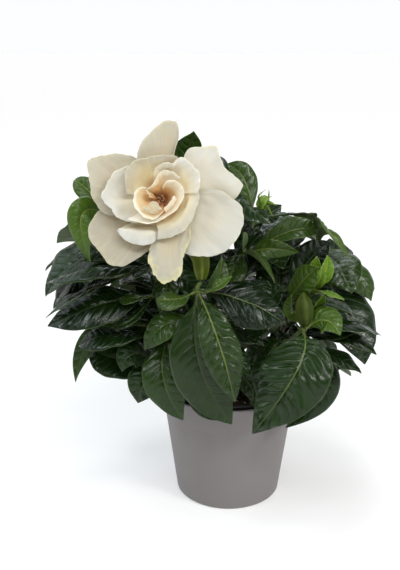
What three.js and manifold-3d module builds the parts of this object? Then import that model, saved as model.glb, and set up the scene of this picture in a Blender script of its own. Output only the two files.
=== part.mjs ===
import * as THREE from "three";
import { mergeVertices } from "three/addons/utils/BufferGeometryUtils.js";
import Module from "manifold-3d";

// Potted gardenia (Gardenia jasminoides) in a tapered cover pot.
// Millimetres, +Z up, the front of the plant faces -Y. The origin is the centre
// of the cover pot's base, on the surface it stands on.

// ---------------------------------------------------------------- dimensions
const POT_HEIGHT = 94; // cover pot, base to rim
const POT_RIM_R = 56; // outer radius at the rim
const POT_BASE_R = 43; // outer radius at the base
const POT_WALL = 3;
const POT_FLOOR = 4;
const POT_BAND_H = 20.5; // the faint band below the rim
const POT_BAND_OUT = 0.45; // how far the band stands proud
const POT_SEGMENTS = 36;

const INNER_RIM_R = 50.4; // thin grower's pot inside
const INNER_BASE_R = 37;
const INNER_BOTTOM = 4.3;
const INNER_TOP = 95.6;
const INNER_WALL = 1.2;
const INNER_SEGMENTS = 32;

const SOIL_TOP = 84;
const SOIL_DOME = 1.6;
const SOIL_SEGMENTS = 28;

const CROWN_BOTTOM = 66; // the rooted woody crowns stand in the mix
const CROWN_TOP = 90;
const CROWN_R = 3.4;
const GAP = 0.35; // clearance between neighbouring pieces

const STEM_SIDES = 6;
const STEM_STEP = 11; // length of one stem facet
const SHEATH_GAP = 0.55; // stipule sheath to stem
const SHEATH_WALL = 1.0;
const SHEATH_HALF = 1.2; // half its height
const SHEATH_SIDES = 7;

const LEAF_THICKNESS = 0.7;
const PETIOLE = 0.07; // share of the midrib that is stalk

const PETAL_ROWS = 5;
const PETAL_COLS = 9;

// ---------------------------------------------------------------- shoots
// Each cutting has one crown and three branches. A branch is a line of points
// [x, y, z] from the crown to its tip, with the radius at both ends.
const CUTTINGS = [
  { name: "stems_front", crown: [-9, -7], branches: [
    { r0: 2.2, r1: 1.7, points: [[-9, -7, 88], [-13.75, -37.38, 135.84], [-17.37, -45.51, 153.71], [-21.58, -54.98, 170.65], [-25.95, -65.58, 194.12], [-23.16, -65.38, 201.25]] },
    { r0: 2.1, r1: 1.2, points: [[-9, -7, 88], [-42.9, -22.94, 121.51], [-45.27, -37.11, 153.83], [-56.87, -40.7, 183.15], [-53.81, -36.16, 201.39], [-53.74, -35.9, 202.26]] },
    { r0: 2.1, r1: 1.2, points: [[-9, -7, 88], [-30.29, 0.05, 155.66], [-46.15, -1.01, 186.39], [-62.83, -6.23, 217.21], [-44.95, -14.65, 258.09], [-44.8, -14.38, 258.95]] },
  ] },
  { name: "stems_right", crown: [13, -3], branches: [
    { r0: 2.2, r1: 1.5, points: [[13, -3, 88], [25.07, -28.05, 125.33], [42.8, -40.96, 144.67], [52.96, -52.87, 160.44], [53.72, -53.55, 161.64]] },
    { r0: 2, r1: 1.2, points: [[13, -3, 88], [40.47, -11.03, 139.94], [45.86, -31.56, 175.41], [62.31, -37.18, 184.41], [62.54, -36.95, 185.13]] },
    { r0: 2.1, r1: 1.2, points: [[13, -3, 88], [5.03, -9.4, 152.13], [7.58, -13.63, 182.74], [9.22, -18.66, 210.77], [18.78, -16.46, 238.47], [20.26, -16.16, 241.5]] },
  ] },
  { name: "stems_back", crown: [-2, 19], branches: [
    { r0: 2.1, r1: 1.2, points: [[-2, 19, 88], [-44, 32, 138], [-66, 38, 182], [-78, 34, 218], [-78.2, 33.9, 219.2]] },
    { r0: 2.1, r1: 1.2, points: [[-2, 19, 88], [-4, 58, 150], [2, 62, 206], [6, 57, 230], [8, 50, 252], [8.1, 49.8, 253.2]] },
    { r0: 2.1, r1: 1.2, points: [[-2, 19, 88], [50, 44, 140], [70, 50, 172], [78, 42, 196], [78.2, 41.9, 197.2]] },
  ] },
];

// ---------------------------------------------------------------- leaves
// A whorl sits on a stem at point p (direction t, stem radius r). Each leaf is
// [midrib Bezier (4 points), half width, normal at base, normal at tip,
//  fold (deg), cup, wave, waves, phase, shape, fine (1 = more facets)].
const WHORLS = [
  { name: "leaves_a1", p: [-13.75, -37.38, 135.84], t: [-0.1337, -0.4639, 0.8758], r: 2.1, leaves: [
    [[-14.96, -39.87, 134.33, -29.32, -53.01, 115.07, -25.73, -58.39, 101.41, -7.07, -61.93, 89.76], 11, [-0.085, -0.793, 0.604], [0.046, -0.933, 0.358], 15, 0.28, 0.05, 2.2, 0, 1, 1],
    [[-11.16, -39.1, 135.32, 14.43, -41.63, 116.55, 21.4, -44.9, 104.69, 15.39, -52.65, 98.64], 9.12, [0.447, -0.574, 0.686], [0.312, -0.724, 0.616], 20.3, 0.387, 0.05, 2.2, 0, 1, 1],
    [[-11.94, -35.23, 137.25, -6.11, -31.56, 152.31, 0.1, -27.65, 162.44, 9.57, -21.68, 173.36], 13.1, [-0.881, -0.251, 0.402], [-0.708, -0.142, 0.692], 11.6, 0.281, 0.054, 2.18, 0.8, 0.94, 0],
  ] },
  { name: "leaves_a15", p: [-17.37, -45.51, 153.71], t: [-0.2225, -0.4253, 0.8773], r: 2, leaves: [
    [[-19.54, -47.18, 152.36, -35.85, -62.94, 160.48, -40.9, -67.94, 156.51, -40.03, -66.27, 137.12], 10, [0.537, -0.125, 0.834], [-0.231, -0.968, -0.094], 15, 0.28, 0.05, 2.2, 0, 1, 1],
    [[-15.53, -47.85, 153.05, -5.31, -64.61, 151.12, 1.37, -67.16, 144.46, 14.18, -67.77, 129.57], 11.94, [-0.14, -0.197, 0.97], [0.553, -0.665, 0.503], 12.9, 0.254, 0.05, 2.2, 0, 1, 1],
    [[-17.67, -42.75, 154.98, -20.78, -29.59, 167.77, -23.83, -16.67, 174.36, -27.79, 0.09, 177.89], 14, [-0.191, -0.707, 0.681], [-0.296, -0.264, 0.918], 17.3, 0.344, 0.086, 2.68, 0.7, 1.02, 0],
  ] },
  { name: "leaves_a2", p: [-21.58, -54.98, 170.65], t: [-0.2003, -0.4528, 0.8688], r: 1.9, leaves: [
    [[-24.22, -55.8, 169.61, -44.41, -67.26, 175.19, -55.56, -70.53, 169.38, -64.39, -67.7, 149.56], 12.5, [0.363, -0.197, 0.91], [-0.696, -0.686, 0.212], 14, 0.3, 0.05, 2.2, 0, 1, 1],
    [[-18.77, -55.85, 170.84, 1.66, -53.46, 160.57, 11.25, -53.85, 153.48, 23.7, -61.26, 150.51], 12.51, [0.459, -0.178, 0.871], [0.152, -0.137, 0.979], 24.4, 0.499, 0.05, 2.2, 0, 1, 1],
    [[-21.36, -52.39, 172.05, -21.07, -29.27, 196.76, -20.69, 1.77, 206.14, -20.31, 33.23, 200.53], 24.4, [0.185, -0.719, 0.67], [0.196, 0.17, 0.966], 18.6, 0.325, 0.093, 2.53, 0.1, 1.04, 0],
  ] },
  { name: "leaves_a3", p: [-25.95, -65.58, 194.12], t: [0.0016, -0.2813, 0.9596], r: 2.25, leaves: [
    [[-24.71, -68.04, 193.39, -13.38, -92.85, 177.46, -5.77, -97.02, 152.66, 1.4, -87.04, 117.09], 14.6, [0.007, -0.538, 0.843], [0.233, -0.947, -0.219], 17, 0.32, 0.14, 1.9, 0.1, 0.92, 2],
    [[-25.81, -68.31, 193.32, -32.31, -89.34, 161.89, -24.12, -87.01, 130.88, -0.33, -78.56, 95.21], 22.13, [-0.335, -0.749, 0.571], [0.23, -0.97, -0.076], 12.5, 0.359, 0.05, 2.2, 0, 0.95, 2],
    [[-23.17, -66.16, 193.94, 0.99, -72, 194.01, 17.69, -73.29, 186.61, 37.67, -72.26, 171.07], 19.53, [-0.157, -0.64, 0.752], [0.452, -0.715, 0.533], 15.3, 0.478, 0.1, 1.8, 0.3, 1.06, 2],
    [[-28.08, -67.39, 193.59, -37.89, -81.53, 192.29, -44.85, -82.43, 191.92, -54.57, -74.86, 191.1], 9.2, [0.043, -0.121, 0.992], [-0.527, -0.613, 0.588], 10, 0.3, 0.03, 2.2, 0, 1.15, 1],
    [[-23.1, -65.67, 194.08, -9.95, -71.55, 197.74, -8.79, -69.73, 206.18, -8.49, -60.58, 219.26], 6.59, [-0.457, -0.842, 0.288], [0.698, -0.594, 0.4], 26.2, 0.112, 0.05, 2.2, 0, 1, 1],
    [[-23.71, -67.26, 193.62, -17.15, -78.71, 196.6, -11.66, -79.46, 201.76, -1.33, -73.95, 207.79], 5.2, [-0.176, 0.152, 0.972], [-0.002, -0.736, 0.677], 20, 0.1, 0.05, 2.2, 0, 1, 1],
  ] },
  { name: "leaves_b1", p: [-42.9, -22.94, 121.51], t: [-0.3891, -0.3921, 0.8336], r: 1.92, leaves: [
    [[-45.6, -22.88, 120.28, -79.36, -34.41, 123.87, -96.97, -34.96, 130.46, -111.53, -24.2, 134.1], 18.15, [0.272, -0.55, 0.79], [-0.322, -0.664, 0.675], 14.4, 0.212, 0.05, 2.2, 0, 1, 1],
    [[-44.87, -24.46, 119.88, -70.42, -47.54, 141.68, -80.53, -56.42, 146.32, -82.44, -56.69, 127.8], 10.94, [0.714, -0.144, 0.685], [-0.391, -0.919, 0.054], 12.7, 0.349, 0.05, 2.2, 0, 1, 1],
    [[-44.18, -25.09, 119.9, -59.97, -49.99, 126.53, -67.87, -58.56, 121.78, -71.1, -56.21, 101.61], 15.5, [0.429, -0.032, 0.903], [-0.336, -0.94, -0.055], 15, 0.28, 0.05, 2.2, 0, 1, 1],
    [[-43.99, -20.28, 122.25, -52.11, 6.78, 124.77, -58.63, 28.53, 118.58, -65.08, 50.02, 103.95], 18.9, [-0.018, -0.098, 0.995], [-0.2, 0.509, 0.837], 10.5, 0.275, 0.048, 2.13, 0.4, 0.93, 0],
    [[-45.09, -20.94, 121.42, -65.26, -2.72, 120.86, -80.84, 11.36, 112.42, -95.43, 24.54, 95.92], 19.1, [0.123, 0.167, 0.978], [-0.328, 0.575, 0.75], 12.9, 0.262, 0.061, 2.03, 0.2, 0.96, 0],
  ] },
  { name: "leaves_b2", p: [-45.27, -37.11, 153.83], t: [-0.1867, -0.2764, 0.9427], r: 1.74, leaves: [
    [[-45.98, -39.66, 152.95, -56.77, -67.4, 141.24, -53.05, -72.81, 121.24, -36.71, -62.72, 90.58], 16.5, [-0.209, -0.31, 0.927], [0.137, -0.96, -0.243], 13, 0.32, 0.08, 1.9, 0, 0.95, 2],
    [[-47.87, -37.82, 153.11, -81.31, -54.33, 159.36, -101.52, -56.83, 157.2, -115.51, -47.23, 144.67], 14.5, [0.261, -0.17, 0.95], [-0.745, -0.328, 0.581], 12, 0.35, 0.05, 2.2, 0, 1, 1],
    [[-48.01, -36.87, 153.36, -94.97, -30.74, 162.14, -116.58, -33.08, 149.19, -120.2, -43.24, 113.25], 9.5, [0.035, -0.722, 0.691], [-0.375, -0.881, 0.287], 16, 0.1, 0.05, 2.2, 0, 1, 1],
    [[-47.5, -35.43, 153.89, -70.89, -25.02, 170.64, -98.38, -12.78, 171.45, -121.93, -2.29, 158.37], 21.4, [0.423, -0.376, 0.824], [-0.477, 0.024, 0.879], 15.3, 0.249, 0.075, 1.93, 0, 0.99, 0],
    [[-43.01, -35.72, 154.69, -34.56, -32.47, 170.25, -25.75, -29.09, 180.3, -12.85, -24.14, 190.19], 11.5, [-0.408, -0.824, 0.394], [-0.202, -0.744, 0.636], 11.6, 0.281, 0.054, 2.18, 0.8, 0.94, 0],
    [[-45.85, -34.46, 154.5, -50.16, -31.46, 170.2, -61.41, -23.61, 180.49, -74.17, -14.7, 182.02], 13.1, [0.319, -0.911, 0.262], [-0.257, -0.509, 0.821], 18.2, 0.294, 0.091, 2.28, 0, 1.03, 0],
  ] },
  { name: "leaves_b3", p: [-56.87, -40.7, 183.15], t: [-0.0734, 0.1111, 0.9911], r: 1.81, leaves: [
    [[-59.35, -41.51, 183.06, -84.05, -55.14, 185.64, -107.87, -57.73, 178.78, -137.49, -51.44, 162.22], 18.25, [0.321, -0.421, 0.848], [-0.482, -0.607, 0.632], 12.4, 0.328, 0.06, 2.2, 0, 1, 2],
    [[-58.66, -42.59, 183.23, -69.33, -62.63, 173.31, -77.63, -65.97, 166.79, -88.72, -58.08, 163.93], 5.6, [-0.151, -0.373, 0.915], [-0.486, -0.4, 0.777], 18, 0.28, 0.05, 2.2, 0, 1, 1],
    [[-58.25, -42.91, 183.3, -65.52, -62, 188.92, -72.46, -64.66, 188.96, -83.04, -57.22, 183.83], 9.5, [-0.002, 0.283, 0.959], [-0.597, -0.351, 0.721], 15, 0.28, 0.05, 2.2, 0, 1, 1],
    [[-54.5, -41.74, 183.44, -40.53, -47.77, 186.76, -35.15, -50.61, 181.82, -31.23, -53.41, 169.52], 9.06, [-0.352, -0.335, 0.874], [0.537, -0.769, 0.346], 17.3, 0.279, 0.05, 2.2, 0, 1, 1],
    [[-57.76, -38.27, 182.81, -65.7, -17.79, 193.29, -74.67, 5.34, 189.4, -81.04, 21.75, 174.62], 18, [-0.018, -0.461, 0.887], [-0.4, 0.523, 0.753], 11.4, 0.224, 0.053, 1.73, 0.7, 0.94, 0],
    [[-57.62, -38.22, 182.82, -61.47, -27.29, 194.65, -67.22, -10.97, 197.59, -72, 2.62, 191.51], 12.4, [0.021, -0.731, 0.682], [-0.337, 0.284, 0.898], 14.9, 0.357, 0.072, 2.78, 0.9, 0.99, 0],
  ] },
  { name: "leaves_b4", p: [-53.81, -36.16, 201.39], t: [0.2572, 0.3011, 0.9183], r: 1.38, leaves: [
    [[-55.84, -37.15, 202.29, -80.74, -63.47, 215.73, -108.44, -64.96, 212.4, -138.96, -41.63, 192.3], 14.77, [0.312, 0.182, 0.933], [-0.481, 0.119, 0.869], 3, 0.537, 0.05, 2.2, 0, 1, 1],
    [[-56.03, -36.74, 202.21, -82.34, -50.8, 204.84, -107.02, -56.44, 193.3, -137.74, -55.66, 170.38], 9.96, [0.024, 0.141, 0.99], [-0.594, -0.141, 0.792], 14.5, 0.274, 0.05, 2.2, 0, 1, 1],
    [[-54.69, -38.23, 202.32, -56.46, -57.3, 209.52, -64.13, -58.89, 205.99, -79.14, -46.42, 193.27], 7.13, [-0.333, 0.36, 0.872], [-0.589, 0.107, 0.801], 15.4, 0.317, 0.05, 2.2, 0, 1, 1],
    [[-52.62, -38.25, 201.75, -46.12, -51.39, 200.04, -47.41, -57.99, 191.45, -52.8, -64.52, 177.06], 10, [-0.062, -0.159, 0.985], [-0.223, -0.854, 0.471], 15, 0.28, 0.05, 2.2, 0, 1, 1],
    [[-56.16, -36.07, 202.02, -81.27, -32.67, 219.73, -102.53, -32.35, 220.64, -127.43, -34.82, 206.77], 13.51, [0.408, -0.594, 0.693], [-0.428, -0.355, 0.831], 18, 0.413, 0.05, 2.2, 0, 1, 1],
    [[-56.09, -35.42, 201.79, -67.43, -29.34, 207.22, -73.92, -28.47, 207.62, -83.96, -30.05, 204.43], 9.09, [0.006, -0.66, 0.751], [-0.1, -0.731, 0.675], 13.2, 0.227, 0.05, 2.2, 0, 1, 1],
    [[-51.63, -37.19, 201.12, -36.5, -43.87, 200.25, -24.37, -49.22, 191.78, -17, -52.47, 178.38], 12.1, [-0.103, -0.354, 0.93], [0.583, -0.656, 0.48], 11.6, 0.281, 0.054, 2.18, 0.8, 0.94, 0],
  ] },
  { name: "leaves_c1", p: [25.07, -28.05, 125.33], t: [0.4324, -0.5002, 0.7502], r: 2.03, leaves: [
    [[27.66, -26.45, 124.9, 57.98, -11.46, 123.96, 81.16, -0.01, 114.19, 103.92, 11.24, 94.78], 23.1, [-0.029, 0.122, 0.992], [0.486, 0.376, 0.788], 10.5, 0.275, 0.048, 2.13, 0.4, 0.93, 0],
    [[27.84, -27.41, 124.15, 48.16, -24.09, 117.62, 62, -21.82, 103.79, 69.34, -20.62, 84.8], 16.6, [0.317, -0.08, 0.945], [0.932, 0.02, 0.362], 16.2, 0.338, 0.08, 2.63, 0.3, 1, 0],
  ] },
  { name: "leaves_c2", p: [42.8, -40.96, 144.67], t: [0.552, -0.4859, 0.6776], r: 1.85, leaves: [
    [[41.33, -43.4, 144.11, 29.25, -53.9, 142.45, 22.51, -56.05, 130.8, 18.76, -53.74, 108.28], 9.29, [-0.096, -0.047, 0.994], [-0.444, -0.896, -0.018], 17.4, 0.148, 0.05, 2.2, 0, 1, 1],
    [[44.67, -41.73, 142.59, 79.73, -51.49, 131.52, 77.97, -56.85, 112.27, 41.82, -58.85, 82.1], 14.71, [0.037, -0.688, 0.725], [-0.168, -0.95, 0.264], 17, 0.48, 0.05, 2.2, 0, 1, 1],
    [[44.82, -38.89, 144.49, 67.83, -31.68, 153.76, 88.7, -22.78, 152.59, 108.32, -12.25, 142.62], 16.76, [-0.274, -0.301, 0.914], [0.449, 0.009, 0.893], 20.6, 0.286, 0.083, 2.22, 0.5, 1.01, 0],
    [[44.98, -41.13, 142.76, 64.69, -49.82, 144.35, 80.26, -56.69, 139.89, 96.23, -63.73, 129.32], 16.4, [-0.054, 0.058, 0.997], [0.486, -0.18, 0.855], 15.3, 0.249, 0.075, 1.93, 0, 0.99, 0],
    [[40.49, -41.13, 146.42, 25.97, -34.66, 141.8, 15.89, -30.17, 132.67, 8.81, -27.02, 119.08], 12.1, [-0.418, -0.336, 0.844], [-0.891, -0.125, 0.435], 15.8, 0.307, 0.077, 2.38, 0.2, 1, 0],
  ] },
  { name: "leaves_c3", p: [52.96, -52.87, 160.44], t: [0.4384, -0.537, 0.7207], r: 1.68, leaves: [
    [[52.47, -55.15, 159.04, 55.91, -86.17, 157.42, 43.88, -92.1, 134.98, 15.06, -79.24, 87.85], 26.5, [0.241, -0.024, 0.97], [-0.362, -0.932, -0.033], 13, 0.34, 0.085, 2.6, 0.2, 0.92, 2],
    [[55.29, -51.52, 160.03, 67.78, -49.76, 170.6, 71.95, -55.53, 170.88, 79.29, -62.17, 158.84], 11.83, [-0.238, -0.873, 0.427], [0.302, -0.745, 0.595], 16.2, 0.341, 0.05, 2.2, 0, 1, 1],
    [[52.06, -51.1, 162.31, 45.53, -35.99, 167.3, 44.9, -38.28, 170.81, 44.23, -46.3, 185.17], 6.3, [-0.647, -0.476, 0.595], [-0.854, -0.436, -0.283], 24.8, -0.26, 0.05, 2.2, 0, 1, 1],
    [[53.86, -50.57, 161.6, 60.85, -34.11, 167.79, 63.66, -40.73, 175.64, 66.42, -60, 190.44], 6.88, [0.446, -0.474, 0.759], [0.379, -0.529, -0.759], 22.5, 0.03, 0.05, 2.2, 0, 1, 1],
    [[55.22, -51.37, 160.18, 78.33, -43.55, 164.48, 97.95, -36.91, 159.75, 116.53, -30.62, 147.01], 17.2, [-0.161, -0.067, 0.985], [0.52, 0.163, 0.839], 10.5, 0.275, 0.048, 2.13, 0.4, 0.93, 0],
  ] },
  { name: "leaves_g1", p: [40.47, -11.03, 139.94], t: [0.3018, -0.3177, 0.8989], r: 1.8, leaves: [
    [[38.33, -12.92, 139.99, 26.29, -37.61, 163.08, 18.97, -45.84, 165.04, 11.88, -41.56, 145.98], 11.29, [0.486, 0.459, 0.744], [-0.67, -0.738, 0.083], 17.9, 0.255, 0.05, 2.2, 0, 1, 1],
    [[40.51, -13.72, 138.98, 45.26, -28.95, 150.43, 45.41, -30.34, 148.87, 41, -19.85, 133.61], 11.08, [-0.243, 0.533, 0.81], [-0.61, -0.724, -0.321], 14.6, 0.162, 0.05, 2.2, 0, 1, 1],
    [[39.3, -8.73, 141.15, 47.73, -8.69, 175.78, 48.85, -14.25, 189.7, 39.93, -20.07, 185.74], 10.48, [0.027, -1, -0.005], [0.267, -0.788, 0.555], 16, 0.277, 0.05, 2.2, 0, 1, 1],
    [[43.13, -11.31, 138.95, 66.87, -19.75, 151.2, 92.32, -29.71, 148.59, 112.59, -38.37, 133.94], 19.5, [-0.412, 0.146, 0.899], [0.509, -0.218, 0.833], 12.5, 0.223, 0.051, 1.72, 0.6, 0.94, 0],
    [[41.57, -8.46, 140.48, 52.99, 11.32, 151.13, 63.96, 30.31, 151.55, 75.14, 49.68, 143.41], 17, [-0.211, -0.366, 0.906], [0.171, 0.296, 0.94], 14.5, 0.299, 0.07, 2.32, 0.7, 0.98, 0],
    [[39.7, -8.54, 141.08, 40.41, 2.74, 167.84, 41.52, 20.42, 185.25, 43.08, 45.32, 196.67], 19.5, [0.27, -0.89, 0.368], [0.3, -0.413, 0.86], 15.3, 0.249, 0.075, 1.93, 0, 0.99, 0],
    [[38.63, -9.25, 141.19, 22.46, 6.76, 139.04, 9.57, 19.51, 123.84, 4.63, 24.4, 103.4], 15.2, [0.173, 0.301, 0.938], [-0.398, 0.866, 0.304], 18.2, 0.294, 0.091, 2.28, 0, 1.03, 0],
  ] },
  { name: "leaves_g2", p: [45.86, -31.56, 175.41], t: [0.5816, -0.4344, 0.6878], r: 2.1, leaves: [
    [[43.71, -32.61, 176.56, 47.52, -40, 188.23, 54.19, -47.56, 198.87, 61.57, -56.34, 209.65], 11.26, [-0.807, -0.582, -0.105], [-0.687, -0.717, -0.114], 16.9, 0.433, 0.08, 2.2, 0, 1.02, 1],
    [[45.54, -29.46, 177, 52.34, -24.5, 201.03, 62.51, -27.29, 212.7, 74.33, -26.34, 220.72], 12.75, [-0.149, -0.959, 0.24], [-0.185, -0.907, 0.379], 8.8, 0.211, 0.05, 2.2, 0, 1, 1],
    [[47.94, -30.19, 174.52, 69.69, -25.45, 176.17, 88.04, -21.66, 168.42, 102.37, -18.91, 153.2], 15.57, [-0.041, -0.156, 0.987], [0.729, -0.006, 0.685], 18.4, 0.236, 0.088, 1.82, 0.8, 1.02, 0],
  ] },
  { name: "leaves_g3", p: [62.31, -37.18, 184.41], t: [0.9269, -0.1812, 0.3288], r: 1.4, leaves: [
    [[61.45, -37.46, 186.68, 60.13, -39.92, 199.59, 62.01, -40.68, 204.55, 62.63, -41.24, 213.32], 5.43, [-0.19, -0.961, -0.202], [-0.107, -0.993, -0.056], 24.8, -0.032, 0.05, 2.2, 0, 1, 1],
    [[61.4, -38.03, 186.51, 67.56, -45.65, 197.02, 71.38, -45.97, 204.19, 70.05, -41.58, 214.46], 5.8, [-0.106, -0.833, -0.542], [0.173, -0.898, 0.406], 24, 0, 0.05, 2.2, 0, 1, 1],
    [[61.84, -39.58, 184.42, 63.74, -51.47, 189.97, 71.62, -50.84, 188.57, 84.13, -44.57, 180.26], 7.09, [0.122, 0.436, 0.892], [0.626, -0.286, 0.726], 23.8, 0.389, 0.05, 2.2, 0, 1, 1],
    [[61.42, -38.79, 186.02, 63.42, -48.23, 193.71, 65.58, -51.06, 199.79, 65.57, -51.54, 208.5], 4.48, [-0.751, -0.505, -0.425], [-0.038, -0.998, -0.055], 14.7, 0.073, 0.05, 2.2, 0, 1, 1],
  ] },
  { name: "leaves_d1", p: [5.03, -9.4, 152.13], t: [-0.0346, -0.1138, 0.9929], r: 1.92, leaves: [
    [[7.73, -10.64, 152.08, 21.17, -21.04, 168.28, 30.83, -24.78, 178.37, 41.38, -24.01, 182.29], 12.93, [-0.817, -0.382, 0.433], [-0.156, -0.801, 0.578], 15.6, 0.239, 0.05, 2.2, 0, 1, 1],
    [[6.03, -6.62, 152.48, 13.09, 12.77, 166.94, 20.12, 32.09, 171.95, 28.23, 54.37, 169.88], 18, [-0.196, -0.539, 0.819], [0.03, 0.082, 0.996], 12.7, 0.26, 0.06, 2.02, 0.1, 0.96, 0],
  ] },
  { name: "leaves_d15", p: [7.58, -13.63, 182.74], t: [0.0785, -0.1721, 0.9819], r: 1.74, leaves: [
    [[8.78, -16.1, 182.21, 14.4, -31.4, 194.09, 19.91, -39, 193.03, 28.55, -45.52, 177.63], 12, [-0.2, 0.554, 0.808], [0.335, -0.785, 0.52], 15, 0.28, 0.05, 2.2, 0, 1, 1],
    [[9.29, -11.45, 182.98, 21.03, -3.05, 207.99, 43.96, 13.37, 220.37, 65.84, 29.04, 216.01], 18.8, [-0.579, -0.651, 0.491], [0.24, -0.065, 0.969], 14.7, 0.301, 0.071, 2.34, 0.8, 0.98, 0],
    [[7.13, -10.93, 183.25, 4.29, 9.05, 195.86, 1.43, 29.16, 198.95, -1.67, 50.93, 194.32], 15.7, [0.063, -0.526, 0.848], [-0.041, 0.202, 0.978], 10.1, 0.243, 0.045, 1.88, 0.3, 0.92, 0],
  ] },
  { name: "leaves_d2", p: [9.22, -18.66, 210.77], t: [0.2011, -0.0461, 0.9785], r: 1.56, leaves: [
    [[10.04, -21.12, 210.49, 14.73, -42.48, 217.82, 20.98, -50.55, 213.31, 31.15, -52.41, 196.13], 6.8, [0.255, 0.364, 0.896], [0.803, -0.31, 0.509], 25, 0, 0.05, 2.2, 0, 1, 1],
    [[11.23, -20.26, 210.29, 20.57, -33.14, 217.5, 31.03, -34.56, 219.27, 50.85, -31.12, 213.58], 7.6, [-0.721, -0.143, 0.678], [0.064, -0.937, -0.343], 18.6, 0.212, 0.05, 2.2, 0, 1, 1],
    [[11.77, -18.82, 210.24, 39.86, -23.59, 229.18, 55.62, -22.69, 234.39, 66.17, -16.56, 224.4], 10.78, [-0.522, -0.577, 0.628], [0.717, -0.56, 0.415], 28.8, 0.14, 0.05, 2.2, 0, 1, 1],
    [[8.45, -21.15, 210.82, 2.97, -35.82, 208.1, -0.65, -43.15, 200.89, -4.62, -50.31, 189.32], 11, [0.097, -0.216, 0.972], [-0.137, -0.821, 0.555], 15, 0.28, 0.05, 2.2, 0, 1, 1],
    [[8.25, -21.08, 210.86, 8.38, -30.09, 222.09, 8.54, -31.25, 230.77, 5.91, -31.51, 237.13], 9, [0.188, -0.765, -0.616], [0.209, -0.977, 0.046], 15, 0.28, 0.05, 2.2, 0, 1, 1],
    [[8.68, -21.21, 210.77, 7.65, -47.48, 228.2, 6.3, -50.77, 228.8, 3.91, -34.49, 212.56], 8.59, [-0.276, 0.539, 0.796], [-0.709, -0.548, -0.445], 9.3, 0.064, 0.05, 2.2, 0, 1, 1],
    [[8.81, -16.09, 210.98, 11.1, -11.55, 226.74, 17.52, 1.16, 237.09, 24.56, 15.1, 237.99], 10.4, [-0.165, -0.941, 0.295], [0.223, -0.174, 0.959], 16.7, 0.256, 0.082, 1.98, 0.5, 1.01, 0],
  ] },
  { name: "leaves_d3", p: [18.78, -16.46, 238.47], t: [0.3653, 0.0958, 0.9259], r: 1.38, leaves: [
    [[18.04, -18.72, 239, 9.37, -34.49, 250.35, 13.31, -38.86, 249.22, 27.57, -38.8, 237.24], 13, [0.877, -0.155, 0.455], [0.489, -0.653, 0.578], 12, 0.4, 0.05, 2.2, 0, 1, 1],
    [[16.98, -14.93, 239.02, 14.3, -1.69, 258.21, 10.26, 2.02, 269.54, -2.79, 2.76, 275.38], 11.3, [0.408, -0.724, 0.556], [0.028, -0.982, 0.186], 14.5, 0.359, 0.05, 2.2, 0, 1.1, 1],
    [[20.97, -15.92, 237.55, 49.39, -10.15, 239.25, 58.42, -6.49, 239.15, 64.24, -0.9, 230.45], 12.66, [-0.055, -0.022, 0.998], [0.391, 0.633, 0.668], 9.4, 0.091, 0.05, 2.2, 0, 1, 1],
    [[19.84, -14.37, 237.83, 24.66, -1.48, 233.54, 31.6, 6.64, 234.87, 40.68, 9.99, 241.84], 8.71, [0.755, -0.064, 0.653], [0.276, -0.956, 0.1], 25.5, 0.237, 0.05, 2.2, 0, 1, 1],
    [[16.54, -16.7, 239.38, -4.03, -18.5, 253.63, -28.31, -20.62, 255.16, -49.84, -22.5, 245.44], 18.2, [0.569, -0.207, 0.796], [-0.373, -0.289, 0.882], 16.2, 0.338, 0.08, 2.63, 0.3, 1, 0],
    [[16.88, -17.69, 239.35, -2.76, -29.62, 243.36, -21.58, -41.07, 233.03, -31.89, -47.33, 214.59], 16.6, [0.196, 0.007, 0.981], [-0.662, -0.515, 0.545], 11.4, 0.224, 0.053, 1.73, 0.7, 0.94, 0],
  ] },
  { name: "leaves_e1", p: [-30.29, 0.05, 155.66], t: [-0.3703, 0.0476, 0.9277], r: 1.92, leaves: [
    [[-32.79, -1.25, 154.73, -51.41, -7.44, 163.15, -72.61, -13.23, 158.41, -86.76, -16.14, 144.34], 18.9, [0.472, -0.28, 0.836], [-0.538, -0.534, 0.652], 17.9, 0.273, 0.046, 2.12, 0.3, 0.92, 0],
    [[-32.95, 0.79, 154.56, -48.61, 4.64, 158.31, -60.3, 7.51, 159.75, -75.49, 11.24, 160.13], 10.7, [0.034, -0.624, 0.781], [-0.124, -0.585, 0.802], 11.6, 0.281, 0.054, 2.18, 0.8, 0.94, 0],
  ] },
  { name: "leaves_e15", p: [-46.15, -1.01, 186.39], t: [-0.5227, -0.0999, 0.8467], r: 1.74, leaves: [
    [[-48.12, 0.68, 185.37, -68.71, 14.93, 181.72, -84.13, 25.61, 169.14, -94.97, 33.12, 149.21], 18.9, [0.014, 0.268, 0.963], [-0.537, 0.65, 0.537], 16.2, 0.338, 0.08, 2.63, 0.3, 1, 0],
    [[-43.82, -1.72, 187.75, -27.54, -4.68, 188.36, -14.23, -7.1, 182.54, -3.48, -9.06, 171.35], 13.1, [0.067, 0.541, 0.838], [0.688, 0.429, 0.586], 14.9, 0.357, 0.072, 2.78, 0.9, 0.99, 0],
  ] },
  { name: "leaves_e2", p: [-62.83, -6.23, 217.21], t: [-0.0372, -0.1912, 0.9808], r: 1.76, leaves: [
    [[-65.39, -6.7, 217.02, -94.35, -21.83, 238.33, -113.12, -21.37, 245.54, -126.08, -6.11, 238.31], 13.81, [0.577, -0.784, 0.227], [-0.792, -0.573, 0.21], 13.4, 0.187, 0.05, 2.2, 0, 1, 1],
    [[-65.05, -7.57, 216.86, -108.13, -36.97, 260.61, -119.53, -48.82, 257.97, -103.8, -45.88, 208.23], 11.63, [0.761, -0.191, 0.62], [-0.402, -0.898, -0.18], 17.9, 0.408, 0.05, 2.2, 0, 1.1, 1],
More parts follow.
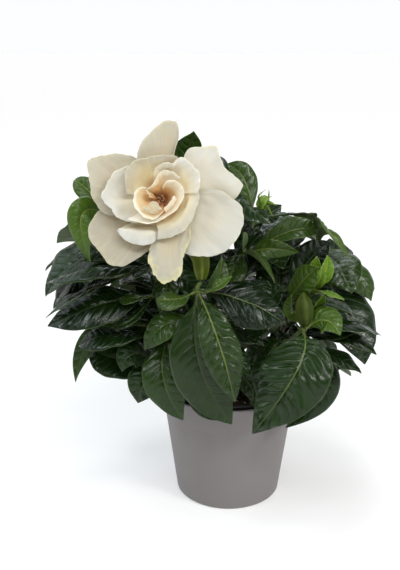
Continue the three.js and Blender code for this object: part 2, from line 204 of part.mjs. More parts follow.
    [[-65.38, -5.67, 217.22, -100.75, -5.43, 247.73, -116.79, -3.58, 262.97, -120.82, 1.49, 262.99], 10, [0.312, -0.876, 0.369], [-0.446, -0.358, 0.821], 15, 0.28, 0.05, 2.2, 0, 1, 1],
    [[-65.43, -6.45, 217.07, -93.65, -12.6, 237.99, -105.86, -15.16, 242.54, -109.53, -14.77, 230.31], 10, [0.433, -0.835, 0.339], [-0.529, -0.838, 0.132], 15, 0.28, 0.05, 2.2, 0, 1, 1],
    [[-65.41, -6.59, 217.04, -98.81, -11.88, 218.34, -127.41, -16.41, 202.08, -144.33, -19.09, 175.09], 26.1, [0.083, -0.29, 0.954], [-0.749, -0.421, 0.511], 17.8, 0.236, 0.088, 1.82, 0.8, 1.02, 0],
    [[-65.44, -6.35, 217.09, -99.07, -7.46, 213.55, -125.36, -8.34, 193.65, -138.86, -8.78, 164.68], 24.6, [-0.086, -0.353, 0.932], [-0.837, -0.378, 0.396], 18.6, 0.325, 0.093, 2.53, 0.1, 1.04, 0],
  ] },
  { name: "leaves_e3", p: [-44.95, -14.65, 258.09], t: [0.419, -0.1596, 0.8939], r: 1.38, leaves: [
    [[-45.03, -12.27, 258.55, -37.58, -4.16, 275.04, -31.99, -6.86, 289.2, -28.44, -15.68, 301.93], 11.66, [0.202, -0.912, 0.357], [0.11, -0.802, -0.586], 19.8, 0.361, 0.05, 2.2, 0, 1.15, 1],
    [[-44.12, -12.36, 258.11, -32.25, 10.84, 264.89, -21.9, 33.55, 257.89, -15.09, 50.96, 240.64], 17.41, [0.19, -0.364, 0.912], [0.545, 0.473, 0.692], 12.4, 0.223, 0.051, 1.72, 0.6, 0.94, 0],
    [[-46.83, -13.56, 259.16, -67.18, -1.81, 270.12, -88.28, 10.37, 268.39, -106.64, 20.97, 256.15], 17, [0.366, -0.211, 0.906], [-0.433, 0.25, 0.866], 14.5, 0.299, 0.07, 2.32, 0.7, 0.98, 0],
    [[-46.64, -16.32, 258.58, -66.5, -34.45, 261.74, -83.73, -50.19, 252.7, -96.85, -62.17, 234.3], 19.7, [0.189, -0.037, 0.981], [-0.42, -0.593, 0.686], 13.8, 0.351, 0.066, 2.73, 0.5, 0.97, 0],
    [[-46.88, -15.97, 258.75, -62.52, -28.87, 269.08, -78.85, -42.33, 268.6, -93.69, -54.57, 259.02], 15.4, [0.479, 0.116, 0.87], [-0.2, -0.443, 0.874], 17.1, 0.288, 0.085, 2.23, 0.6, 1.02, 0],
    [[-43.7, -16.52, 257.17, -29.14, -29.59, 268.92, -11.58, -45.34, 267.43, 1.57, -57.14, 255.1], 15.4, [-0.53, 0.159, 0.833], [0.257, -0.546, 0.797], 18.6, 0.325, 0.093, 2.53, 0.1, 1.04, 0],
  ] },
  { name: "leaves_f1", p: [-44, 32, 138], t: [-0.55, 0.1674, 0.8182], r: 1.88, leaves: [
    [[-45.88, 29.93, 137.16, -71.58, 16.1, 145.59, -92.51, 4.69, 145.82, -116.97, -8.82, 139.36], 20.13, [0.19, 0.229, 0.955], [-0.25, -0.011, 0.968], 12.5, 0.236, 0.088, 1.82, 0.8, 1.02, 0],
    [[-45.28, 34.27, 136.67, -65.33, 52.13, 146.24, -85.68, 71.58, 139.25, -99.07, 85.5, 120.5], 19.45, [0.364, -0.088, 0.927], [-0.349, 0.616, 0.706], 10.6, 0.312, 0.056, 2.43, 0.9, 0.95, 0],
    [[-46.4, 32.23, 136.34, -73.78, 37.06, 140.25, -97.51, 41.24, 132.19, -116.92, 44.67, 114.45], 18, [0.137, -0.024, 0.99], [-0.659, 0.116, 0.743], 12.7, 0.26, 0.06, 2.02, 0.1, 0.96, 0],
    [[-42.4, 34.38, 138.59, -26.91, 53.1, 139.82, -12.99, 69.93, 124.72, -7.69, 76.34, 103.29], 16.2, [-0.184, 0.088, 0.979], [0.43, 0.83, 0.354], 12, 0.312, 0.056, 2.43, 0.9, 0.95, 0],
    [[-42.22, 34.2, 138.75, -30.08, 53.78, 149.49, -15.02, 78.07, 141, -7.69, 89.89, 121.43], 18.1, [-0.342, -0.28, 0.897], [0.304, 0.761, 0.573], 15.3, 0.249, 0.075, 1.93, 0, 0.99, 0],
    [[-41.79, 31.07, 139.68, -20.08, 22.12, 152.32, 0.73, 13.54, 154.78, 23.41, 4.2, 149.02], 20.4, [-0.434, 0.19, 0.88], [0.215, -0.077, 0.974], 16.2, 0.338, 0.08, 2.63, 0.3, 1, 0],
    [[-45.72, 29.74, 137.31, -61.95, 13.11, 136.29, -73.69, 1.07, 133.8, -88.61, -14.22, 128.68], 15.9, [0.068, -0.127, 0.99], [-0.063, -0.261, 0.963], 15.8, 0.307, 0.077, 2.38, 0.2, 1, 0],
  ] },
  { name: "leaves_f2", p: [-66, 38, 182], t: [-0.3744, 0.0073, 0.9272], r: 1.65, leaves: [
    [[-68.34, 37.04, 181.06, -94.75, 29.96, 195.6, -124.57, 21.98, 193.09, -147.98, 15.7, 176.74], 20, [0.453, 0.122, 0.883], [-0.54, -0.145, 0.829], 16, 0.337, 0.078, 2.62, 0.2, 1, 0],
    [[-66.26, 40.68, 181.87, -75.01, 64.71, 196.63, -84.93, 91.97, 195.81, -93.19, 114.66, 181.87], 18, [0.171, -0.47, 0.866], [-0.171, 0.47, 0.866], 10.3, 0.273, 0.046, 2.12, 0.3, 0.92, 0],
    [[-65.09, 40.52, 182.35, -56.96, 68.88, 191.48, -48.1, 99.78, 178.58, -43.78, 114.85, 153.97], 22.1, [-0.316, -0.207, 0.926], [-0.012, 0.854, 0.521], 10.5, 0.275, 0.048, 2.13, 0.4, 0.93, 0],
    [[-68.07, 36.48, 181.17, -95.62, 21.4, 189.71, -122.39, 6.74, 180.98, -141.82, -3.89, 159.67], 21, [0.231, 0.124, 0.965], [-0.607, -0.335, 0.721], 16.2, 0.338, 0.08, 2.63, 0.3, 1, 0],
    [[-65.29, 40.59, 182.27, -66.32, 65.17, 203.8, -67.64, 96.51, 209.38, -68.87, 125.87, 199.94], 21.5, [0.221, -0.637, 0.738], [0.182, 0.308, 0.934], 10.5, 0.275, 0.048, 2.13, 0.4, 0.93, 0],
    [[-68.34, 38.94, 181.05, -82.71, 44.72, 175.17, -92.41, 48.62, 167.45, -101.74, 52.37, 155.47], 12.3, [-0.129, 0.531, 0.837], [-0.471, 0.668, 0.576], 17.3, 0.344, 0.086, 2.68, 0.7, 1.02, 0],
  ] },
  { name: "leaves_f3", p: [-78, 34, 218], t: [-0.2892, -0.1251, 0.9491], r: 1.43, leaves: [
    [[-79.84, 35.61, 217.65, -97.32, 44.13, 232.33, -120.95, 55.89, 232.27, -137.99, 64.51, 219.43], 15.9, [0.577, -0.187, 0.795], [-0.458, 0.327, 0.827], 16.1, 0.286, 0.083, 2.22, 0.5, 1.01, 0],
    [[-76.12, 35.41, 218.76, -63.94, 45.63, 236.42, -47.71, 59.24, 243.68, -30.65, 73.56, 240.95], 16, [-0.569, -0.478, 0.669], [0.093, 0.078, 0.993], 11.2, 0.223, 0.051, 1.72, 0.6, 0.94, 0],
    [[-79.41, 32.08, 217.32, -93.17, 18.32, 230.95, -108.2, 3.29, 234.13, -123.53, -12.04, 228.32], 15, [0.406, 0.406, 0.819], [-0.183, -0.183, 0.966], 14.5, 0.299, 0.07, 2.32, 0.7, 0.98, 0],
    [[-75.63, 33.89, 218.71, -42.53, 34.58, 211.73, -18.44, 35.09, 185.55, -12.62, 35.21, 154.12], 24.2, [0.207, -0.131, 0.969], [0.977, -0.115, 0.181], 14.5, 0.299, 0.07, 2.32, 0.7, 0.98, 0],
    [[-80.34, 33.7, 217.25, -109.79, 29.41, 214.59, -132, 26.17, 203.61, -151.91, 23.26, 183.83], 20.5, [-0.13, 0.307, 0.943], [-0.703, 0.223, 0.675], 12, 0.312, 0.056, 2.43, 0.9, 0.95, 0],
    [[-77.73, 36.43, 218.4, -79.07, 61.07, 236.8, -80.55, 88.49, 241.69, -82.08, 116.71, 234.91], 23.2, [0.27, -0.567, 0.779], [0.226, 0.239, 0.944], 12.9, 0.262, 0.061, 2.03, 0.2, 0.96, 0],
    [[-80.25, 34.86, 217.43, -106.11, 42.91, 218.56, -126.18, 49.16, 212.73, -147.12, 55.68, 199.51], 18.8, [0.231, 0.64, 0.733], [-0.16, 0.761, 0.628], 17.3, 0.344, 0.086, 2.68, 0.7, 1.02, 0],
  ] },
  { name: "leaves_h1", p: [-4, 58, 150], t: [0.0362, 0.3277, 0.9441], r: 1.92, leaves: [
    [[-2.9, 60.59, 149.06, 7.56, 89.33, 156.08, 16.94, 113.17, 153.09, 27.46, 138.16, 141.14], 20.25, [-0.472, -0.043, 0.88], [-0.254, 0.502, 0.827], 26.1, 0.236, 0.088, 1.82, 0.8, 1.02, 0],
    [[-1.23, 58.97, 149.56, 23.9, 73.28, 162.17, 51.52, 90.76, 155.04, 68.73, 103.04, 134.06], 18.91, [-0.393, -0.114, 0.912], [0.516, 0.485, 0.707], 13.1, 0.312, 0.056, 2.43, 0.9, 0.95, 0],
    [[-6.71, 59.17, 149.7, -31.52, 73.49, 156.84, -55.47, 87.32, 148.05, -72.25, 97.01, 128], 19, [0.21, -0.121, 0.97], [-0.623, 0.36, 0.695], 15.3, 0.249, 0.075, 1.93, 0, 0.99, 0],
    [[-6.96, 57.89, 150.15, -33.93, 61.35, 164.43, -64.65, 65.28, 161.33, -87.99, 68.27, 144.37], 20.7, [0.432, -0.229, 0.872], [-0.593, -0.097, 0.799], 12.9, 0.262, 0.061, 2.03, 0.2, 0.96, 0],
    [[-2.76, 55.44, 150.84, 2.67, 40.52, 146.14, 6.48, 30.03, 141.24, 11.12, 17.29, 133.45], 10.4, [0.329, -0.173, 0.928], [0.4, -0.368, 0.839], 12.5, 0.23, 0.059, 1.78, 0.1, 0.95, 0],
  ] },
  { name: "leaves_h2", p: [2, 62, 206], t: [0.1405, -0.067, 0.9878], r: 1.74, leaves: [
    [[2.73, 64.69, 206.08, 11.68, 89.3, 221.2, 22.02, 117.7, 219.81, 30.3, 140.46, 204.67], 19, [-0.171, -0.47, 0.866], [0.181, 0.498, 0.848], 16, 0.337, 0.078, 2.62, 0.2, 1, 0],
    [[4.37, 60.59, 205.57, 19.17, 52.04, 219.91, 36.18, 42.22, 224.63, 54.16, 31.84, 220.97], 16, [-0.557, 0.321, 0.766], [0.15, -0.087, 0.985], 13.6, 0.35, 0.065, 2.72, 0.4, 0.97, 0],
    [[0.08, 63.98, 206.41, -16.09, 81.81, 224.95, -39.69, 107.84, 222.96, -54.33, 123.98, 204.29], 22.3, [0.58, -0.272, 0.768], [-0.241, 0.633, 0.736], 17.8, 0.236, 0.088, 1.82, 0.8, 1.02, 0],
    [[4.04, 63.9, 205.84, 27.14, 83.01, 216.28, 50.87, 102.64, 209.07, 67.96, 116.78, 188.89], 21.2, [-0.306, -0.144, 0.941], [0.463, 0.492, 0.737], 12.9, 0.262, 0.061, 2.03, 0.2, 0.96, 0],
    [[0.71, 64.45, 206.35, -13.7, 92.73, 215.15, -27.85, 120.5, 206.05, -37.87, 140.17, 184.13], 23.7, [0.138, -0.229, 0.963], [-0.303, 0.636, 0.709], 12, 0.312, 0.056, 2.43, 0.9, 0.95, 0],
    [[4.76, 62.22, 205.62, 28.22, 63.36, 211.39, 45.92, 64.23, 213.32, 68.74, 65.35, 213.21], 15, [-0.148, -0.664, 0.733], [0.036, -0.655, 0.755], 17.3, 0.344, 0.086, 2.68, 0.7, 1.02, 0],
  ] },
  { name: "leaves_h25", p: [6, 57, 230], t: [0.1269, -0.2914, 0.9481], r: 1.56, leaves: [
    [[6.96, 54.72, 229.17, 20.13, 23.55, 228.76, 30.32, -0.58, 218.67, 40, -23.49, 198.6], 25.3, [-0.188, -0.093, 0.978], [0.046, -0.647, 0.761], 12.9, 0.262, 0.061, 2.03, 0.2, 0.96, 0],
    [[5.75, 59.47, 230.79, 2.56, 89.26, 238.88, -0.6, 118.87, 229.18, -2.69, 138.41, 207.43], 22.7, [-0.193, -0.276, 0.941], [-0.297, 0.696, 0.654], 14.5, 0.299, 0.07, 2.32, 0.7, 0.98, 0],
    [[4.51, 54.9, 229.56, -4.65, 33.85, 242.71, -15.97, 7.8, 239.07, -23.49, -9.49, 222.67], 18.3, [0.393, 0.358, 0.847], [-0.055, -0.674, 0.737], 13.8, 0.351, 0.066, 2.73, 0.5, 0.97, 0],
    [[3.44, 56.54, 230.2, -22.43, 49.26, 240.14, -48.13, 42.04, 236.03, -69.55, 36.02, 220.62], 18.4, [0.39, -0.142, 0.91], [-0.466, -0.382, 0.798], 11.4, 0.224, 0.053, 1.73, 0.7, 0.94, 0],
  ] },
  { name: "leaves_h3", p: [8, 50, 252], t: [0.0774, -0.3028, 0.9499], r: 1.38, leaves: [
    [[6.41, 51.71, 252.67, -11.57, 69.33, 267.57, -35.45, 86.43, 266.98, -56.71, 97.56, 253.28], 17.85, [0.191, -0.512, 0.837], [-0.535, 0.019, 0.845], 9.8, 0.286, 0.083, 2.22, 0.5, 1.01, 0],
    [[5.62, 49.49, 252.03, -5.75, 41.52, 268.58, -20.43, 31.25, 276.37, -37.14, 19.55, 276.37], 15, [0.628, 0.439, 0.643], [0, 0, 1], 11.2, 0.223, 0.051, 1.72, 0.6, 0.94, 0],
    [[8.02, 47.69, 251.26, 8.46, 33.65, 251.27, 10.96, 22.19, 245.38, 14.86, 14.51, 235.3], 12.67, [-0.436, -0.013, 0.9], [-0.079, -0.807, 0.585], 25.1, 0.299, 0.07, 2.32, 0.7, 0.98, 0],
    [[6.81, 51.99, 252.73, -7.35, 76.33, 258.21, -21.55, 100.73, 243.57, -27.87, 111.58, 219.55], 20, [0.234, -0.081, 0.969], [-0.3, 0.837, 0.457], 18.6, 0.325, 0.093, 2.53, 0.1, 1.04, 0],
    [[6.11, 48.51, 251.68, -7.58, 31.67, 264.98, -21.27, 14.82, 268.14, -36.09, -3.42, 263.06], 18.2, [0.485, 0.264, 0.834], [0.032, -0.293, 0.956], 17.1, 0.288, 0.085, 2.23, 0.6, 1.02, 0],
    [[6.23, 51.54, 252.63, -10.95, 63.26, 272.03, -37.91, 81.65, 273.52, -56.24, 94.15, 258.39], 19.1, [0.434, -0.548, 0.715], [-0.573, 0.139, 0.808], 14.7, 0.301, 0.071, 2.34, 0.8, 0.98, 0],
  ] },
  { name: "leaves_k1", p: [50, 44, 140], t: [0.6164, 0.2656, 0.7413], r: 1.88, leaves: [
    [[52.16, 42.48, 138.75, 80.15, 35.6, 142.65, 104.93, 30.24, 133.17, 123.82, 26.83, 113.52], 19.07, [-0.129, 0.04, 0.991], [0.705, -0.119, 0.699], 17.2, 0.236, 0.088, 1.82, 0.8, 1.02, 0],
    [[51.03, 46.19, 138.36, 70.61, 63.43, 147.32, 89.23, 78.05, 145.71, 108.66, 91.78, 135.11], 16.68, [-0.164, -0.302, 0.939], [0.398, 0.137, 0.907], 14.3, 0.312, 0.056, 2.43, 0.9, 0.95, 0],
    [[48.82, 46.68, 140.02, 43.99, 74.07, 147.47, 39.28, 100.79, 139.37, 35.94, 119.73, 120.14], 18, [0.045, -0.255, 0.966], [-0.123, 0.696, 0.707], 15.3, 0.249, 0.075, 1.93, 0, 0.99, 0],
    [[49.82, 46.79, 139.15, 52.81, 70.83, 137.8, 55.19, 89.94, 126, 56.75, 102.43, 106.85], 15.6, [0.112, 0.042, 0.993], [0.208, 0.812, 0.546], 13.8, 0.351, 0.066, 2.73, 0.5, 0.97, 0],
    [[52.29, 43.11, 138.42, 72.47, 38.3, 131.55, 86.18, 35.03, 118.67, 95.04, 32.92, 100.15], 14.3, [0.383, 0.537, 0.751], [0.832, 0.43, 0.349], 10.1, 0.243, 0.045, 1.88, 0.3, 0.92, 0],
    [[50.9, 41.23, 140.24, 48.55, 26.21, 133.66, 47.06, 16.7, 122.06, 46.4, 12.49, 107.01], 11.5, [0.027, -0.405, 0.914], [-0.06, -0.961, 0.271], 14, 0.268, 0.067, 2.07, 0.6, 0.97, 0],
    [[52.3, 43.38, 138.31, 63.89, 39.35, 127.18, 71.07, 36.85, 117.42, 78.32, 34.32, 103.79], 12.1, [0.714, 0.284, 0.64], [0.877, 0.227, 0.424], 14.9, 0.357, 0.072, 2.78, 0.9, 0.99, 0],
  ] },
  { name: "leaves_k2", p: [70, 50, 172], t: [0.3981, -0.1166, 0.9099], r: 1.65, leaves: [
    [[72.34, 51, 171.1, 95.81, 57.54, 174.91, 116.42, 64.44, 167.16, 131.67, 70.68, 150.7], 18.51, [-0.152, -0.03, 0.988], [0.649, 0.279, 0.708], 28.8, 0.325, 0.093, 2.53, 0.1, 1.04, 0],
    [[70.16, 52.68, 172.28, 75.88, 74.85, 184.68, 81.69, 99.24, 183.84, 86.3, 120.23, 171.86], 17.11, [-0.164, -0.449, 0.878], [0.059, 0.485, 0.873], 22.5, 0.273, 0.046, 2.12, 0.3, 0.92, 0],
    [[71.29, 47.78, 171.15, 89.95, 19.79, 167.56, 104.69, -2.31, 144.7, 110.17, -10.52, 114.3], 25.2, [-0.065, -0.169, 0.983], [0.399, -0.865, 0.306], 11.2, 0.223, 0.051, 1.72, 0.6, 0.94, 0],
    [[68.94, 52.36, 172.77, 56.6, 78.94, 180.24, 43.42, 107.35, 164.63, 38.11, 118.79, 139.01], 19.4, [0.261, -0.147, 0.954], [-0.213, 0.875, 0.435], 17.8, 0.236, 0.088, 1.82, 0.8, 1.02, 0],
    [[69.84, 47.32, 171.73, 70.92, 25.99, 175, 71.89, 6.83, 167.66, 72.59, -6.96, 152.64], 15.1, [-0.539, 0.101, 0.836], [-0.501, -0.649, 0.573], 13.4, 0.32, 0.064, 2.48, 0.4, 0.97, 0],
  ] },
  { name: "leaves_k3", p: [78, 42, 196], t: [0.2503, -0.3526, 0.9017], r: 1.43, leaves: [
    [[76.92, 39.84, 195.45, 60.85, -20.49, 238.72, 65.5, -43.41, 244.29, 87.62, -35.46, 210.52], 9, [0.644, 0.325, 0.693], [0.675, -0.681, 0.282], 20, 0.28, 0.05, 2.2, 0, 1, 1],
    [[77.7, 44.26, 196.97, 76.01, 64.73, 210.86, 64.8, 95.67, 203, 56.19, 105.32, 183.47], 13.67, [0.156, -0.546, 0.823], [-0.47, 0.692, 0.549], 24.5, 0.286, 0.083, 2.22, 0.5, 1.01, 0],
    [[78.2, 39.72, 195.05, 83.61, 13.82, 199.43, 88.16, -7.95, 194.37, 92.53, -28.88, 180.8], 18.5, [-0.376, 0.078, 0.923], [-0.242, -0.563, 0.79], 12, 0.312, 0.056, 2.43, 0.9, 0.95, 0],
    [[80.12, 41.13, 195.07, 99.09, 32.76, 189.01, 112.21, 26.97, 175.76, 119.74, 23.65, 157.09], 16.6, [0.1, -0.425, 0.9], [0.644, -0.665, 0.378], 17.1, 0.288, 0.085, 2.23, 0.6, 1.02, 0],
    [[76.43, 40.11, 195.7, 70.19, 21.69, 208.77, 62.57, -0.83, 208.95, 56.41, -19.05, 197.99], 15.8, [0.208, 0.518, 0.83], [-0.129, -0.479, 0.868], 17.1, 0.288, 0.085, 2.23, 0.6, 1.02, 0],
    [[75.86, 40.75, 196.11, 55.07, 24.76, 204.21, 36.61, 10.35, 201.89, 18.3, -4.17, 190.63], 18.57, [0.369, -0.009, 0.929], [-0.187, -0.444, 0.876], 18.7, 0.325, 0.093, 2.53, 0.1, 1.04, 0],
    [[79.91, 43.57, 196.08, 92.04, 54.76, 194.67, 100.79, 62.84, 192.02, 111.66, 72.86, 186.9], 13.2, [0.483, -0.427, 0.764], [0.619, -0.301, 0.725], 13.4, 0.32, 0.064, 2.48, 0.4, 0.97, 0],
  ] },
];

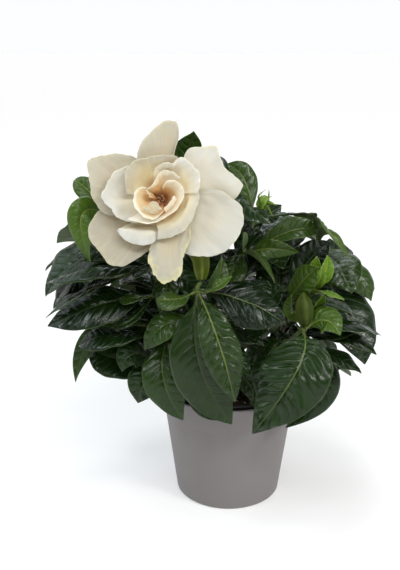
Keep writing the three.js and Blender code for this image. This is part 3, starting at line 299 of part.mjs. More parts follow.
// ---------------------------------------------------------------- flower
// Each petal is a net of 4 rows (foot to margin) by 13 points, in mm, with its
// thickness. The rows are joined by a Catmull-Rom surface.
const PETALS = [
  { name: "petal_outer_top", thickness: 0.8, net: [
    [-52.99, -62.75, 264.25, -52.45, -62.79, 264.12, -51.91, -62.83, 263.98, -51.37, -62.87, 263.84, -50.82, -62.91, 263.72, -50.27, -62.94, 263.63, -49.72, -62.95, 263.58, -49.16, -62.95, 263.59, -48.6, -62.94, 263.63, -48.05, -62.92, 263.7, -47.5, -62.89, 263.78, -46.94, -62.87, 263.85, -46.39, -62.85, 263.92],
    [-57.41, -61.13, 268.75, -57.53, -60.92, 271.05, -56.99, -60.65, 273.37, -55.66, -60.34, 275.52, -53.71, -60.03, 277.34, -51.45, -59.74, 278.91, -48.99, -59.27, 280.23, -46.28, -59.06, 280.09, -45.17, -59.6, 277.84, -45.3, -60.09, 275.52, -45.66, -60.45, 273.23, -45.78, -60.73, 270.89, -45.59, -61.03, 268.5],
    [-61.74, -60.8, 273.47, -62.51, -60.35, 278.18, -61.97, -59.78, 282.93, -59.84, -59.12, 287.35, -56.51, -58.47, 291.08, -52.56, -57.87, 294.28, -48.22, -56.92, 296.97, -43.37, -56.51, 296.69, -41.71, -57.59, 292.17, -42.52, -58.58, 287.48, -43.79, -59.31, 282.87, -44.57, -59.89, 278.14, -44.75, -60.5, 273.31],
    [-65.95, -61.78, 278.38, -67.36, -61.09, 285.46, -66.81, -60.23, 292.6, -63.9, -59.25, 299.23, -59.19, -58.26, 304.84, -53.58, -57.37, 309.63, -47.39, -55.95, 313.66, -40.44, -55.31, 313.27, -38.24, -56.93, 306.53, -39.72, -58.4, 299.52, -41.88, -59.5, 292.62, -43.33, -60.35, 285.53, -43.86, -61.28, 278.3],
  ] },
  { name: "petal_outer_upper_left", thickness: 0.8, net: [
    [-59.3, -63.79, 257.76, -59.19, -63.62, 258.26, -59.1, -63.45, 258.75, -59, -63.28, 259.25, -58.87, -63.11, 259.74, -58.7, -62.95, 260.22, -58.47, -62.78, 260.67, -58.19, -62.62, 261.09, -57.87, -62.47, 261.49, -57.54, -62.32, 261.88, -57.2, -62.17, 262.26, -56.86, -62.02, 262.64, -56.54, -61.87, 263.03],
    [-63.73, -63.89, 256.61, -66.19, -64.45, 255.66, -68.85, -64.8, 255.87, -71.02, -64.68, 257.9, -72.24, -64.18, 260.73, -72.67, -63.49, 263.81, -72.98, -62.56, 266.9, -72.51, -61.32, 269.82, -69.69, -60.58, 271.03, -66.65, -59.99, 271.59, -63.59, -59.49, 271.7, -60.7, -59.19, 271.08, -58.66, -59.4, 269.15],
    [-68.08, -64.94, 255.64, -73.1, -66.26, 253.26, -78.49, -67.19, 253.21, -82.89, -67.19, 256.78, -85.41, -66.42, 261.93, -86.42, -65.26, 267.6, -87.26, -63.56, 273.3, -86.63, -61.2, 278.7, -81.35, -59.82, 280.71, -75.64, -58.75, 281.45, -69.88, -57.82, 281.29, -64.48, -57.31, 279.66, -60.73, -57.84, 275.43],
    [-72.34, -66.88, 254.85, -79.88, -68.98, 251.07, -87.96, -70.5, 250.76, -94.53, -70.65, 255.86, -98.32, -69.65, 263.31, -99.89, -68.04, 271.53, -101.25, -65.6, 279.79, -100.48, -62.1, 287.64, -92.79, -60.07, 290.45, -84.46, -58.49, 291.37, -76.06, -57.11, 290.97, -68.17, -56.35, 288.36, -62.73, -57.16, 281.83],
  ] },
  { name: "petal_outer_lower_left", thickness: 0.8, net: [
    [-52.42, -65.17, 248.13, -53.04, -65.11, 248.33, -53.67, -65.05, 248.51, -54.3, -65, 248.69, -54.91, -64.93, 248.91, -55.5, -64.84, 249.19, -56.02, -64.73, 249.56, -56.45, -64.58, 250.04, -56.81, -64.42, 250.57, -57.11, -64.25, 251.12, -57.4, -64.08, 251.69, -57.69, -63.91, 252.25, -58, -63.74, 252.8],
    [-53.42, -65.23, 243.39, -54.86, -66.38, 241.03, -57.34, -67.57, 239.59, -60.12, -68.71, 238.5, -63.02, -69.81, 237.78, -66.12, -69.88, 238.79, -68.25, -68.96, 241.2, -70.55, -67.98, 243.44, -71.84, -66.61, 246.14, -71.6, -65.03, 249.02, -70.22, -63.62, 251.46, -67.96, -62.64, 253.09, -65.31, -62.08, 253.88],
    [-54.35, -66.66, 238.94, -56.59, -69.08, 234.04, -60.92, -71.61, 231.04, -65.8, -74.04, 228.75, -70.92, -76.41, 227.16, -76.49, -76.67, 228.91, -80.22, -74.94, 233.32, -84.39, -73.08, 237.29, -86.63, -70.45, 242.11, -85.91, -67.37, 247.26, -82.9, -64.65, 251.54, -78.12, -62.79, 254.22, -72.53, -61.81, 255.25],
    [-55.2, -69.44, 234.82, -58.24, -73.14, 227.42, -64.37, -77.04, 222.91, -71.31, -80.8, 219.47, -78.58, -84.47, 217.09, -86.54, -84.94, 219.6, -91.84, -82.41, 225.94, -97.86, -79.68, 231.59, -101.07, -75.76, 238.47, -99.92, -71.16, 245.83, -95.35, -67.09, 251.92, -88.11, -64.33, 255.62, -79.6, -62.91, 256.88],
  ] },
  { name: "petal_outer_bottom", thickness: 0.8, net: [
    [-40.44, -68.49, 250.25, -40.97, -68.63, 249.92, -41.48, -68.78, 249.57, -41.99, -68.93, 249.22, -42.51, -69.07, 248.88, -43.06, -69.19, 248.58, -43.65, -69.28, 248.36, -44.28, -69.3, 248.27, -44.92, -69.26, 248.32, -45.54, -69.18, 248.45, -46.15, -69.08, 248.61, -46.75, -68.98, 248.79, -47.37, -68.9, 248.93],
    [-37.16, -71.07, 247.98, -37.25, -72.33, 245.59, -38.39, -73.39, 243.23, -39.55, -74.33, 240.82, -40.16, -75.25, 238.29, -41.18, -76.09, 235.87, -43.51, -76.61, 234.34, -46.33, -76.51, 234.56, -48.57, -75.93, 236.17, -49.97, -75.12, 238.39, -50.67, -74.14, 240.77, -50.44, -73.04, 243.03, -49.83, -71.95, 245.12],
    [-33.92, -72.63, 245.51, -33.59, -75, 241.06, -35.35, -76.97, 236.71, -37.17, -78.71, 232.26, -37.86, -80.39, 227.55, -39.36, -81.95, 223.04, -43.41, -82.9, 220.19, -48.4, -82.67, 220.73, -52.23, -81.55, 223.88, -54.42, -80.01, 228.19, -55.21, -78.17, 232.75, -54.16, -76.06, 237.08, -52.32, -73.98, 241.11],
    [-30.7, -73.17, 242.81, -29.95, -76.65, 236.3, -32.35, -79.53, 229.97, -34.82, -82.06, 223.48, -35.6, -84.51, 216.6, -37.57, -86.78, 209.99, -43.35, -88.16, 205.84, -50.51, -87.8, 206.7, -55.93, -86.15, 211.38, -58.91, -83.89, 217.76, -59.79, -81.17, 224.52, -57.93, -78.07, 230.91, -54.86, -74.99, 236.87],
  ] },
  { name: "petal_outer_lower_right", thickness: 0.8, net: [
    [-36.3, -64.46, 260.01, -36.28, -64.61, 259.33, -36.23, -64.77, 258.65, -36.17, -64.92, 257.97, -36.12, -65.07, 257.29, -36.11, -65.22, 256.61, -36.16, -65.36, 255.93, -36.32, -65.49, 255.26, -36.62, -65.6, 254.65, -37.02, -65.69, 254.09, -37.48, -65.76, 253.57, -37.96, -65.83, 253.07, -38.41, -65.91, 252.54],
    [-33.29, -64.36, 261.16, -30.27, -65.08, 261.71, -27.15, -65.49, 261.5, -24.39, -66.27, 259.35, -22.07, -67.21, 256.73, -21.77, -68.3, 253.31, -22.94, -69.14, 249.91, -24.73, -69.84, 246.77, -27.34, -69.7, 244.66, -30.69, -69.63, 243.58, -34, -69.2, 243.12, -37.23, -68.32, 243.79, -37.96, -67.13, 246.42],
    [-30.27, -64.95, 262.44, -24.28, -66.23, 264.2, -18.12, -66.91, 264.46, -12.7, -68.31, 260.85, -8.13, -70.03, 256.31, -7.55, -72.05, 250.19, -9.82, -73.58, 244.09, -13.22, -74.83, 238.48, -18.11, -74.46, 234.87, -24.38, -74.23, 233.27, -30.51, -73.31, 232.85, -36.48, -71.49, 234.68, -37.49, -69.02, 240.44],
    [-27.25, -66.22, 263.84, -18.33, -68.07, 266.81, -9.19, -69.02, 267.53, -1.14, -71.04, 262.47, 5.64, -73.53, 256.05, 6.49, -76.47, 247.25, 3.15, -78.68, 238.48, -1.85, -80.48, 230.45, -8.96, -79.87, 225.32, -18.11, -79.49, 223.19, -27.03, -78.07, 222.79, -35.72, -75.32, 225.74, -37.01, -71.6, 234.63],
  ] },
  { name: "petal_outer_upper_right", thickness: 0.8, net: [
    [-43.31, -62.08, 261.66, -42.81, -62.11, 261.44, -42.3, -62.13, 261.23, -41.79, -62.16, 261.02, -41.3, -62.2, 260.78, -40.82, -62.24, 260.51, -40.39, -62.31, 260.17, -40.01, -62.39, 259.79, -39.68, -62.49, 259.36, -39.36, -62.59, 258.92, -39.06, -62.7, 258.47, -38.76, -62.8, 258.03, -38.44, -62.9, 257.59],
    [-41.46, -59.98, 267.61, -40.18, -59.72, 270.17, -38.43, -59.83, 272.44, -35.22, -60.25, 272.7, -31.99, -60.48, 272.98, -30.46, -61.75, 270.73, -29, -62.26, 267.89, -26.73, -62.65, 265.55, -24.39, -63, 263.27, -24.99, -62.8, 260.5, -27.05, -62.44, 258.48, -29.66, -62.28, 257.37, -32.41, -62.25, 256.75],
    [-39.58, -58.82, 273.73, -37.53, -58.36, 279.06, -34.55, -58.68, 283.78, -28.68, -59.59, 284.49, -22.74, -60.07, 285.28, -20.2, -62.63, 281.07, -17.72, -63.53, 275.76, -13.56, -64.18, 271.49, -9.23, -64.74, 267.38, -10.67, -64.08, 262.28, -15.05, -63.12, 258.66, -20.54, -62.64, 256.89, -26.36, -62.46, 256.08],
    [-37.68, -58.57, 279.96, -34.87, -57.95, 288.04, -30.7, -58.55, 295.16, -22.2, -59.98, 296.29, -13.63, -60.74, 297.56, -10.11, -64.62, 291.41, -6.61, -65.88, 283.7, -0.59, -66.76, 277.54, 5.72, -67.5, 271.62, 3.51, -66.32, 264.22, -3.11, -64.7, 259.02, -11.45, -63.86, 256.59, -20.31, -63.51, 255.59],
  ] },
  { name: "petal_mid_left", thickness: 0.7, net: [
    [-60.53, -66.66, 256.92, -60.3, -66.52, 257.5, -60.1, -66.38, 258.09, -59.9, -66.23, 258.67, -59.67, -66.09, 259.25, -59.4, -65.96, 259.81, -59.07, -65.83, 260.35, -58.68, -65.72, 260.83, -58.24, -65.61, 261.28, -57.77, -65.52, 261.71, -57.29, -65.42, 262.12, -56.81, -65.33, 262.53, -56.35, -65.24, 262.96],
    [-60.52, -67.98, 252.85, -62.55, -68.16, 253.46, -64.59, -68.24, 254.22, -66.65, -68.12, 255.09, -67.83, -67.62, 257.01, -69.14, -67.1, 258.99, -70.04, -66.62, 261.14, -69.33, -65.98, 263.59, -67.95, -65.38, 265.8, -66.11, -64.83, 267.7, -63.91, -64.24, 269.06, -61.56, -63.63, 269.44, -59.84, -63.18, 268.18],
    [-60.38, -71.31, 249.21, -64.63, -71.9, 249.88, -68.88, -72.27, 250.82, -73.18, -72.21, 251.98, -75.74, -71.37, 255.22, -78.62, -70.49, 258.62, -80.73, -69.69, 262.36, -79.69, -68.56, 266.75, -77.4, -67.48, 270.71, -74.2, -66.48, 274.05, -70.31, -65.34, 276.34, -66.13, -64.06, 276.68, -63.2, -63.01, 273.72],
    [-60.12, -76.38, 245.99, -66.55, -77.43, 246.73, -72.96, -78.12, 247.86, -79.44, -78.14, 249.31, -83.36, -76.97, 253.85, -87.76, -75.75, 258.63, -91.04, -74.67, 263.93, -89.69, -73.06, 270.23, -86.49, -71.53, 275.88, -81.98, -70.08, 280.64, -76.44, -68.37, 283.83, -70.5, -66.35, 284.13, -66.4, -64.57, 279.51],
  ] },
  { name: "petal_mid_top_left", thickness: 0.7, net: [
    [-56.23, -67.42, 262.67, -55.86, -67.26, 263.19, -55.52, -67.09, 263.72, -55.17, -66.93, 264.25, -54.78, -66.78, 264.75, -54.31, -66.64, 265.19, -53.77, -66.54, 265.53, -53.17, -66.46, 265.79, -52.55, -66.4, 265.99, -51.92, -66.35, 266.15, -51.28, -66.31, 266.3, -50.65, -66.26, 266.45, -50.02, -66.2, 266.63],
    [-62.17, -67.75, 263.43, -62.41, -67.62, 265.46, -62.3, -67.35, 267.56, -61.7, -66.92, 269.65, -60.54, -66.5, 271.54, -58.75, -66.18, 272.9, -56.59, -66.04, 273.59, -54.35, -65.92, 274.06, -52.07, -65.81, 274.36, -49.79, -65.68, 274.69, -47.62, -65.56, 274.41, -45.94, -65.46, 273.32, -44.93, -65.34, 271.8],
    [-67.95, -69.84, 264.51, -68.76, -69.95, 268.07, -68.87, -69.76, 271.75, -68.01, -69.16, 275.4, -66.09, -68.55, 278.66, -63, -68.09, 280.92, -59.24, -67.93, 281.96, -55.38, -67.79, 282.64, -51.47, -67.63, 283.04, -47.58, -67.4, 283.53, -43.89, -67.12, 282.81, -41.18, -66.77, 280.48, -39.8, -66.31, 277.26],
    [-73.56, -73.34, 265.85, -74.9, -73.82, 270.93, -75.19, -73.81, 276.17, -74.07, -73.1, 281.34, -71.4, -72.35, 285.93, -67.03, -71.78, 289.07, -61.72, -71.63, 290.45, -56.28, -71.47, 291.33, -50.78, -71.25, 291.84, -45.33, -70.92, 292.47, -40.16, -70.43, 291.34, -36.45, -69.7, 287.79, -34.69, -68.76, 282.89],
  ] },
  { name: "petal_mid_top_right", thickness: 0.7, net: [
    [-52.65, -68.98, 265.74, -52.03, -68.92, 265.96, -51.43, -68.84, 266.21, -50.83, -68.77, 266.45, -50.21, -68.71, 266.65, -49.57, -68.68, 266.75, -48.92, -68.7, 266.66, -48.33, -68.79, 266.39, -47.79, -68.9, 266.04, -47.29, -69.02, 265.64, -46.79, -69.14, 265.22, -46.3, -69.27, 264.81, -45.78, -69.39, 264.43],
    [-53.57, -68.33, 267.7, -53.13, -68.46, 269.51, -52.33, -68.41, 271.31, -50.93, -68.15, 272.85, -48.79, -67.98, 273.34, -46.81, -67.89, 273.46, -44.96, -67.78, 274.31, -42.86, -68.03, 273.75, -41.17, -68.44, 272.36, -39.76, -68.83, 270.73, -38.86, -69.37, 268.84, -38.65, -69.92, 266.87, -39, -70.23, 265.05],
    [-54.36, -69.92, 270.06, -54.09, -70.55, 273.49, -53.07, -70.74, 276.84, -50.87, -70.4, 279.67, -47.25, -70.13, 280.44, -43.97, -69.95, 280.6, -40.93, -69.78, 282.36, -37.34, -70.21, 281.51, -34.52, -70.93, 279.11, -32.22, -71.52, 276.27, -30.93, -72.46, 272.93, -30.99, -73.4, 269.42, -32.2, -73.77, 266.16],
    [-55.03, -73.44, 272.73, -54.9, -74.74, 277.77, -53.67, -75.31, 282.64, -50.71, -74.95, 286.73, -45.64, -74.56, 287.76, -41.09, -74.28, 287.95, -36.9, -74.1, 290.61, -31.88, -74.74, 289.49, -27.96, -75.73, 286.11, -24.79, -76.5, 282.09, -23.13, -77.81, 277.33, -23.45, -79.12, 272.33, -25.48, -79.48, 267.66],
  ] },
  { name: "petal_mid_right_wrap", thickness: 0.7, net: [
    [-43.16, -66.03, 263.11, -42.93, -66.37, 261.98, -42.66, -66.71, 260.86, -42.46, -67.06, 259.72, -42.46, -67.41, 258.57, -42.74, -67.75, 257.46, -43.19, -68.08, 256.39, -43.8, -68.38, 255.4, -44.55, -68.66, 254.5, -45.49, -68.88, 253.78, -46.54, -69.05, 253.22, -47.62, -69.2, 252.73, -48.69, -69.36, 252.2],
    [-35.87, -66, 267.29, -35.29, -68.46, 265.25, -34.76, -70.9, 263.22, -34.85, -73.01, 261.03, -35.63, -74.61, 258.76, -36.84, -75.87, 256.52, -38.42, -76.88, 254.42, -40.41, -77.54, 252.51, -42.65, -77.91, 250.85, -45.08, -78.14, 249.45, -47.71, -78.21, 248.45, -50.43, -78.12, 247.76, -53.16, -78.04, 247.06],
    [-31.35, -67.78, 271.07, -30.61, -70.94, 268.44, -30.28, -73.95, 265.72, -30.58, -76.72, 262.92, -31.36, -79.08, 260.06, -32.64, -80.71, 257.07, -34.33, -81.8, 254.04, -36.54, -82.61, 251.27, -39.36, -83.11, 249.07, -42.5, -83.31, 247.31, -45.78, -83.3, 245.85, -49.2, -83.09, 244.72, -52.63, -82.86, 243.62],
    [-26.54, -68.27, 271.5, -24.8, -71.25, 268.1, -24.14, -73.78, 264.26, -24.89, -75.57, 260.11, -26.14, -77.02, 255.93, -27.78, -78.05, 251.81, -29.86, -79.01, 247.87, -32.23, -80.06, 244.09, -35.41, -80.94, 240.93, -39.44, -81.5, 238.8, -43.77, -81.78, 237.33, -48.28, -81.76, 236.5, -52.81, -81.69, 235.81],
  ] },
  { name: "petal_mid_lower_lip", thickness: 0.7, net: [
    [-50.9, -67.52, 248.63, -51.47, -67.51, 248.67, -52.03, -67.51, 248.69, -52.6, -67.5, 248.71, -53.17, -67.49, 248.74, -53.73, -67.47, 248.81, -54.28, -67.43, 248.93, -54.8, -67.37, 249.13, -55.3, -67.29, 249.39, -55.77, -67.2, 249.69, -56.23, -67.1, 250.01, -56.69, -67.01, 250.32, -57.16, -66.91, 250.63],
    [-53.53, -72.29, 242.61, -55.33, -72.34, 242.6, -57.12, -72.38, 242.59, -58.92, -72.42, 242.58, -60.71, -72.46, 242.61, -62.49, -72.51, 242.69, -64.27, -72.55, 242.84, -66.03, -72.6, 243.03, -67.8, -72.65, 243.23, -69.57, -72.68, 243.42, -71.34, -72.7, 243.6, -73.12, -72.71, 243.79, -74.89, -72.71, 243.97],
    [-52.48, -79.84, 241.18, -54.61, -80.34, 241.4, -56.73, -80.86, 241.63, -58.87, -81.3, 241.82, -61.07, -81.53, 241.93, -63.32, -81.56, 241.91, -65.57, -81.47, 241.81, -67.81, -81.28, 241.73, -70.05, -81.02, 241.74, -72.27, -80.66, 241.92, -74.45, -80.17, 242.25, -76.62, -79.61, 242.65, -78.79, -79.07, 243.03],
    [-53.25, -79.58, 236.56, -54.73, -80.93, 234.61, -56.71, -81.98, 233.03, -59.37, -82.35, 232.27, -62.19, -82.43, 232, -65.01, -82.43, 232.1, -67.81, -82.3, 232.51, -70.54, -82.07, 233.23, -73.11, -81.74, 234.35, -75.45, -81.31, 235.86, -77.55, -80.72, 237.66, -79.2, -79.82, 239.74, -80.56, -78.76, 241.98],
  ] },
  { name: "petal_inner_spiral", thickness: 0.6, net: [
    [-53.6, -72.37, 259.44, -52.83, -72.53, 258.94, -52.06, -72.69, 258.43, -51.18, -72.78, 258.13, -50.25, -72.75, 258.23, -49.38, -72.65, 258.54, -48.58, -72.51, 259.02, -47.98, -72.3, 259.7, -47.58, -72.05, 260.51, -47.44, -71.78, 261.39, -47.74, -71.52, 262.23, -48.28, -71.3, 262.96, -48.81, -71.07, 263.7],
    [-60.17, -74.24, 256, -57.89, -75.63, 255.35, -55.42, -76.23, 254.79, -52.83, -76.54, 254.71, -50.28, -76.52, 255.35, -47.93, -76.27, 256.54, -45.87, -75.85, 258.15, -44.22, -75.32, 260.16, -43.21, -74.69, 262.51, -43.41, -74, 265, -45.17, -73.58, 266.73, -47.51, -73.56, 267.32, -48.96, -73.08, 266.38],
    [-66.66, -76.9, 252.73, -62.84, -79.75, 252.01, -58.67, -80.88, 251.43, -54.4, -81.48, 251.58, -50.23, -81.51, 252.76, -46.44, -81.13, 254.82, -43.13, -80.46, 257.56, -40.47, -79.63, 260.88, -38.84, -78.65, 264.75, -39.4, -77.54, 268.81, -42.59, -77, 271.43, -46.7, -77.22, 271.87, -49.04, -76.31, 269.25],
    [-73.05, -80.19, 249.61, -67.66, -84.6, 248.88, -61.82, -86.31, 248.29, -55.89, -87.21, 248.69, -50.15, -87.31, 250.4, -44.94, -86.81, 253.33, -40.41, -85.91, 257.17, -36.75, -84.8, 261.77, -34.53, -83.47, 267.12, -35.43, -81.98, 272.73, -40.01, -81.33, 276.2, -45.85, -81.8, 276.5, -49.09, -80.39, 272.23],
  ] },
  { name: "petal_inner_left", thickness: 0.55, net: [
    [-49.41, -73.95, 260.44, -49.93, -74.02, 260.23, -50.43, -74.09, 260, -50.96, -74.15, 259.81, -51.52, -74.14, 259.81, -52.02, -74.07, 260.06, -52.45, -73.96, 260.41, -52.82, -73.84, 260.82, -53.11, -73.69, 261.28, -53.21, -73.53, 261.81, -53.12, -73.37, 262.34, -52.96, -73.21, 262.86, -52.82, -73.05, 263.38],
    [-48.97, -76.51, 258.76, -50.08, -77.11, 257.77, -51.42, -77.59, 257.01, -52.99, -77.85, 256.72, -54.56, -77.88, 257.05, -55.93, -77.71, 257.92, -57.04, -77.44, 259.08, -57.9, -77.11, 260.42, -58.42, -76.72, 261.91, -58.37, -76.27, 263.48, -57.72, -75.81, 264.91, -56.6, -75.41, 265.94, -55.41, -74.76, 266.11],
    [-48.51, -79.83, 257.25, -50.19, -81, 255.5, -52.35, -81.92, 254.23, -54.94, -82.39, 253.85, -57.52, -82.47, 254.51, -59.74, -82.24, 255.98, -61.51, -81.81, 257.96, -62.85, -81.3, 260.22, -63.61, -80.67, 262.72, -63.39, -79.93, 265.31, -62.21, -79.19, 267.63, -60.14, -78.54, 269.16, -57.92, -77.32, 268.97],
    [-48.02, -83.71, 255.87, -50.27, -85.47, 253.38, -53.24, -86.83, 251.62, -56.83, -87.53, 251.16, -60.38, -87.68, 252.15, -63.44, -87.37, 254.22, -65.86, -86.8, 256.99, -67.67, -86.12, 260.16, -68.65, -85.26, 263.66, -68.28, -84.25, 267.24, -66.56, -83.22, 270.43, -63.57, -82.31, 272.45, -60.36, -80.48, 271.91],
  ] },
  { name: "petal_inner_tooth", thickness: 0.55, net: [
    [-60.02, -85.23, 256.39, -59.37, -85.28, 256.11, -58.74, -85.33, 255.81, -58.1, -85.39, 255.5, -57.46, -85.44, 255.22, -56.79, -85.48, 254.98, -56.1, -85.5, 254.83, -55.39, -85.49, 254.82, -54.69, -85.45, 254.94, -54, -85.39, 255.14, -53.33, -85.32, 255.38, -52.66, -85.25, 255.62, -51.98, -85.19, 255.83],
    [-61.23, -86.73, 257.65, -60.36, -86.75, 257.85, -59.48, -86.77, 258.07, -58.62, -86.79, 258.3, -57.74, -86.82, 258.5, -56.85, -86.83, 258.64, -55.94, -86.83, 258.69, -55.05, -86.81, 258.61, -54.18, -86.78, 258.42, -53.33, -86.74, 258.17, -52.5, -86.69, 257.89, -51.66, -86.65, 257.61, -50.82, -86.61, 257.35],
    [-62.3, -87.26, 259.32, -60.84, -87.4, 259.67, -59.4, -87.53, 260.08, -58.19, -87.55, 260.94, -57.33, -87.47, 262.14, -56.26, -87.36, 263.14, -54.85, -87.25, 263.68, -53.36, -87.18, 263.77, -52.17, -87.27, 262.94, -51.37, -87.44, 261.72, -50.63, -87.56, 260.45, -49.87, -87.54, 259.21, -49.16, -87.47, 257.94],
  ] },
  { name: "petal_inner_upper", thickness: 0.5, net: [
    [-52.53, -71.76, 264.18, -52.08, -71.67, 264.4, -51.62, -71.58, 264.63, -51.16, -71.48, 264.84, -50.68, -71.37, 265.01, -50.2, -71.25, 265.14, -49.72, -71.12, 265.24, -49.24, -71, 265.38, -48.77, -70.88, 265.55, -48.31, -70.77, 265.76, -47.86, -70.66, 265.98, -47.41, -70.56, 266.21, -46.95, -70.45, 266.43],
    [-54.94, -73.72, 266.33, -53.98, -73.86, 267, -53.01, -73.72, 267.69, -52.21, -73.38, 268.49, -51.52, -72.92, 269.28, -50.9, -72.33, 270.03, -50.01, -71.82, 270.59, -48.93, -71.44, 270.93, -47.77, -71.24, 271.04, -46.63, -71.16, 271, -45.52, -71.16, 270.81, -44.54, -71.24, 270.44, -43.61, -71.36, 269.99],
    [-57.25, -76.93, 268.7, -55.78, -77.35, 269.8, -54.31, -77.16, 270.95, -53.18, -76.59, 272.33, -52.28, -75.75, 273.73, -51.53, -74.67, 275.09, -50.23, -73.74, 276.1, -48.57, -73.07, 276.64, -46.73, -72.79, 276.68, -44.9, -72.71, 276.4, -43.16, -72.82, 275.8, -41.66, -73.09, 274.83, -40.27, -73.43, 273.73],
    [-59.46, -81.12, 271.21, -57.48, -81.84, 272.75, -55.52, -81.63, 274.34, -54.08, -80.81, 276.29, -52.98, -79.58, 278.29, -52.09, -78, 280.25, -50.4, -76.63, 281.69, -48.16, -75.68, 282.43, -45.66, -75.29, 282.4, -43.16, -75.23, 281.88, -40.8, -75.44, 280.89, -38.78, -75.9, 279.33, -36.93, -76.45, 277.58],
  ] },
  { name: "petal_inner_crinkle", thickness: 0.55, net: [
    [-53.92, -76.99, 262.82, -53.88, -76.96, 262.93, -53.84, -76.92, 263.03, -53.8, -76.89, 263.14, -53.76, -76.86, 263.25, -53.71, -76.83, 263.35, -53.66, -76.8, 263.45, -53.6, -76.77, 263.55, -53.53, -76.74, 263.64, -53.46, -76.71, 263.73, -53.39, -76.68, 263.82, -53.31, -76.66, 263.9, -53.24, -76.63, 263.99],
    [-55.02, -78.46, 263.56, -55.09, -78.46, 263.82, -55.16, -78.48, 264.07, -55.23, -78.48, 264.33, -55.31, -78.48, 264.58, -55.38, -78.47, 264.83, -55.46, -78.44, 265.08, -55.54, -78.4, 265.33, -55.61, -78.35, 265.57, -55.67, -78.25, 265.81, -55.7, -78.07, 266.01, -55.5, -78, 265.92, -55.3, -77.95, 265.84],
    [-56.09, -80.35, 264.38, -56.27, -80.41, 264.78, -56.45, -80.48, 265.19, -56.63, -80.54, 265.6, -56.82, -80.58, 266, -57.01, -80.59, 266.4, -57.22, -80.57, 266.8, -57.43, -80.53, 267.19, -57.63, -80.45, 267.58, -57.83, -80.27, 267.96, -57.96, -79.93, 268.27, -57.64, -79.8, 268.02, -57.33, -79.72, 267.75],
    [-57.14, -82.52, 265.24, -57.42, -82.64, 265.8, -57.71, -82.77, 266.36, -58, -82.89, 266.91, -58.3, -82.98, 267.46, -58.61, -83.01, 268.01, -58.94, -83.01, 268.55, -59.27, -82.98, 269.09, -59.62, -82.87, 269.63, -59.95, -82.62, 270.15, -60.19, -82.11, 270.58, -59.75, -81.91, 270.15, -59.31, -81.78, 269.71],
  ] },
  { name: "petal_inner_fold", thickness: 0.5, net: [
    [-39.58, -82.17, 264.36, -40.02, -82.35, 263.52, -40.44, -82.53, 262.68, -40.86, -82.71, 261.83, -41.3, -82.89, 261, -41.79, -83.07, 260.2, -42.36, -83.25, 259.43, -43, -83.42, 258.73, -43.7, -83.58, 258.08, -44.43, -83.74, 257.46, -45.18, -83.89, 256.86, -45.93, -84.05, 256.25, -46.66, -84.21, 255.63],
    [-40.38, -84.26, 265.7, -40.87, -84.51, 264.91, -41.34, -84.77, 264.12, -41.81, -85.03, 263.32, -42.31, -85.28, 262.53, -42.83, -85.51, 261.76, -43.41, -85.7, 261.02, -44.05, -85.84, 260.34, -44.73, -85.94, 259.69, -45.45, -86.02, 259.08, -46.18, -86.08, 258.48, -46.91, -86.14, 257.88, -47.62, -86.21, 257.27],
    [-41.11, -85.89, 267.22, -41.6, -86.12, 266.48, -42.07, -86.37, 265.74, -42.55, -86.61, 264.99, -43.03, -86.85, 264.25, -43.53, -87.07, 263.51, -44.07, -87.26, 262.8, -44.65, -87.41, 262.13, -45.28, -87.51, 261.49, -45.93, -87.58, 260.88, -46.6, -87.64, 260.28, -47.27, -87.69, 259.68, -47.93, -87.75, 259.08],
  ] },
];

// calyx of the open flower: centre line and radii, then its cup
const CALYX_LINE = [[-22.73, -65.1, 202.51], [-22.87, -63.59, 208.47], [-23.09, -61.91, 214.68], [-24.51, -59.84, 220.41]];
const CALYX_RADII = [3.4, 5.6, 6.1, 7.0];
const CALYX_RIBS = 6;
const CALYX_SIDES = 18;
const CUP_DEPTH = 7;
// corolla tube from the calyx cup to the throat of the flower
const TUBE_LINE = [[-23.37, -61.8, 215.02], [-24.8, -59.51, 222.16], [-28.79, -58.56, 230.74], [-35.83, -59.35, 241.84], [-43.49, -59.81, 251.28], [-48.62, -61.32, 257.28], [-50.98, -65.34, 259.89], [-50.99, -70.61, 261.12]];
const TUBE_RADII = [2.6, 2.6, 2.7, 2.8, 3.2, 3.6, 2.6, 4.2];
const TUBE_SIDES = 12;
// flower bud at the right
const BUD_LINE = [[54.05, -54.86, 164.17], [53.58, -55.66, 170.11], [52.85, -54.45, 177.49], [52.42, -53.2, 183.28], [51.99, -52.07, 188.72]];
const BUD_RADII = [2.6, 5.6, 6.7, 5.2, 1.0];
const BUD_SIDES = 14;
// bud with long pointed sepals at the upper right
const SEPAL_BUD_LINE = [[21.32, -16.58, 243.9], [22.39, -16.82, 245.87], [24.54, -17.08, 250.14], [26.73, -17.07, 253.58]];
const SEPAL_BUD_RADII = [2.4, 4.3, 4.6, 2.2];
const SEPALS = [
  [[22.28, -17.96, 247.25], [19.72, -19.93, 254.49], [25.93, -20.38, 259.87]],
  [[23.87, -16.53, 248.5], [27.48, -16.96, 253.94], [28.32, -14.43, 258.81]],
  [[24.46, -18.51, 248.89], [28.55, -23.44, 249.86], [33.68, -24.97, 248.26]],
  [[23.71, -18.95, 247.45], [27.05, -24.75, 245.56], [30.7, -27.37, 240.41]],
  [[23.19, -15.77, 247.58], [26.72, -8.73, 250.08], [31.68, -4.1, 251.53]],
  [[21.37, -20.15, 246.92], [20.17, -24.76, 252.38], [22.17, -26.53, 256.85]],
];
const SEPAL_HALF = 1.5;

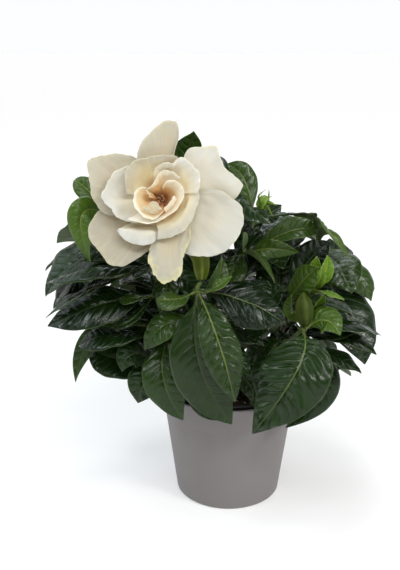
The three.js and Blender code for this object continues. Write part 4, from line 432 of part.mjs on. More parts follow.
// ---------------------------------------------------------------- materials
const standard = (color, roughness, metalness = 0) =>
  new THREE.MeshStandardMaterial({ color, roughness, metalness });
const MATERIAL = {
  pot: () => standard(0x857d7b, 0.6),
  inner: () => standard(0x111213, 0.5),
  soil: () => standard(0x2a1d14, 0.95),
  stem: () => standard(0x4d4a22, 0.7),
  leaf: () => standard(0x1c3a1c, 0.3),
  young: () => standard(0x4f7a22, 0.4),
  petal: () => standard(0xf1ebdc, 0.55),
  inner_petal: () => standard(0xeeddb8, 0.55),
  calyx: () => standard(0x6f9a2e, 0.4),
  tube: () => standard(0xcdd39a, 0.5),
  bud: () => standard(0x5f7a25, 0.45),
};

const YOUNG = ["leaves_g3", "leaves_c3"]; // lighter, younger whorls
const TIGHT = ["leaves_a3", "leaves_b3", "leaves_g2", "leaves_e2"]; // whorls whose feet press on the stem

// ---------------------------------------------------------------- helpers
const wasm = await Module();
wasm.setup();
const V = (a, i = 0) => new THREE.Vector3(a[i], a[i + 1], a[i + 2]);
const group = new THREE.Group();
const add = (name, geometry, material) => {
  const mesh = new THREE.Mesh(geometry, material);
  mesh.name = name;
  group.add(mesh);
  return mesh;
};

// A BufferGeometry from vertices and faces (faces of 3 or 4 corners).
function build(vertices, faces) {
  const index = [];
  for (const f of faces) {
    for (let k = 1; k < f.length - 1; k++) index.push(f[0], f[k], f[k + 1]);
  }
  const g = new THREE.BufferGeometry();
  g.setAttribute("position", new THREE.Float32BufferAttribute(vertices.flatMap((v) => [v.x, v.y, v.z]), 3));
  g.setIndex(index);
  return g;
}

// The solid of a geometry, for joins and cuts.
function solidOf(geometry) {
  const g = geometry.clone();
  g.deleteAttribute("normal");
  g.deleteAttribute("uv");
  const merged = mergeVertices(g, 1e-4);
  return new wasm.Manifold(new wasm.Mesh({
    numProp: 3,
    vertProperties: new Float32Array(merged.attributes.position.array),
    triVerts: new Uint32Array(merged.index.array),
  }));
}
function geometryOf(solid) {
  const mesh = solid.getMesh();
  const g = new THREE.BufferGeometry();
  const p = new Float32Array(mesh.numVert * 3);
  for (let i = 0; i < mesh.numVert; i++) {
    for (let k = 0; k < 3; k++) p[3 * i + k] = mesh.vertProperties[i * mesh.numProp + k];
  }
  g.setAttribute("position", new THREE.BufferAttribute(p, 3));
  g.setIndex(new THREE.BufferAttribute(new Uint32Array(mesh.triVerts), 1));
  return g;
}

// A closed thin solid on both sides of a grid of points.
function sheet(grid, thickness) {
  const nt = grid.length, ns = grid[0].length, top = [], bottom = [];
  for (let i = 0; i < nt; i++) {
    for (let j = 0; j < ns; j++) {
      const dt = grid[Math.min(i + 1, nt - 1)][j].clone().sub(grid[Math.max(i - 1, 0)][j]);
      const ds = grid[i][Math.min(j + 1, ns - 1)].clone().sub(grid[i][Math.max(j - 1, 0)]);
      const n = ds.cross(dt).normalize().multiplyScalar(thickness / 2);
      top.push(grid[i][j].clone().add(n));
      bottom.push(grid[i][j].clone().sub(n));
    }
  }
  const o = nt * ns, id = (i, j) => i * ns + j, faces = [];
  for (let i = 0; i < nt - 1; i++) {
    for (let j = 0; j < ns - 1; j++) {
      const a = id(i, j), b = id(i, j + 1), c = id(i + 1, j + 1), d = id(i + 1, j);
      if ((i + j) % 2) {
        faces.push([a, b, c], [a, c, d], [o + a, o + d, o + c], [o + a, o + c, o + b]);
      } else {
        faces.push([b, c, d], [b, d, a], [o + b, o + a, o + d], [o + b, o + d, o + c]);
      }
    }
  }
  const ring = [];
  for (let j = 0; j < ns; j++) ring.push(id(0, j));
  for (let i = 1; i < nt; i++) ring.push(id(i, ns - 1));
  for (let j = ns - 2; j >= 0; j--) ring.push(id(nt - 1, j));
  for (let i = nt - 2; i > 0; i--) ring.push(id(i, 0));
  ring.forEach((a, k) => {
    const b = ring[(k + 1) % ring.length];
    faces.push([b, a, o + a, o + b]);
  });
  return build([...top, ...bottom], faces);
}

// Catmull-Rom line through points, with the parameter of every sample.
function line(points, step) {
  const A = points.map((p) => V(p)), out = [];
  for (let i = 0; i < A.length - 1; i++) {
    const p1 = A[i], p2 = A[i + 1];
    const p0 = i > 0 ? A[i - 1] : p1.clone().multiplyScalar(2).sub(p2);
    const p3 = i + 2 < A.length ? A[i + 2] : p2.clone().multiplyScalar(2).sub(p1);
    const n = Math.max(1, Math.round(p1.distanceTo(p2) / step));
    for (let k = 0; k < n; k++) {
      const t = k / n, t2 = t * t, t3 = t2 * t;
      const at = (c) => 0.5 * (2 * p1[c] + (p2[c] - p0[c]) * t
        + (2 * p0[c] - 5 * p1[c] + 4 * p2[c] - p3[c]) * t2
        + (3 * p1[c] - p0[c] - 3 * p2[c] + p3[c]) * t3);
      out.push({ p: new THREE.Vector3(at("x"), at("y"), at("z")), u: i + t });
    }
  }
  out.push({ p: A[A.length - 1].clone(), u: A.length - 1 });
  return out;
}

// A capped sweep of a round (or ribbed) section along a line.
function sweep(samples, radius, sides, rib = () => 1) {
  const n = samples.length, vertices = [], faces = [];
  let side = null;
  for (let i = 0; i < n; i++) {
    const tangent = samples[Math.min(i + 1, n - 1)].p.clone().sub(samples[Math.max(i - 1, 0)].p).normalize();
    if (!side) side = new THREE.Vector3(1, 0.13, 0.07).cross(tangent).normalize();
    side.sub(tangent.clone().multiplyScalar(side.dot(tangent))).normalize();
    const other = tangent.clone().cross(side);
    for (let k = 0; k < sides; k++) {
      const a = (2 * Math.PI * k) / sides, r = radius(samples[i], i) * rib(a, samples[i]);
      vertices.push(samples[i].p.clone().addScaledVector(side, r * Math.cos(a)).addScaledVector(other, r * Math.sin(a)));
    }
  }
  for (let i = 0; i < n - 1; i++) {
    for (let k = 0; k < sides; k++) {
      const q = (k + 1) % sides;
      faces.push([i * sides + k, i * sides + q, (i + 1) * sides + q, (i + 1) * sides + k]);
    }
  }
  vertices.push(samples[0].p.clone(), samples[n - 1].p.clone());
  const s = vertices.length - 2, e = vertices.length - 1;
  for (let k = 0; k < sides; k++) {
    const q = (k + 1) % sides;
    faces.push([s, q, k], [e, (n - 1) * sides + k, (n - 1) * sides + q]);
  }
  return build(vertices, faces);
}
const radiusAt = (radii, n) => (s) => {
  const u = (s.u / n) * (radii.length - 1), i = Math.min(Math.floor(u), radii.length - 2);
  return radii[i] + (radii[i + 1] - radii[i]) * (u - i);
};
const lathe = (profile, segments) => {
  const g = new THREE.LatheGeometry(profile.map(([r, z]) => new THREE.Vector2(r, z)), segments);
  g.rotateX(Math.PI / 2); // the lathe axis becomes +Z
  return g;
};

// ---------------------------------------------------------------- cover pot
const outerR = (z) => POT_BASE_R + ((POT_RIM_R - POT_BAND_OUT - POT_BASE_R) * z) / POT_HEIGHT;
const bandZ = POT_HEIGHT - POT_BAND_H;
add("cover_pot", lathe([
  [0, 0], [POT_BASE_R - 1.6, 0], [outerR(1.6), 1.6],
  [outerR(bandZ - 0.8), bandZ - 0.8], [outerR(bandZ) + POT_BAND_OUT, bandZ],
  [POT_RIM_R, POT_HEIGHT - 0.8], [POT_RIM_R - 0.9, POT_HEIGHT],
  [POT_RIM_R - POT_WALL + 0.9, POT_HEIGHT], [POT_RIM_R - POT_WALL, POT_HEIGHT - 0.9],
  [POT_BASE_R - POT_WALL + 1, POT_FLOOR + 1], [POT_BASE_R - POT_WALL - 0.6, POT_FLOOR], [0, POT_FLOOR],
], POT_SEGMENTS), MATERIAL.pot());

// ---------------------------------------------------------------- nursery pot
const innerR = (z) => INNER_BASE_R + ((INNER_RIM_R - 1 - INNER_BASE_R) * (z - INNER_BOTTOM)) / (INNER_TOP - INNER_BOTTOM);
add("nursery_pot", lathe([
  [0, INNER_BOTTOM], [INNER_BASE_R, INNER_BOTTOM], [innerR(INNER_TOP - 3), INNER_TOP - 3],
  [INNER_RIM_R, INNER_TOP - 2.4], [INNER_RIM_R, INNER_TOP], [innerR(INNER_TOP) - INNER_WALL, INNER_TOP],
  [INNER_BASE_R - INNER_WALL, INNER_BOTTOM + INNER_WALL], [0, INNER_BOTTOM + INNER_WALL],
], INNER_SEGMENTS), MATERIAL.inner());

// ---------------------------------------------------------------- potting mix
const mixBottom = INNER_BOTTOM + INNER_WALL + GAP;
let mix = solidOf(lathe([
  [0, mixBottom], [INNER_BASE_R - INNER_WALL - 0.8, mixBottom],
  [innerR(SOIL_TOP - 1) - INNER_WALL - 0.8, SOIL_TOP - 1], [innerR(SOIL_TOP - 1) - INNER_WALL - 2.4, SOIL_TOP - 0.2],
  [20, SOIL_TOP + SOIL_DOME * 0.8], [0, SOIL_TOP + SOIL_DOME],
], SOIL_SEGMENTS));
for (const { crown } of CUTTINGS) {
  const hole = new THREE.CylinderGeometry(CROWN_R + GAP, CROWN_R + GAP, 40, 14);
  hole.rotateX(Math.PI / 2);
  hole.translate(crown[0], crown[1], CROWN_BOTTOM - GAP + 20);
  mix = mix.subtract(solidOf(hole));
}
add("potting_mix", geometryOf(mix), MATERIAL.soil());

// ---------------------------------------------------------------- stems
for (const { name, crown, branches } of CUTTINGS) {
  const trunk = new THREE.CylinderGeometry(CROWN_R * 0.9, CROWN_R, CROWN_TOP - CROWN_BOTTOM, 10);
  trunk.rotateX(Math.PI / 2);
  trunk.translate(crown[0], crown[1], (CROWN_TOP + CROWN_BOTTOM) / 2);
  let wood = solidOf(trunk);
  for (const b of branches) {
    const samples = line(b.points, STEM_STEP), n = b.points.length - 1;
    wood = wood.add(solidOf(sweep(samples, (s) => b.r0 + ((b.r1 - b.r0) * s.u) / n, STEM_SIDES)));
  }
  add(name, geometryOf(wood), MATERIAL.stem());
}

// ---------------------------------------------------------------- leaves
const BLADE_T = [0, 0.04, 0.12, 0.25, 0.4, 0.55, 0.7, 0.83, 0.92, 0.97, 1];
const BLADE_W = [0.05, 0.13, 0.4, 0.74, 0.95, 1, 0.88, 0.6, 0.31, 0.13, 0.02];
const BLADE_M = BLADE_T.map((_, i) => {
  const d = (k) => (BLADE_W[k + 1] - BLADE_W[k]) / (BLADE_T[k + 1] - BLADE_T[k]);
  if (i === 0) return d(0);
  if (i === BLADE_T.length - 1) return d(i - 1);
  const a = d(i - 1), b = d(i);
  return a * b <= 0 ? 0 : (2 * a * b) / (a + b);
});
function bladeWidth(x) {
  let i = 0;
  while (i < BLADE_T.length - 2 && x >= BLADE_T[i + 1]) i++;
  const h = BLADE_T[i + 1] - BLADE_T[i], t = (x - BLADE_T[i]) / h, t2 = t * t, t3 = t2 * t;
  return (2 * t3 - 3 * t2 + 1) * BLADE_W[i] + (t3 - 2 * t2 + t) * h * BLADE_M[i]
    + (3 * t2 - 2 * t3) * BLADE_W[i + 1] + (t3 - t2) * h * BLADE_M[i + 1];
}
const STATIONS = [
  [[0, 0.1, 0.34, 0.66, 1], [-1, 0, 1]],
  [[0, 0.09, 0.24, 0.42, 0.62, 0.82, 1], [-1, 0, 1]],
  [[0, 0.07, 0.18, 0.32, 0.47, 0.62, 0.77, 0.9, 1], [-1, -0.5, 0, 0.5, 1]],
];
function leaf([bezier, W, N0, N1, fold, cup, wave, waves, phase, shape, fine]) {
  const c = [0, 3, 6, 9].map((k) => V(bezier, k)), n0 = V(N0), n1 = V(N1);
  const [ts, ss] = STATIONS[fine];
  const grid = ts.map((t) => {
    const u = 1 - t;
    const p = c[0].clone().multiplyScalar(u * u * u).addScaledVector(c[1], 3 * u * u * t)
      .addScaledVector(c[2], 3 * u * t * t).addScaledVector(c[3], t * t * t);
    const T = c[1].clone().sub(c[0]).multiplyScalar(u * u)
      .addScaledVector(c[2].clone().sub(c[1]), 2 * u * t)
      .addScaledVector(c[3].clone().sub(c[2]), t * t).normalize();
    const N = n0.clone().multiplyScalar(u).addScaledVector(n1, t);
    N.addScaledVector(T, -N.dot(T)).normalize();
    const S = T.clone().cross(N);
    const b = Math.min(1, Math.max(0, (t - PETIOLE) / (1 - PETIOLE)));
    const w = Math.max(W * bladeWidth(Math.pow(b, shape)), t < PETIOLE ? 0.9 : 0.15);
    const grow = Math.min(1, b / 0.12), f = THREE.MathUtils.degToRad(fold) * grow;
    return ss.map((s) => {
      const a = Math.abs(s) * w;
      const across = a * Math.cos(f) * (1 - 0.25 * cup * cup * (a / W) ** 2);
      const ripple = wave * W * grow * s * s * Math.sin(2 * Math.PI * (waves * b + phase + (s > 0 ? 0.37 : 0))) * Math.sin(Math.PI * b);
      const up = a * Math.sin(f) - (cup * grow * a * a) / W + ripple;
      return p.clone().addScaledVector(S, Math.sign(s) * across).addScaledVector(N, up);
    });
  });
  return sheet(grid, LEAF_THICKNESS);
}
for (const { name, p, t, r, leaves } of WHORLS) {
  // the stipule sheath round the stem, which joins the feet of the leaves
  const inner = (r + SHEATH_GAP) / Math.cos(Math.PI / SHEATH_SIDES), outer = inner + SHEATH_WALL;
  const ring = new THREE.LatheGeometry([
    [inner, -SHEATH_HALF], [outer, -SHEATH_HALF], [outer - 0.3, SHEATH_HALF], [inner, SHEATH_HALF], [inner, -SHEATH_HALF],
  ].map(([x, y]) => new THREE.Vector2(x, y)), SHEATH_SIDES);
  ring.applyQuaternion(new THREE.Quaternion().setFromUnitVectors(new THREE.Vector3(0, 1, 0), V(t).normalize()));
  ring.translate(...p);
  let whorl = solidOf(ring);
  for (const l of leaves) whorl = whorl.add(solidOf(leaf(l)));
  if (TIGHT.includes(name)) {
    // leaf feet kept off the stem inside the sheath
    const bore = new THREE.CylinderGeometry(r + SHEATH_GAP - 0.06, r + SHEATH_GAP - 0.06, 9, 12);
    bore.applyQuaternion(new THREE.Quaternion().setFromUnitVectors(new THREE.Vector3(0, 1, 0), V(t).normalize()));
    bore.translate(...p);
    whorl = whorl.subtract(solidOf(bore));
  }
  add(name, geometryOf(whorl), YOUNG.includes(name) ? MATERIAL.young() : MATERIAL.leaf());
}

// ---------------------------------------------------------------- petals
function weights(x, n) {
  const at = x * (n - 1), i = Math.min(Math.floor(at), n - 2), f = at - i, w = new Array(n).fill(0);
  const c = [-0.5 * f ** 3 + f ** 2 - 0.5 * f, 1.5 * f ** 3 - 2.5 * f ** 2 + 1,
    -1.5 * f ** 3 + 2 * f ** 2 + 0.5 * f, 0.5 * f ** 3 - 0.5 * f ** 2];
  c.forEach((value, k) => {
    const j = i + k - 1;
    if (j < 0) { w[0] += 2 * value; w[1] -= value; }
    else if (j > n - 1) { w[n - 1] += 2 * value; w[n - 2] -= value; }
    else w[j] += value;
  });
  return w;
}
for (const { name, thickness, net } of PETALS) {
  const cols = net[0].length / 3, grid = [];
  for (let i = 0; i < PETAL_ROWS; i++) {
    const a = weights(i / (PETAL_ROWS - 1), net.length), row = [];
    for (let j = 0; j < PETAL_COLS; j++) {
      const b = weights(j / (PETAL_COLS - 1), cols), p = new THREE.Vector3();
      net.forEach((line_, r) => {
        for (let k = 0; k < cols; k++) p.addScaledVector(V(line_, 3 * k), a[r] * b[k]);
      });
      row.push(p);
    }
    grid.push(row);
  }
  add(name, sheet(grid, thickness), name.includes("inner") ? MATERIAL.inner_petal() : MATERIAL.petal());
}

// ---------------------------------------------------------------- calyx, corolla tube
{
  const samples = line(CALYX_LINE, 4), n = CALYX_LINE.length - 1;
  const outside = sweep(samples, radiusAt(CALYX_RADII, n), CALYX_SIDES, (a, s) => 1 + 0.09 * Math.cos(CALYX_RIBS * a));
  const tip = V(CALYX_LINE[n]), dir = tip.clone().sub(V(CALYX_LINE[n - 1])).normalize();
  const cup = new THREE.CylinderGeometry(CALYX_RADII[n] - 1.3, 3.4, CUP_DEPTH + 1, 14);
  cup.translate(0, (CUP_DEPTH + 1) / 2 - CUP_DEPTH, 0);
  cup.applyQuaternion(new THREE.Quaternion().setFromUnitVectors(new THREE.Vector3(0, 1, 0), dir));
  cup.translate(tip.x, tip.y, tip.z);
  add("calyx", geometryOf(solidOf(outside).subtract(solidOf(cup))), MATERIAL.calyx());
  const tube = line(TUBE_LINE, 5);
  add("corolla_tube", sweep(tube, radiusAt(TUBE_RADII, TUBE_LINE.length - 1), TUBE_SIDES), MATERIAL.tube());
}

// ---------------------------------------------------------------- buds
add("bud_right", sweep(line(BUD_LINE, 3.5), radiusAt(BUD_RADII, BUD_LINE.length - 1), BUD_SIDES), MATERIAL.bud());
{
  let bud = solidOf(sweep(line(SEPAL_BUD_LINE, 3), radiusAt(SEPAL_BUD_RADII, SEPAL_BUD_LINE.length - 1), 10));
  for (const q of SEPALS) {
    const samples = line(q, 5), n = q.length - 1;
    bud = bud.add(solidOf(sweep(samples, (s) => SEPAL_HALF * (1 - 0.85 * (s.u / n)), 5)));
  }
  add("bud_sepals", geometryOf(bud), MATERIAL.calyx());
}

export default group;
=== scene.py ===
import math
import random

import bpy
import numpy as np
from mathutils import Matrix, Vector


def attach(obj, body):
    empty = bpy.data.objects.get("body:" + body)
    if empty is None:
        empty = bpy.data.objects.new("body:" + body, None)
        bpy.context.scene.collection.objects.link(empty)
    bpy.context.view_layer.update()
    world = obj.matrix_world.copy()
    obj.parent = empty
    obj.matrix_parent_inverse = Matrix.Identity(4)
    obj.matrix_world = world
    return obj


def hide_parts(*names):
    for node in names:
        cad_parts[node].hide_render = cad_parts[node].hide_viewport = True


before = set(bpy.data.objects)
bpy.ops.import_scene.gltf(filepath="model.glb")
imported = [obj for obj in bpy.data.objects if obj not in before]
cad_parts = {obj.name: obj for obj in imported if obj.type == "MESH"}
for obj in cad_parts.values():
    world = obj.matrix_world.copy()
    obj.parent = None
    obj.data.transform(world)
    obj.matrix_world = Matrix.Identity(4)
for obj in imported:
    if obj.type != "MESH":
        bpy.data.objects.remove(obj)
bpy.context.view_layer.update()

# A potted gardenia: dark glossy quilted leaves, one open creamy flower, two buds,
# a nursery pot of potting mix and a matte grey cover pot. Lengths in the tables
# are millimetres in the CAD frame; objects are made in metres.

MM = 0.001

POT_H = 94
POT_RIM_R = 56
POT_BASE_R = 43
POT_BAND_H = 20.5
POT_BAND_OUT = 0.45
INNER_RIM_R = 50.4
INNER_BASE_R = 37
INNER_BOTTOM = 4.3
INNER_TOP = 95.6
SOIL_TOP = 84
SOIL_DOME = 1.6

# cutting: crown x, y, then branches (radius at foot, at tip, points, whorl knots)
CUTTINGS = [
    ("stems_front", (-9, -7), [
        (2.2, 1.7, [(-9, -7, 88), (-13.75, -37.38, 135.84), (-17.37, -45.51, 153.71), (-21.58, -54.98, 170.65), (-25.95, -65.58, 194.12), (-23.16, -65.38, 201.25)], [1, 2, 3, 4]),
        (2.1, 1.2, [(-9, -7, 88), (-42.9, -22.94, 121.51), (-45.27, -37.11, 153.83), (-56.87, -40.7, 183.15), (-53.81, -36.16, 201.39), (-53.74, -35.9, 202.26)], [1, 2, 3, 4]),
        (2.1, 1.2, [(-9, -7, 88), (-30.29, 0.05, 155.66), (-46.15, -1.01, 186.39), (-62.83, -6.23, 217.21), (-44.95, -14.65, 258.09), (-44.8, -14.38, 258.95)], [1, 2, 3, 4]),
    ]),
    ("stems_right", (13, -3), [
        (2.2, 1.5, [(13, -3, 88), (25.07, -28.05, 125.33), (42.8, -40.96, 144.67), (52.96, -52.87, 160.44), (53.72, -53.55, 161.64)], [1, 2, 3]),
        (2, 1.2, [(13, -3, 88), (40.47, -11.03, 139.94), (45.86, -31.56, 175.41), (62.31, -37.18, 184.41), (62.54, -36.95, 185.13)], [1, 2, 3]),
        (2.1, 1.2, [(13, -3, 88), (5.03, -9.4, 152.13), (7.58, -13.63, 182.74), (9.22, -18.66, 210.77), (18.78, -16.46, 238.47), (20.26, -16.16, 241.5)], [1, 2, 3, 4]),
    ]),
    ("stems_back", (-2, 19), [
        (2.1, 1.2, [(-2, 19, 88), (-44, 32, 138), (-66, 38, 182), (-78, 34, 218), (-78.2, 33.9, 219.2)], [1, 2, 3]),
        (2.1, 1.2, [(-2, 19, 88), (-4, 58, 150), (2, 62, 206), (6, 57, 230), (8, 50, 252), (8.1, 49.8, 253.2)], [1, 2, 3, 4]),
        (2.1, 1.2, [(-2, 19, 88), (50, 44, 140), (70, 50, 172), (78, 42, 196), (78.2, 41.9, 197.2)], [1, 2, 3]),
    ]),
]
CROWNS = [(-9, -7), (13, -3), (-2, 19)]
YOUNG = ["leaves_g3", "leaves_c3"]

